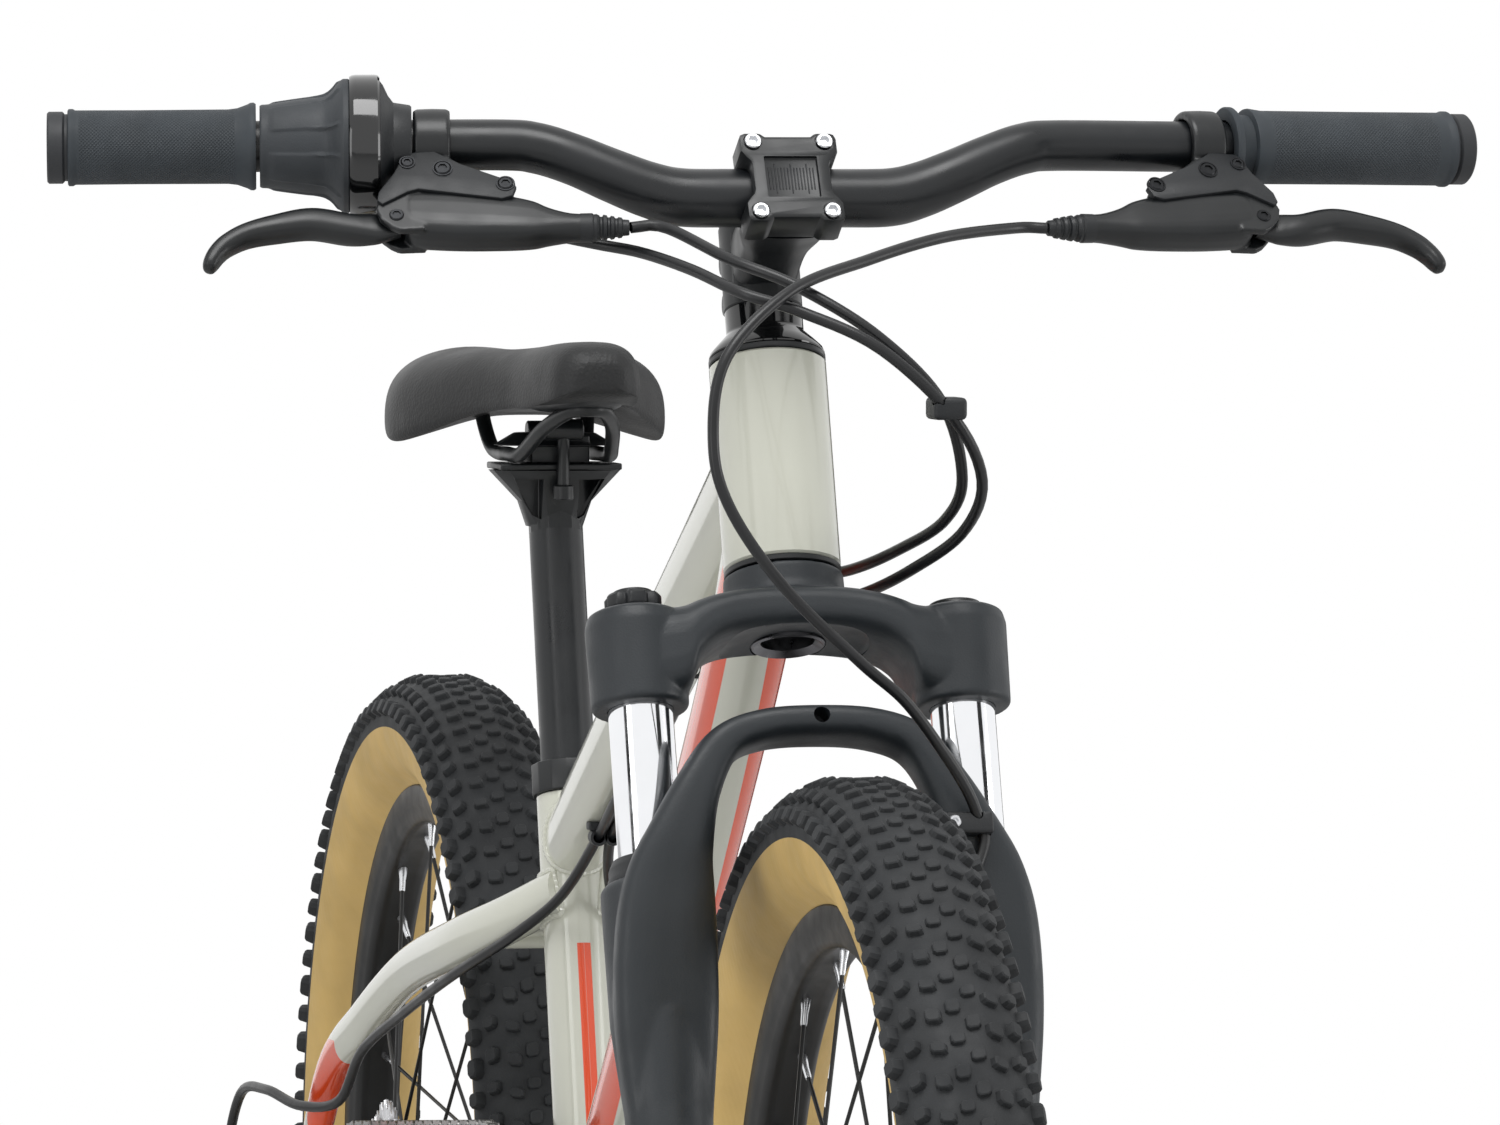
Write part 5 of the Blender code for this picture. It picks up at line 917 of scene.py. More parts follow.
def weld_chains(obj):
    """The loops of edges at which two tubes of the united frame meet."""
    bm = bmesh.new()
    bm.from_mesh(obj.data)
    meets = {}
    for edge in bm.edges:
        marks = {face.material_index for face in edge.link_faces}
        if len(edge.link_faces) == 2 and len(marks) == 2 and OTHER not in marks:
            for vert in edge.verts:
                meets.setdefault(vert, []).append(edge)
    chains = []
    used = set()
    for start in [v for v in meets if len(meets[v]) != 2] + list(meets):
        for edge in meets[start]:
            if edge in used:
                continue
            line, here = [start.co.copy()], start
            while edge is not None and edge not in used:
                used.add(edge)
                here = edge.other_vert(here)
                line.append(here.co.copy())
                rest = [other for other in meets[here] if other not in used]
                edge = rest[0] if len(meets[here]) == 2 and rest else None
            chains.append(line)
    bm.free()
    return chains


def weld_beads(obj):
    """Rippled beads along the joints of the tubes."""
    shortest, ripple_step, radius, ripple = 0.02, 0.0009, 0.0016, 0.00022
    beads = []
    for line in weld_chains(obj):
        length = length_of(line)
        if length < shortest:
            continue
        cyclic = (line[0] - line[-1]).length < 1e-6
        count = max(12, int(length / ripple_step))
        points = evenly(line, count)
        for _ in range(3):
            inner = [(a + b * 2 + c) / 4 for a, b, c in zip(points, points[1:], points[2:])]
            points = [points[0], *inner, points[-1]]
        radii = [radius + ripple * cos(TAU * i / 3.0) for i in range(count)]
        last = -1 if cyclic else None
        beads.append(sweep("bead", points[:last], radii[:last], 8, cyclic))
    return joined("frame_welds", beads)


def build_frame():
    parts = main_tubes()
    for side in (-1, 1):
        for stay, sizes, steps in ((SEAT_STAY, SEAT_STAY_SIZES, 8), (CHAIN_STAY, CHAIN_STAY_SIZES, 10)):
            parts.append(oval_sweep("stay", [(side * x, y, z) for x, y, z in stay], sizes, 28, steps=steps))
    bosses = [DOWN_START.lerp(CRANK_CENTRE, share) for share in BOSS_SHARES]
    roots, tops = ([centre + out * BOSS_OUT for centre in bosses] for out in (0.012, 0.028))
    extras = [dropout(-1), dropout(1)]
    for x, y, z in mm("36 205 415, 37 176 263"):
        extras.append(rod("bridge", 0.006, (-x, y, z), (x, y, z)))
    extras.append(box("plate", (0.056, 0.036, 0.005), (0.0, 0.185, 0.4215), turned(-0.27, "X"), 0.0015))
    extras += [rod("boss", 0.005, root, top) for root, top in zip(roots, tops)]
    extras += [box("post", (0.011, 0.011, 0.0255), (0.0602, y, 0.27275), edge=0.0015) for y in BRAKE_POST_Y]
    parts = [marked(part, k) for k, part in enumerate(parts)]
    tubes = boolean(parts[0], "UNION", parts[1:] + [marked(extra, OTHER) for extra in extras])
    welds = weld_beads(tubes)
    half = vec(0.045, 0, 0)
    tubes = boolean(tubes, "DIFFERENCE", [
        bore(0.0222, head_point(HEAD_BOTTOM - 0.01), head_point(HEAD_TOP + 0.01), 64),
        bore(0.01315, seat_point(0.022), seat_point(0.26)),
        bore(0.0172, CRANK_CENTRE - half, CRANK_CENTRE + half),
    ])
    finished(tubes, "frame", PAINT, "frame", 32.0)
    finished(welds, "frame", PAINT)
    bolts = [socket_bolt(between(top, top + BOSS_OUT), 0.0042, 0.003) for top in tops]
    finished(joined("bottle_bolts", bolts), "frame", SATIN)


def build_headset():
    upper = mm("17.2 -11.5, 21.9 -11.5, 21.9 .3, 25.2 .3, 25.6 .8, 25.6 2.6, 25.1 3, 17.2 3")
    lower = [(radius, -height) for radius, height in upper[::-1]]
    for name, profile in (("upper", at_height(HEAD_TOP, upper)), ("lower", at_height(HEAD_BOTTOM, lower))):
        spun(f"{name}_cup_ring", profile, STEERING, "frame", SATIN, f"headset_{name}_cup", 72, True)
    cover = mm("14.7 0, 25.2 0, 25.4 .6, 25 2, 21.5 6, 17.8 9.8, 17.1 10.8, 17 11.5")
    cover = at_height(HEAD_TOP + 0.0033, cover) + mm("17 498.6, 14.7 498.6")
    spun("bearing_cover", cover, STEERING, "steering", GLOSS, "headset_cover", 72, True, 30.0)


build_frame()
build_headset()


# Fork

TAB_X = 0.056


def leg_matrix(side):
    return STEERING @ moved(side * LEG_X, -LEG_BACK, 0)


def leg_bore(side, low, high):
    place = leg_matrix(side)
    return bore(0.0144, place @ vec(0, 0, low), place @ vec(0, 0, high))


def mirrored_rows(half):
    return [(-x, *rest) for x, *rest in half[:0:-1]] + half


def build_crown():
    # Sideways place, underside, top, place along the bike and half depth of the forging's stations.
    half = mm("""
        0 343.5 364 -10 26.5, 20 342.4 363.4 -10.5 26.2, 35 338.5 360.6 -12.5 25,
        45 330 357.4 -15 23, 51.5 316 354.8 -17 21.5, 66 311.5 353 -18.3 20""")
    rings = []
    for x, low, high, reach, depth in curve_through(mirrored_rows(half), 6):
        rings.append(ellipse((x, reach, (low + high) / 2), Y, Z, depth / 0.97, (high - low) / 1.94, 28, 0.62))
    parts = [placed(loft("crown_forging", rings, STEERING))]
    socket = mm("0 310.5, 20 310.5, 21.2 312, 21.8 347.5, 20.5 352.6, 17.5 354.2, 0 354.2")
    parts += [placed(lathe("socket", socket, leg_matrix(side))) for side in (-1, 1)]
    collar = mm("0 356, 30 358, 27.6 364, 26.4 367.5, 26.2 375.7, 25.5 376.5, 0 376.5")
    parts.append(placed(lathe("collar", collar, STEERING)))
    crown = remeshed("crown_forging", parts, 0.0009, 6)
    dome = [polar(1.0, radians(a)) for a in range(-80, 81, 10)]
    dish = lathe("dish", [(0.0, -1.0), *dome, (0.0, 1.0)])
    dish.matrix_world = STEERING @ moved(0, -0.012, 0.3405) @ Matrix.Diagonal((0.033, 0.0345, 0.0062, 1.0))
    cutters = [placed(dish), bore(0.0166, head_point(0.33), head_point(0.3565), 56)]
    cutters.append(bore(0.02, head_point(0.3762), head_point(0.4), 56))
    cutters += [leg_bore(side, 0.3, 0.3512) for side in (-1, 1)]
    finished(boolean(crown, "DIFFERENCE", cutters), "steering", CAST, "fork_crown", 40.0)
    steerer = mm("11.8 357.2, 14.3 357.2, 14.3 536, 11.8 536")
    spun("steerer_tube", steerer, STEERING, "steering", DARK_STEEL, steps=48, closed=True)
    ring = mm("11.8 347, 15.5 344.6, 16.3 345.4, 16.3 355.8, 11.8 355.8")
    spun("steerer_ring", ring, STEERING, "steering", DARK_STEEL, steps=56, closed=True)
    cap = mm("0 353.2, 12 353.2, 12 356.4, 11.2 357.6, 8 358, 7 357, 4 357, 3.6 358.2, 0 358.4")
    spun("left_leg_cap", cap, leg_matrix(1), "steering", SATIN, steps=48)


def build_stanchions():
    profile = mm("0 110, 13.7 110") + [(STANCHION_RADIUS, 0.1106), (STANCHION_RADIUS, 0.3508), (0.0, 0.3508)]
    for side, word in SIDES:
        spun(f"stanchion_{word}_tube", profile, leg_matrix(side), "steering", CHROME, f"stanchion_{word}", 72)


def build_knob():
    count, lobes, lobe_depth = 72, 6, 0.0024

    def rounds(rows):
        return [ellipse((0, 0, z), X, Y, radius, radius, count) for radius, z in rows]

    rings = rounds(mm("10 0, 12.4 .2, 12.6 1.2"))
    for radius, z in mm("12 1.6, 12.4 2.4, 12.4 6.6, 11.4 7.8"):
        ring = []
        for i in range(count):
            angle = TAU * i / count
            dip = lobe_depth * max(0.0, cos(angle * lobes)) ** 2
            ring.append(vec(*polar(radius - dip, angle), z))
        rings.append(ring)
    rings += rounds(mm("9.2 7.8, 8.6 9.4, 4 10"))
    matrix = STEERING @ moved(-LEG_X, -LEG_BACK, 0.3545)
    finished(loft("adjuster_knob", rings, matrix), "preload_knob", MOULDED, "preload_knob")


def build_lowers():
    # Place, then half width along the bike and half depth of the arch and legs' stations.
    half = mm("""
        0 -42.5 295.5 6.8 14.8, 24 -42.5 293.8 7 14.6, 42 -43.6 286 7.8 13, 54.5 -44.8 266.8 10 11,
        63 -44.2 245.5 14.2 9.8, 68 -41.5 228 18.5 9.4, 70.5 -37 206 21.2 10.5, 71.2 -29 172 21.8 11,
        71.2 -22 135 18.8 10.5, 71.2 -19 100 15 10""")
    stations = mirrored_rows(half)
    path = lean(station[:3] for station in stations)
    sizes = [(depth / 0.97, width / 0.97) for *_, width, depth in stations]
    parts = [oval_sweep("fork_casting", path, sizes, 28, 0.62, BACK, 8)]
    tab = mm("-47 -11, -22 -11, -12 2, -10 34, -27 36, -44 14, -49 0")
    leg = mm("0 -14, 11.5 -14, 13.5 -12, 16 -6, 19 130, 22.5 170, 22.8 229, 20.6 232, 0 232")
    for side in (-1, 1):
        parts.append(placed(lathe("leg", leg, leg_matrix(side))))
        parts.append(placed(flat("tab", [tab], 0.012, STEERING @ facing_x(side * TAB_X), 0.0008)))
    for centre in lean(mm("58 -1.7 43, 58 -1.7 81")):
        parts.append(placed(box("post", (0.014, 0.0228, 0.012), centre, LEAN, 0.0012)))
    lowers = remeshed("fork_casting", parts, 0.0011, 8)
    cutters = [bore(0.0036, *lean(mm("0 -70 296.2, 0 -44 296.2")), 32)]
    for side in (-1, 1):
        inner, middle, outer = (FRONT_AXLE + vec(side * x, 0, 0) for x in (0.045, 0.06185, 0.1))
        cutters += [leg_bore(side, 0.05, 0.3), bore(AXLE_SLOT, inner, outer, 32)]
        cutters.append(bore(0.0106, middle, outer, 40))
        opening = STEERING @ vec(side * TAB_X, -0.035, -0.008)
        cutters.append(box("slot", (0.022, 2 * AXLE_SLOT * 0.95, 0.016), opening, LEAN, 0.0001, 1))
    finished(boolean(lowers, "DIFFERENCE", cutters), "fork_lowers", CAST, "fork_lowers", 45.0)
    seal = mm("14.6 232.2, 19.2 232.2, 19.2 234.2, 18.6 235, 18.6 238.5, 18 240, 16.8 242.5, 14.6 242.5")
    for side, word in SIDES:
        spun(f"dust_seal_{word}", seal, leg_matrix(side), "fork_lowers", MOULDED, closed=True)


build_crown()
build_stanchions()
build_knob()
build_lowers()


# Bar and stem

PINCH_HEIGHTS = (0.509, 0.528)
PLATE_FRONT = -0.0172
PLATE_BOLTS = [(x, z) for x in (-0.0158, 0.0158) for z in (-0.0174, 0.0174)]
RISE_START, RISE_END, BAR_RISE, RISE_SETBACK, END_DROP = 0.04, 0.12, 0.0229, 0.0125, 0.0018


def bar_point(x):
    """The bar's middle line: level between the stem's ends, then the rise, then straight and swept back."""
    centre = STEERING @ vec(0, -BAR_REACH, BAR_HEIGHT)
    reach = abs(x)
    share = unit((reach - RISE_START) / (RISE_END - RISE_START))
    lift = BAR_RISE * share * share * (3 - 2 * share)
    back = RISE_SETBACK * share * share
    if reach > RISE_END:
        back += (reach - RISE_END) * tan(BAR_SWEEP)
        lift -= END_DROP * (reach - RISE_END) / (BAR_HALF - RISE_END)
    return vec(x, centre.y + back, centre.z + lift)


def bar_frame(side, from_end):
    """A frame on the bar: X outwards along it, Y forward and down to the lever, Z across both."""
    outward = (bar_point(side * BAR_HALF) - bar_point(side * 0.14)).normalized()
    forward = vec(0, -1, 0)
    forward = (forward - outward * forward.dot(outward)).normalized()
    down = outward.cross(forward) * (1.0 if side > 0 else -1.0)
    if down.z > 0:
        down = -down
    reach = cos(LEVER_DROP) * forward + sin(LEVER_DROP) * down
    matrix = Matrix((outward, reach, outward.cross(reach))).transposed().to_4x4()
    return Matrix.Translation(bar_point(side * (BAR_HALF - from_end * cos(BAR_SWEEP)))) @ matrix


def along_bar(side, from_end):
    return bar_frame(side, from_end) @ ALONG_X


def build_bar():
    half = [0.0, 0.024, 0.046, 0.06, 0.076, 0.092, 0.108, 0.124, 0.18, 0.25, BAR_HALF - 0.002]
    rows = []
    for x in [-x for x in half[:0:-1]] + half:
        share = unit((abs(x) - 0.045) / 0.045)
        rows.append((*bar_point(x), BAR_CENTRE_RADIUS + (BAR_END_RADIUS - BAR_CENTRE_RADIUS) * share))
    fine = curve_through(rows, 8)
    bar = sweep("riser_bar", [row[:3] for row in fine], [row[3] for row in fine], 40)
    finished(bar, "steering", SATIN_BAR, "handlebar")


def stem_frame():
    rise = atan2(BAR_HEIGHT - 0.5185, BAR_REACH)
    return Matrix.Translation(STEERING @ vec(0, -BAR_REACH, BAR_HEIGHT)) @ turned(-TILT - rise, "X")


def bar_bore():
    """The bar's hole through the stem and its faceplate."""
    centre, half = stem_frame().translation, vec(0.05, 0, 0)
    return bore(0.013, centre - half, centre + half, 56)


def build_stem():
    place = stem_frame()
    clamp = mm("0 499, 16.4 499, 17.2 499.8, 17.2 537.2, 16.4 538, 0 538")
    rings = []
    for back, half_x, half_z in curve_through(mm("1.5 21.5 19.5, 14 19.5 16.5, 30 15 15, 56 14.5 16"), 8):
        rings.append(ellipse((0.0, back, 0.0), X, Z, half_x, half_z, 36, 0.58))
    parts = [placed(loft("extension", rings, place))]
    for t in PINCH_HEIGHTS:
        parts.append(placed(rod("ear", 0.0052, *lean([(-0.013, 0.02, t), (0.013, 0.02, t)]))))
    body = boolean(placed(lathe("stem_body", clamp, STEERING)), "UNION", parts)
    body = boolean(body, "DIFFERENCE", [
        bore(0.0146, head_point(0.48), head_point(0.56), 56),
        bar_bore(),
        box("slit", (0.0016, 0.02, 0.06), STEERING @ vec(0, 0.02, 0.518), LEAN, 0.0001, 1),
    ])
    finished(bevelled(body, 0.0004, 2, 40.0), "steering", SATIN, "stem", 35.0)
    spots = [between(*lean([(0.0128, 0.02, t), (0.02, 0.02, t)])) for t in PINCH_HEIGHTS]
    bolts = [socket_bolt(spot, 0.004, 0.0032) for spot in spots]
    finished(joined("stem_pinch_bolts", bolts), "steering", SILVER)
    cap = mm("0 538.3, 16.6 538.3, 16.8 539, 16.8 541, 16 542.2, 8.5 542.8, 7.5 541, 0 541")
    spun("stem_top_cap", cap, STEERING, "steering", SATIN, "top_cap", angle=30.0)
    screw = socket_bolt(STEERING @ moved(0, 0, 0.541), 0.0048, 0.0018)
    screw.name = "top_cap_bolt"
    finished(screw, "steering", SILVER)


def build_faceplate():
    """Four rounded lobes with cap screws, a grooved window, and thin edges along the bar."""
    place = stem_frame()
    turn = place.to_3x3().to_4x4()
    quarter = mm("""
        10 20.5, 11.8 21.9, 13 22.2, 19 22.2, 20.7 21.5, 21.5 19.6, 21.5 13, 19.5 10, 17.7 8, 17.2 6""")
    half = quarter + [(x, -z) for x, z in quarter[::-1]]
    outline = half + [(-x, z) for x, z in half[::-1]]
    plate = placed(flat("face_plate", [outline], 0.018, place @ facing_y(-0.0095), 0.0016))
    window = box("window", (0.0235, 0.004, 0.0205), place @ vec(0, -0.0185, 0), turn, 0.0006)
    cutters = [placed(window), bar_bore()]
    for x, z in PLATE_BOLTS:
        cutters.append(bore(0.0042, *(place @ vec(x, y, z) for y in (PLATE_FRONT, -0.021)), 32))
    finished(boolean(plate, "DIFFERENCE", cutters), "steering", SATIN, "stem_faceplate", 30.0)
    ribs = []
    for i in range(15):
        size = (0.0006, 0.001, 0.015 if i % 5 == 2 else 0.011)
        ribs.append(placed(box("rib", size, place @ vec(-0.0098 + 0.0014 * i, -0.0163, 0), turn, 0.0002, 1)))
    finished(joined("face_plate_scale", ribs), "steering", MOULDED)
    spots = [place @ vec(x, PLATE_FRONT, z) for x, z in PLATE_BOLTS]
    forward = turn.to_3x3() @ vec(0, -1, 0)
    bolts = [socket_bolt(between(spot, spot + forward), 0.0036, 0.003, 0.0021) for spot in spots]
    finished(joined("face_plate_bolts", bolts), "steering", SILVER)


build_bar()
build_stem()
build_faceplate()


# Grips, shifter and levers

GRIP_STARTS = {-1: 0.0902, 1: 0.1157}
SHIFTER_START, TWIST_START, OUTLET_PLACE = 0.1574, 0.13, 0.1585
BOOT_REACH = 0.048


def build_grips():
    """A ribbed rubber sleeve from each end's flange, and the end cap beyond it."""
    cap = mm("0 -.3, 9 0, 14.8 0, 15.6 -.8, 15.6 -6.6, 15 -7.3, 14.5 -7.6, 14.5 -8.8, 0 -8.8")
    outer_end = mm("11.9 -8.9, 16 -8.9, 16.7 -9.4, 16.7 -11.2, 16.1 -12.2, 16.1 -13.5")
    flanges = {
        1: mm("""
            16 60, 16.1 17.5, 16.3 16, 17 11.2, 16.8 10.4, 14.2 9.8, 14 5, 14.2 4, 17 3.4, 17.6 2.6, 17.6 .6,
            17 0, 11.9 0"""),
        -1: mm("16 50, 16.1 12, 16.6 8, 18.2 3.6, 18.9 2.4, 19 1, 18.4 0, 11.9 0"),
    }
    for side, word in SIDES:
        start, knurl = GRIP_STARTS[side], GRIP_L if side > 0 else GRIP_R
        place, name = along_bar(side, start), f"grip_{word}"
        spun(f"{name}_cap", at_height(start, cap), place, "steering", COLLAR)
        body = at_height(start, outer_end) + flanges[side]
        spun(f"{name}_rubber", body, place, "steering", knurl, name, 96, True, 40.0)


def build_twist_grip():
    """The turning sleeve: a sharp flare, five raised panels, and short fins where they meet the flare."""
    length = TWIST_START - GRIP_STARTS[-1] - 0.0016
    rows = mm("27.4 -.7, 28.9 -.3, 29 2, 27 4.4, 23.4 7.4, 21.3 10.6, 20.5 18, 19.3 27")
    rows += [(0.0182, length - 0.0036), (0.018, length - 0.001), (0.0175, length)]
    inner, widest = 0.0123, 0.029
    turns = [TAU * i / 200 for i in range(200)]
    rings = [[vec(*polar(r, a), z) for a in turns] for r, z in mm("12.3 2.4, 26.2 2.4, 26.4 -.7")]
    for radius, z in curve_through(rows, 6):
        ring = []
        rise = unit((z - 0.006) / 0.003) * unit((length - 0.004 - z) / 0.002)
        near = unit((z - 0.003) / 0.002) * unit((0.017 - z) / 0.008)
        for a in turns:
            wave = cos(5 * (a - pi / 5))
            fin = exp(-(((wave + 0.25) / 0.11) ** 2))
            reach = min(radius + 0.0007 * unit((wave + 0.35) / 0.2) * rise + 0.0016 * fin * near, widest)
            ring.append(vec(*polar(reach, a), z))
        rings.append(ring)
    rings.append([vec(*polar(inner, a), length) for a in turns])
    sleeve = loft("twist_sleeve", rings, along_bar(-1, TWIST_START), cyclic=True)
    finished(sleeve, "twist_grip", SLEEVE, "twist_grip", 50.0)
    washer = mm("11.9 .3, 16.6 .3, 17 .7, 16.6 1.2, 11.9 1.2")
    spun("sleeve_washer", washer, along_bar(-1, GRIP_STARTS[-1]), "steering", MOULDED, closed=True)


def shift_outlet(inward):
    return bar_frame(-1, OUTLET_PLACE) @ vec(inward, 0.0235 - 0.1 * inward, -0.0145)


def build_shifter():
    place = along_bar(-1, SHIFTER_START)
    cone = mm("11.9 0, 16.8 0, 17.5 .8, 18.6 7.8, 21.5 10, 26.2 12.2, 28 13.6, 11.9 13.6")
    spun("shifter_cone", cone, place, "steering", MOULDED, "shifter_housing", 72, True)
    ring = mm("""
        11.9 13.7, 29.8 13.7, 30.6 14.6, 30.8 16, 30.8 24, 30.6 25.6, 30 26.8, 25.4 26.9, 25.2 28.6,
        11.9 28.6""")
    spun("shifter_ring", ring, place, "steering", GLOSS, (), 96, True, 28.0)
    outlet = mm("0 0, 5.2 0, 5 18, 4.2 20, 4.4 22.5, 4.4 28.5, 4 30, 0 30")
    line = between(shift_outlet(0.02), shift_outlet(-0.01))
    spun("shifter_outlet", outlet, line, "steering", MOULDED, steps=32)


def mirror_of(obj, name, shift):
    """The other side's copy of a piece, with its faces turned right again."""
    made = placed(linked(name, obj.data.copy(), obj.matrix_world.copy()))
    made.data.transform(Matrix.Scale(-1.0, 4, X))
    made.data.flip_normals()
    made.matrix_world = Matrix.Translation(shift)
    return placed(made)


def lever_casting(place):
    """The cylinder's body, its clamp band, the arm between them and two cheeks for the blade."""
    rows = mm("""
        12 41.5 9.5 8, 7 42.5 12.8 8.8, -10 43.5 13.6 8.8, -30 45 12.2 8.6, -42 46.2 10.4 8.2, -50 47.4 8 7.4,
        -58 48 6.6 6.6, -65 48 6.1 6.1""")
    rings = []
    for a, b, half_b, half_c in curve_through(rows, 5):
        square = 0.62 if a > -0.045 else 0.62 + 0.38 * min((-0.045 - a) / 0.015, 1.0)
        rings.append(ellipse((a, b, 0.0), Y, Z, half_b, half_c, 28, square))
    band = mm("11.9 -8, 14.6 -8, 15.6 -6.6, 15.8 0, 15.6 6.6, 14.6 8, 11.9 8")
    arm = mm("-7 12.5, 7.8 12.5, 11 17, 15 26, 14 34, -33 38, -35 33, -20 22.5")
    tongue = mm("5 28, 17 29, 23 37, 24.5 43, 22.5 49, 18 53.5, 14 55.6, 3 55")
    parts = [
        loft("body", rings, place),
        lathe("band", band, along_bar(1, LEFT_CLAMP), 56, True),
        flat("arm", [arm], 0.016, place, 0.002),
    ]
    parts += [flat("cheek", [tongue], 0.0036, place @ moved(0, 0, z), 0.0006) for z in (-0.0064, 0.0064)]
    casting = remeshed("lever_casting", [placed(part) for part in parts], 0.0006, 5)
    clear = bore(0.0118, place @ vec(-0.03, 0, 0), place @ vec(0.03, 0, 0))
    slot = placed(flat("slot", [mm("12.3 37, 30 32, 30 59, 12.3 59")], 0.0092, place, 0.0001))
    return boolean(casting, "DIFFERENCE", [clear, slot])


def lever_body_pieces():
    """The left lever's casting, cover plate, screws and ribbed boot; its front face is at -Z."""
    place = bar_frame(1, LEFT_CLAMP)
    casting = lever_casting(place)
    cover = mm("""
        11.8 12.8, -1 11.8, -12 19, -32.5 28.5, -36.2 32.2, -34.5 37.5, -30 39.2, 6 33.5, 10.5 35, 21.5 42,
        23.8 40, 23.2 35, 16.5 24""")
    plate = placed(flat("cover", [cover], 0.0034, place @ moved(0, 0, -0.0082), 0.0008))
    screws = []
    for x, y, radius in mm("10.7 18.5 2.7, -4.5 22 3.6, -31.5 31 3.3"):
        spot = place @ moved(x, y, -0.0098) @ TURNED_OVER
        ring = [(radius + r, z) for r, z in mm(".2 -1, 1 -1, .8 .5, .2 .5")]
        screws += [socket_bolt(spot, radius, 0.0009), lathe("rim", ring, spot, 28, True)]
    pivot = place @ moved(0.0155, 0.047, 0)
    for flip in (Matrix.Identity(4), TURNED_OVER):
        screws.append(socket_bolt(pivot @ flip @ moved(0, 0, 0.0082), 0.0032, 0.0008))
    boot = mm("""
        0 0, 6.3 0, 6.4 5.2, 5.8 5.8, 6 7, 5.4 8.2, 4.8 8.6, 4.8 9.4, 5.7 10, 5.4 11.4, 4.5 11.9, 4.5 12.7,
        5.2 13.3, 4.9 14.6, 4.1 15.1, 4.1 15.9, 4.6 16.5, 4.4 17.8, 3.6 18.4, 3.4 20.8, 3 21.2, 0 21.2""")
    line = between(*(place @ vec(x, BOOT_REACH, 0) for x in (-0.0635, -0.07)))
    return casting, plate, joined("screws", screws), lathe("boot", boot, line, 40)


def build_levers():
    shift = bar_frame(-1, RIGHT_CLAMP).translation - bar_frame(-1, LEFT_CLAMP).translation
    kinds = (("casting", SATIN), ("cover", MOULDED), ("screws", BLACK_STEEL), ("boot", MOULDED))
    for obj, (kind, material) in zip(lever_body_pieces(), kinds):
        other = mirror_of(obj, f"lever_{kind}_right", shift)
        obj.name = f"lever_{kind}_left"
        for made, word in ((obj, "left"), (other, "right")):
            finished(made, "steering", material, f"lever_body_{word}" if kind == "casting" else (), 32.0)
    # Outward, reach, half width and half thickness from the pivot to the tip.
    blade = curve_through(mm("""
        14 47 4.6 3.8, 21.5 47.6 7 4.1, 27 48.2 7.4 5.2, 36 48.2 7 6.6, 52 45 7.1 6.6, 68 47.8 6 6.4,
        80 51.4 5 6, 88.2 56.6 4.4 5.6, 92.6 61.6 4 5.2, 95 66.2 3.6 4.8, 96.3 69.4 2.8 3.8,
        96.8 70.8 1.3 1.8"""), 8)
    rings = []
    for i, (outward, reach, half, thick) in enumerate(blade):
        ahead = ahead_at([row[:2] for row in blade], i)
        rings.append(ellipse((outward, reach, 0.0), (-ahead.y, ahead.x, 0.0), Z, half, thick, 28, 0.86))
    for side, name, clamp in ((1, "lever_blade_left", LEFT_CLAMP), (-1, "lever_blade_right", RIGHT_CLAMP)):
        finished(placed(loft(f"{name}_arm", rings, bar_frame(side, clamp))), name, SATIN, name, 45.0)


build_grips()
build_twist_grip()
build_shifter()
build_levers()


# Hoses

LINES_HIGH, LINES_LOW = 0.715, 0.6
LINE_RADIUS = 0.0025
LEG_CLAMP_HEIGHT = 0.246


def top_tube_underside(y):
    share = (y - TOP_START.y) / (TOP_END.y - TOP_START.y)
    return TOP_START.z + (TOP_END.z - TOP_START.z) * share - 0.0262


def lever_boot_end(side, from_end):
    place = bar_frame(side, from_end)
    return [place @ vec(x, BOOT_REACH, 0) for x in (-0.0853, -0.1)]


def along_seat_stay(side):
    route = [(0.0034, y, top_tube_underside(y)) for y in (-0.15, -0.06, 0.03, 0.085)]
    route += mm("12 123 439, 28 152 419.5, 47 214.5 395.5, 54.5 300 372, 62 365 350")
    return [(side * x, y, z) for x, y, z in route]


def front_hose_route():
    route = lever_boot_end(1, LEFT_CLAMP) + mm("""
        58.6 -368 752.2, 20.5 -393 743, -20.5 -422.5 729.8, -51.4 -439 701.9, -57.1 -440 667.2,
        -50 -441 638.5, -26.3 -442 604.4, 6.9 -440 572.7""")
    return route + lean(mm("""
        27.5 -97.5 289, 46 -81.5 271.5, 59 -67 258, 65.5 -58 246, 66.5 -56.5 236, 56 -54.5 212,
        44 -44 185, 42 -20 150, 47 8 122, 50.5 22 106, 50.5 22 94.8"""))


def rear_hose_route():
    route = lever_boot_end(-1, RIGHT_CLAMP) + mm("""
        -39 -388 743, -14.1 -406 732, 18.7 -418 711, 47.4 -416 682.7, 60 -401 650, 58.3 -375 630.6,
        47 -338 617, 34 -293 606, 20 -230 599""")
    return route + along_seat_stay(1) + mm("64 396 337.2, 62.5 416.5 327.5, 61.6 422.5 324, 61.5 423 320.2")


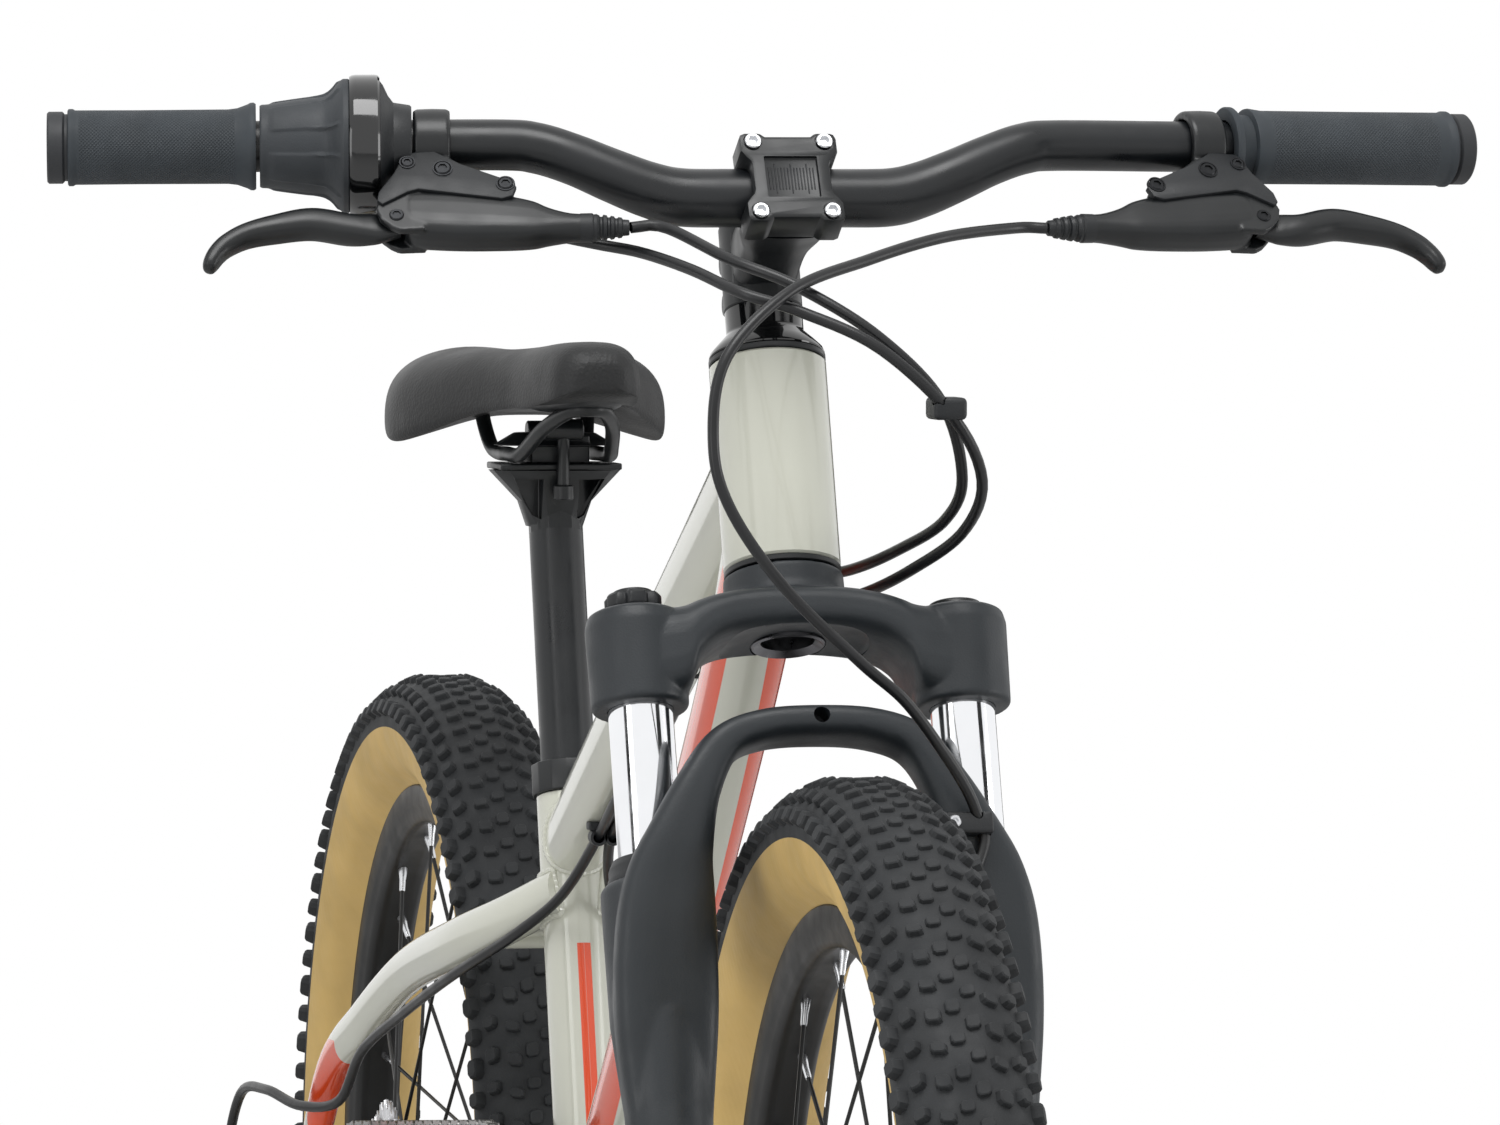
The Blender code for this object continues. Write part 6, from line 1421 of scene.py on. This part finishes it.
def shift_route():
    behind = bar_frame(-1, OUTLET_PLACE)
    route = [shift_outlet(-0.0114), shift_outlet(-0.024)]
    route += [behind @ Vector(point) for point in mm("-40 33 -14, -60 40 -13.8, -80 46 -13.4")]
    route += mm("""
        -69 -346 745.2, -54 -378 738.5, -38.6 -411 729, -15.4 -418 721.5, 17.4 -428 706, 49.9 -426.5 676.8,
        66.5 -411 649, 65 -382 626, 51 -345 608.5, 37 -300 595.5, 22.5 -235 586.5""")
    return route + along_seat_stay(-1) + mm("""
        -66 405 323, -79 440 318, -89 480 323, -93.5 525 318, -96 550 285, -96 542 248, -93 522 230,
        -90 506 227""")


def smooth_line(route, count):
    return evenly(curve_through(route, 24), count)


def holed(obj, route, radius, centre, reach):
    """The object with a bore for the line that passes it."""
    near = [point for point in smooth_line(route, 400) if (point - centre).length < reach]
    return boolean(obj, "DIFFERENCE", [sweep("hole", near, radius, 20)])


def ferrule(name, body, line, index):
    """A crimped end cap over a hose, centred at one of its points."""
    length, radius = 0.009, 0.0033
    ahead = ahead_at(line, index)
    start = line[index] - ahead * length / 2
    shape = ((0.85, 0), (1, 0.08), (1, 0.35), (0.92, 0.4), (0.92, 0.48), (1, 0.53), (1, 0.92), (0.85, 1))
    profile = [(0.0, 0.0), *((radius * r, length * z) for r, z in shape), (0.0, length)]
    spun(name, profile, between(start, start + ahead), body, DARK_STEEL, steps=28)


def build_hoses():
    """Three lines that curve from the bar down to what they lead to, each fixed in place with a crimped end
    cap at its foot.
    """
    for name, route, foot, node, high, low in (
        ("front_brake_line", front_hose_route(), "fork_lowers", "front_brake_hose", 0.7, 0.56),
        ("rear_brake_line", rear_hose_route(), "frame", "rear_brake_hose", LINES_HIGH, LINES_LOW),
        ("shift_line", shift_route(), "frame", "shift_housing", LINES_HIGH, LINES_LOW),
    ):
        line = smooth_line(route, 260)
        hose = finished(sweep(name, line, LINE_RADIUS, 16), None, HOSE, node, 60.0)
        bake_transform(hose)
        ferrule(f"{name}_end", foot, line, 258)
        if name == "shift_line":
            ferrule(f"{name}_start", "steering", line, 3)


def build_line_clips():
    """The tie that holds two lines beside the head tube, and guides on the frame."""
    centre = vec(0.0484, -0.4212, 0.68)
    tie = box("line_tie", (0.0146, 0.0196, 0.0096), centre, edge=0.0022)
    for route in (rear_hose_route(), shift_route()):
        tie = holed(tie, route, 0.0033, centre, 0.03)
    finished(tie, None, MOULDED, "cable_clip")
    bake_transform(tie)
    ring = mm("2.7 -3.5, 4 -3.5, 4.2 0, 4 3.5, 2.7 3.5")
    clips = []
    for y in (-0.11, 0.01, 0.08):
        height = top_tube_underside(y)
        clips.append(placed(box("guide", (0.0165, 0.0075, 0.004), (0.0, y, height + 0.0052))))
        for x in (-0.0034, 0.0034):
            clips.append(placed(lathe("loop", ring, moved(x, y, height) @ turned(pi / 2, "X"), 24, True)))
    finished(joined("line_guides", clips), "frame", MOULDED)


def build_hose_clamp():
    centre, spot = lean([(0.0605, -0.0582, LEG_CLAMP_HEIGHT), (0.0535, -0.062, LEG_CLAMP_HEIGHT)])
    clamp = box("leg_hose_clamp", (0.0206, 0.0078, 0.0096), centre, LEAN, 0.0014)
    clamp = holed(clamp, front_hose_route(), 0.003, centre, 0.04)
    finished(clamp, "fork_lowers", MOULDED, "hose_clamp")
    screw = socket_bolt(between(spot, spot + AHEAD), 0.0027, 0.0016)
    screw.name = "leg_clamp_screw"
    finished(screw, "fork_lowers", SILVER)


build_hoses()
build_line_clips()
build_hose_clamp()


# Seat

# Place along the bike, half width, height in the middle, crown and lip of the pad's stations.
SADDLE = mm("""
    93 12 690 690 674, 102 22 698.5 698 670, 130 26.5 699.5 699 666, 170 32 696 696.5 662,
    210 48 693 694.5 654, 245 65.5 692.5 694.5 645, 275 71.8 693 694.5 641, 305 66.5 692 693 645,
    330 42 688 688 660""")


def saddle_pad():
    """The pad from the part's own stations, finer, with a shallow channel and a rolled lower lip."""
    rings = []
    for y, half, middle, crown, lip in curve_through(SADDLE, 3):
        half, middle, crown = half * 0.925, middle - 0.003, crown - 0.003
        lip += 0.0042 * unit((y - 0.15) / 0.05)
        tall = crown - lip
        belly = lip + 0.013 * unit((y - 0.125) / 0.05)
        hollow = 0.0016 * unit((y - 0.12) / 0.04) * unit((0.325 - y) / 0.03)
        shape = [(0.0, middle - hollow), (0.2, (middle + crown) / 2 - hollow * 0.4), (0.42, crown)]
        for x, drop in ((0.64, 0.06), (0.82, 0.17), (0.95, 0.36), (1.0, 0.6)):
            shape.append((x, crown - drop * tall))
        shape += [(1.0, lip + 0.08 * tall), (0.965, lip), (0.9, lip + 0.001), (0.62, (lip + belly) / 2)]
        right = [vec(half * x, y, z) for x, z in shape + [(0.3, belly), (0.0, belly)]]
        rings.append(right + [vec(-p.x, p.y, p.z) for p in right[-2:0:-1]])
    made = loft("saddle_pad", rings)
    modified(made, "SUBSURF", levels=2, render_levels=2)
    return realised(made)


def build_saddle():
    """The moulded base between the pad and the rails, with a low keel under the nose, and the pad."""
    rows = mm("""
        108 9 669, 116 15 666, 135 19 663.5, 160 21.5 662.5, 185 25 663.5, 220 36 662.5, 260 48 660,
        295 46 661, 315 30 665""")
    thick = 0.005
    rings = []
    for y, half, low in curve_through(rows, 4):
        rings.append(ellipse((0.0, y, low + thick), X, Z, half, thick, 24, 0.7))
    finished(loft("saddle_shell", rings), "seat", MOULDED, angle=60.0)
    pad = finished(saddle_pad(), "seat", LEATHER, "saddle", 70.0)


def build_seat():
    post = mm("0 114, 12.1 114, 12.7 114.6, 12.7 350, 0 350")
    spun("post_tube", post, SEATING, "seat", SATIN_BAR)
    pockets = []
    for side in (-1, 1):
        corners = [(side * x, z) for x, z in mm("21.5 630.5, 8.5 630.5, 8.5 611.5, 12.5 613.5")]
        pockets.append(placed(flat("pocket", [corners], 0.026, facing_y(0.184), 0.0006)))
    head = boolean(copy_of("seatpost", "post_head"), "DIFFERENCE", pockets)
    finished(bevelled(head, 0.0007, 2, 25.0), "seat", SATIN, "seatpost")
    bolts = []
    for y, low, high in mm("181.8 623 658, 226.2 623 656"):
        bolts.append(rod("shank", 0.0028, (0, y, low), (0, y, high), 24))
        bolts.append(rod("nut", 0.005, (-0.009, y, high - 0.004), (0.009, y, high - 0.004), 24, 0.0006))
        bolts.append(rod("head", 0.0048, (0, y, low - 0.002), (0, y, low + 0.005), 24, 0.0006))
    finished(joined("post_bolts", bolts), "seat", SATIN)
    dressed("saddle_clamp", "rail_clamp", "seat", SATIN, 0.001, 3, 25.0)
    half = mm("""
        8 125 664, 16 145 656, 20.5 170 645, 22 182 642, 22 205 642, 22 230 642, 23 242 645,
        24.6 250 654, 26.2 254.5 666""")
    route = [(-x, y, z) for x, y, z in half[::-1]] + mm("0 120 665") + half
    rails = sweep("rail_wire", evenly(curve_through(route, 10), 160), 0.0035, 20)
    finished(rails, "seat", SATIN, "saddle_rails", 60.0)
    dressed("seat_clamp", "post_collar", "frame", SATIN, 0.0007, 2, 25.0)


build_seat()
build_saddle()


# Drive train

LINK_LENGTH = 0.05
UPPER_PIVOT = vec(-0.0925, 0.49, 0.233)
LOWER_PIVOT = UPPER_PIVOT + vec(0, -0.85, -0.5268).normalized() * LINK_LENGTH
CAGE_PIVOT = vec(CAGE_X, LOWER_PIVOT.y + 0.004, LOWER_PIVOT.z + 0.002)
GUIDE_CENTRE = CAGE_PIVOT + vec(0, 0.008, -0.022)
TENSION_CENTRE = GUIDE_CENTRE + vec(0, -0.022, -0.05)


def pitch_radius(teeth):
    return CHAIN_PITCH / (2 * sin(pi / teeth))


def toothed(teeth, phase=0.0, low=0.004, high=0.0004):
    """Rounded teeth between a chain's rollers; phase turns the first valley from +X."""
    valley = ((0.0, 1.0), (0.2, 0.82), (0.34, 0.3))
    shape = [(share, -low * depth) for share, depth in valley] + [(0.44, high), (0.56, high)]
    shape += [(1.0 - share, -low * depth) for share, depth in valley[:0:-1]]
    pitch = pitch_radius(teeth)
    return [polar(pitch + r, phase + TAU * (i + share) / teeth) for i in range(teeth) for share, r in shape]


def chain_path():
    """The closed pitch line over the ring, both pulleys and the cog in use."""
    wheels = [
        (CRANK_CENTRE + vec(RING_X, 0, 0), pitch_radius(RING_TEETH), 1),
        (TENSION_CENTRE, pitch_radius(PULLEY_TEETH), 1),
        (GUIDE_CENTRE, pitch_radius(PULLEY_TEETH), -1),
        (REAR_AXLE + vec(CAGE_X, 0, 0), pitch_radius(COG_TEETH[COG_IN_USE]), 1),
    ]
    tangents = []
    for (centre, radius, turn), (other, other_radius, other_turn) in zip(wheels, wheels[1:] + wheels[:1]):
        across = Vector((other.y - centre.y, other.z - centre.z))
        spread = acos((radius * turn - other_radius * other_turn) / across.length)
        tangents.append(atan2(across.y, across.x) - spread)
    line = []
    for i, (centre, radius, turn) in enumerate(wheels):
        flip = 0.0 if turn > 0 else pi
        start, end = tangents[i - 1] + flip, tangents[i] + flip
        arc_angle = (end - start) * turn % TAU * turn
        steps = max(2, int(abs(arc_angle) / 0.08))
        for k in range(steps + 1):
            line.append(centre + vec(0, *polar(radius, start + arc_angle * k / steps)))
    return line + [line[0].copy()]


CHAIN_LINE = chain_path()
PINS = evenly(CHAIN_LINE, 2 * round(length_of(CHAIN_LINE) / CHAIN_PITCH / 2) + 1)[:-1]


def mesh_phase(centre, teeth):
    """The angle of a valley in the wheel's own frame, averaged over the rollers that lie on it."""
    total = Vector((0.0, 0.0))
    for pin in PINS:
        y, z = pin.y - centre.y, pin.z - centre.z
        if abs(hypot(y, z) - pitch_radius(teeth)) < 0.0004:
            total += Vector(polar(1.0, atan2(y, -z) * teeth))
    return atan2(total.y, total.x) / teeth % (TAU / teeth)


def build_cassette():
    place = Matrix.Translation(REAR_AXLE) @ ALONG_X
    cogs = []
    for i, teeth in enumerate(COG_TEETH):
        pitch = pitch_radius(teeth)
        tip = pitch * cos(pi / teeth) - 0.0048
        if i == COG_IN_USE:
            rim_line = toothed(teeth, mesh_phase(REAR_AXLE, teeth))
        else:
            rim_line = toothed(teeth, 0.3 * i, 0.008, tip - pitch)
        outlines = [rim_line, circle(0.015 if i < 6 else 0.012, 36)]
        if teeth > 18:
            for start in range(8, 368, 60):
                outlines.append(arc(tip - 0.0068, start, start + 38, 8) + arc(0.0185, start + 38, start, 5))
        cogs.append(placed(flat("cog", outlines, 0.0018, place @ moved(0, 0, COG_X[i]))))
    finished(joined("cassette_cogs", cogs), "cassette", STEEL, "cassette", 30.0)
    body = mm("5.5 -26.8, 15 -26.8, 16.2 -27.5, 16.2 -57, 15 -58.5, 14 -61.2, 10 -61.8, 5.5 -61.8")
    spun("cassette_body", body, place, "cassette", DARK_STEEL, (), 48, True)


def link_outline(half, radius, waist):
    """The figure-of-eight side plate between two pins."""
    right, left = arc(radius, -62.0, 62.0, 7, (half, 0.0)), arc(radius, 118.0, 242.0, 7, (-half, 0.0))
    return right + [(0.0, waist)] + left + [(0.0, -waist)]


def build_chain():
    bm = bmesh.new()

    def prism(outline, origin, ahead, low, high):
        up = vec(1, 0, 0).cross(ahead).normalized()
        rows = []
        for x in (low, high):
            start = origin + vec(x, 0, 0)
            rows.append([bm.verts.new(start + ahead * a + up * b) for a, b in outline])
        bm.faces.new(rows[0][::-1])
        bm.faces.new(rows[1])
        quads(bm, *rows)

    for i, (a, b) in enumerate(zip(PINS, PINS[1:] + PINS[:1])):
        ahead = (b - a).normalized()
        outer = i % 2 == 0
        near, far = (0.0024, 0.0032) if outer else (0.0014, 0.0022)
        outline = link_outline((b - a).length / 2, 0.004 if outer else 0.0038, 0.0028)
        for low, high in ((-far, -near), (near, far)):
            prism(outline, (a + b) / 2, ahead, low, high)
        for radius, count, half in ((0.0036, 12, 0.0013), (0.0017, 10, 0.0035)):
            prism(circle(radius, count), a, ahead, -half, half)
    finished(from_bmesh("chain_links", bm), "frame", CHAIN_STEEL, "chain", 30.0)


def build_chainring():
    place = Matrix.Translation(CRANK_CENTRE + vec(RING_X, 0, 0)) @ ALONG_X
    outlines = [toothed(RING_TEETH, mesh_phase(CRANK_CENTRE, RING_TEETH)), circle(0.0168, 40)]
    for start in range(10, 370, 72):
        outlines.append(arc(0.048, start, start + 52, 14) + arc(0.027, start + 40, start + 12, 6))
    finished(flat("ring_plate", outlines, 0.0024, place, 0.0005), "crank", SATIN, "chainring", 30.0)
    rivets = []
    for i in range(5):
        for flip in (Matrix.Identity(4), TURNED_OVER):
            spot = place @ moved(*polar(0.0425, radians(72.0 * i)), 0) @ flip @ moved(0, 0, 0.0012)
            rivets.append(socket_bolt(spot, 0.0042, 0.001))
    finished(joined("ring_bolts", rivets), "crank", SILVER)


def build_cranks():
    for word in ("right", "left"):
        dressed(f"crank_arm_{word}", f"arm_{word}", "crank", SATIN, 0.001, 3, 30.0)
    caps = []
    for side in (-1, 1):
        start = CRANK_CENTRE + vec(side * 0.069, 0, 0)
        caps.append(socket_bolt(between(start, start + vec(side, 0, 0)), 0.0078, 0.0016, 0.004))
    finished(joined("crank_bolts", caps), "crank", DARK_STEEL)
    dressed("bottom_bracket", "bracket_cups", "frame", SATIN)


def build_pedals():
    stud = mm("0 0, 2 0, 1.7 1.6, 1 2, 0 2")
    for side, word in SIDES:
        name, centre = f"pedal_{word}", CRANK_CENTRE + vec(side * 0.12, side * CRANK_LENGTH, 0)
        dressed(name, f"{name}_body", name, MOULDED, 0.0009)
        studs = []
        for x in (-0.0301, -0.01548, 0.0, 0.01548, 0.0301):
            for y in (-0.0345, 0.0345):
                for z in (-1, 1):
                    spot = centre + vec(x, y, z * 0.0078)
                    studs.append(lathe("stud", stud, between(spot, spot + vec(0, 0, z)), 12))
        finished(joined(f"{name}_studs", studs), name, MOULDED)
        lenses = []
        for y in (-0.04, 0.04):
            lens = box("lens", (0.044, 0.0016, 0.009), centre + vec(0, y, 0), edge=0.0006, segments=2)
            lenses.append(placed(lens))
        finished(joined(f"{name}_reflectors", lenses), name, AMBER)


def build_derailleur():
    for node, name, body, width, segments in (
        ("derailleur_hanger", "hanger_tab", "frame", 0.0008, 2),
        ("derailleur_base", "mech_base", "frame", 0.0007, 2),
        ("derailleur_link_outer", "mech_link_outer", "derailleur_link_outer", 0.0009, 3),
        ("derailleur_link_inner", "mech_link_inner", "derailleur_link_inner", 0.0009, 3),
        ("derailleur_knuckle", "mech_knuckle", "derailleur_knuckle", 0.0007, 2),
        ("derailleur_cage", "mech_cage", "derailleur_cage", 0.0005, 2),
    ):
        dressed(node, name, body, SATIN, width, segments)
    hub = mm("3.3 -2.2, 9 -2.2, 9.6 -1.6, 9.6 1.6, 9 2.2, 3.3 2.2")
    for name, centre in (("guide_pulley", GUIDE_CENTRE), ("tension_pulley", TENSION_CENTRE)):
        place = Matrix.Translation(centre) @ ALONG_X
        outlines = [toothed(PULLEY_TEETH, mesh_phase(centre, PULLEY_TEETH)), circle(0.0033, 20)]
        finished(flat(f"{name}_wheel", outlines, 0.0022, place, 0.0004), name, MOULDED, name, 30.0)
        spun(f"{name}_hub", hub, place, name, DARK_STEEL, (), 32, True)


def build_brakes():
    front = [(spot, BACK) for spot in lean(mm("41.5 34 43, 41.5 34 81"))]
    rear = [(vec(0.0602, y, 0.3118), vec(0, 0, 1)) for y in BRAKE_POST_Y]
    ends = (("front", "fork_lowers", front, 0.0042, 0.0034), ("rear", "frame", rear, 0.004, 0.003))
    for word, body, *_ in ends:
        dressed(f"{word}_caliper", f"{word}_brake_body", body, SATIN, 0.0009, 3, 25.0)
    for word, body, spots, radius, height in ends:
        bolts = [socket_bolt(between(spot, spot + out), radius, height) for spot, out in spots]
        finished(joined(f"{word}_brake_bolts", bolts), body, SILVER)


build_cassette()
build_chain()
build_chainring()
build_cranks()
build_pedals()
build_derailleur()
build_brakes()


# Room, light and camera


def grid(name, segments, size):
    bm = bmesh.new()
    bmesh.ops.create_grid(bm, x_segments=segments, y_segments=segments, size=size)
    return from_bmesh(name, bm)


def stage_material(name, grey, roughness):
    material = bpy.data.materials.new(name)
    material.use_nodes = True
    shader = material.node_tree.nodes["Principled BSDF"]
    shader.inputs["Base Color"].default_value = (grey, grey, grey, 1.0)
    shader.inputs["Roughness"].default_value = roughness
    return material


def build_room():
    """A white floor, just under the wheels, that keeps the bike's shadow."""
    floor = grid("studio_floor", 8, 4.0)
    floor.location = (0.0, 0.0, -0.0012)
    material = stage_material("floor_white", 0.82, 0.75)
    tree = material.node_tree
    glow = add_node(tree, "Emission", (("Strength", 1.0),))
    seen = add_node(tree, "LightPath").outputs["Is Camera Ray"]
    share = add_node(tree, "Math", ((0, seen), (1, 0.55)), operation="MULTIPLY").outputs[0]
    shaders = ((0, share), (1, tree.nodes["Principled BSDF"].outputs[0]), (2, glow.outputs[0]))
    mix = add_node(tree, "MixShader", shaders)
    tree.links.new(mix.outputs[0], tree.nodes["Material Output"].inputs["Surface"])
    floor.data.materials.append(material)


def build_world():
    """White behind the object and in its reflections, softer where it lights diffuse surfaces."""
    world = bpy.data.worlds.new("studio")
    SCENE.world = world
    world.use_nodes = True
    tree = world.node_tree
    path = add_node(tree, "LightPath").outputs
    total = path["Is Camera Ray"]
    for kind in ("Is Glossy Ray", "Is Transmission Ray"):
        total = add_node(tree, "Math", ((0, total), (1, path[kind])), operation="MAXIMUM").outputs[0]
    strength = add_node(tree, "MapRange", (("To Min", 0.42), ("To Max", 1.0), ("Value", total)))
    back = tree.nodes["Background"].inputs
    plug(tree, back["Strength"], strength.outputs["Result"])
    back["Color"].default_value = (1.0, 1.0, 1.0, 1.0)


def build_lights():
    target = vec(0, -0.1, 0.45)
    for name, place, size, power in (
        ("key_overhead", (-0.3, -1.2, 2.9), (1.8, 1.2), 40.0),
        ("fill_left", (-2.6, -1.6, 1.0), (1.2, 2.0), 15.0),
        ("fill_right", (2.7, -1.3, 0.6), (1.0, 1.6), 15.0),
    ):
        light = bpy.data.lights.new(name, "AREA")
        light.shape = "RECTANGLE"
        light.size, light.size_y = size
        light.energy = power
        aim = (target - Vector(place)).to_track_quat("-Z", "Y").to_matrix().to_4x4()
        linked(name, light, Matrix.Translation(place) @ aim).visible_camera = False


def build_cards():
    """Three dark cards out of the camera's sight, which put edges into chrome and gloss."""
    material = stage_material("card_black", 0.02, 0.9)
    distance, height, tall = 2.6, 0.9, 2.2
    cards = (("card_left", 205.0, 0.5), ("card_right", 318.0, 0.7), ("card_back", 60.0, 0.9))
    for name, azimuth, width in cards:
        card = grid(name, 4, 0.5)
        turn = radians(azimuth)
        card.scale = (width, tall, 1.0)
        card.rotation_euler = (pi / 2, 0.0, turn + pi / 2)
        card.location = (*polar(distance, turn), height)
        card.data.materials.append(material)
        card.visible_camera = card.visible_diffuse = card.visible_shadow = False


def build_camera():
    """The photograph's viewing angle: a long lens from ahead, a little to the rider's right."""
    yaw, pitch, roll = (radians(value) for value in (11.857, 2.169, 0.164))
    focal_pixels, photo_width, sensor = 14004.0, 1500.0, 36.0
    look = vec(sin(yaw) * cos(pitch), cos(yaw) * cos(pitch), -sin(pitch))
    right = vec(cos(yaw), -sin(yaw), 0)
    up = right.cross(look)
    axes = (right * cos(roll) + up * sin(roll), up * cos(roll) - right * sin(roll), -look)
    camera = bpy.data.cameras.new("photo_view")
    camera.sensor_fit = "HORIZONTAL"
    camera.sensor_width = sensor
    camera.lens = focal_pixels / photo_width * sensor
    camera.clip_start = 0.1
    camera.clip_end = 60.0
    place = moved(-1.26216, -6.25617, 0.84035) @ Matrix(axes).transposed().to_4x4()
    SCENE.camera = linked("photo_view", camera, place)


build_room()
build_world()
build_lights()
build_cards()
build_camera()
SCENE.view_settings.view_transform = "Standard"

bpy.context.view_layer.update()
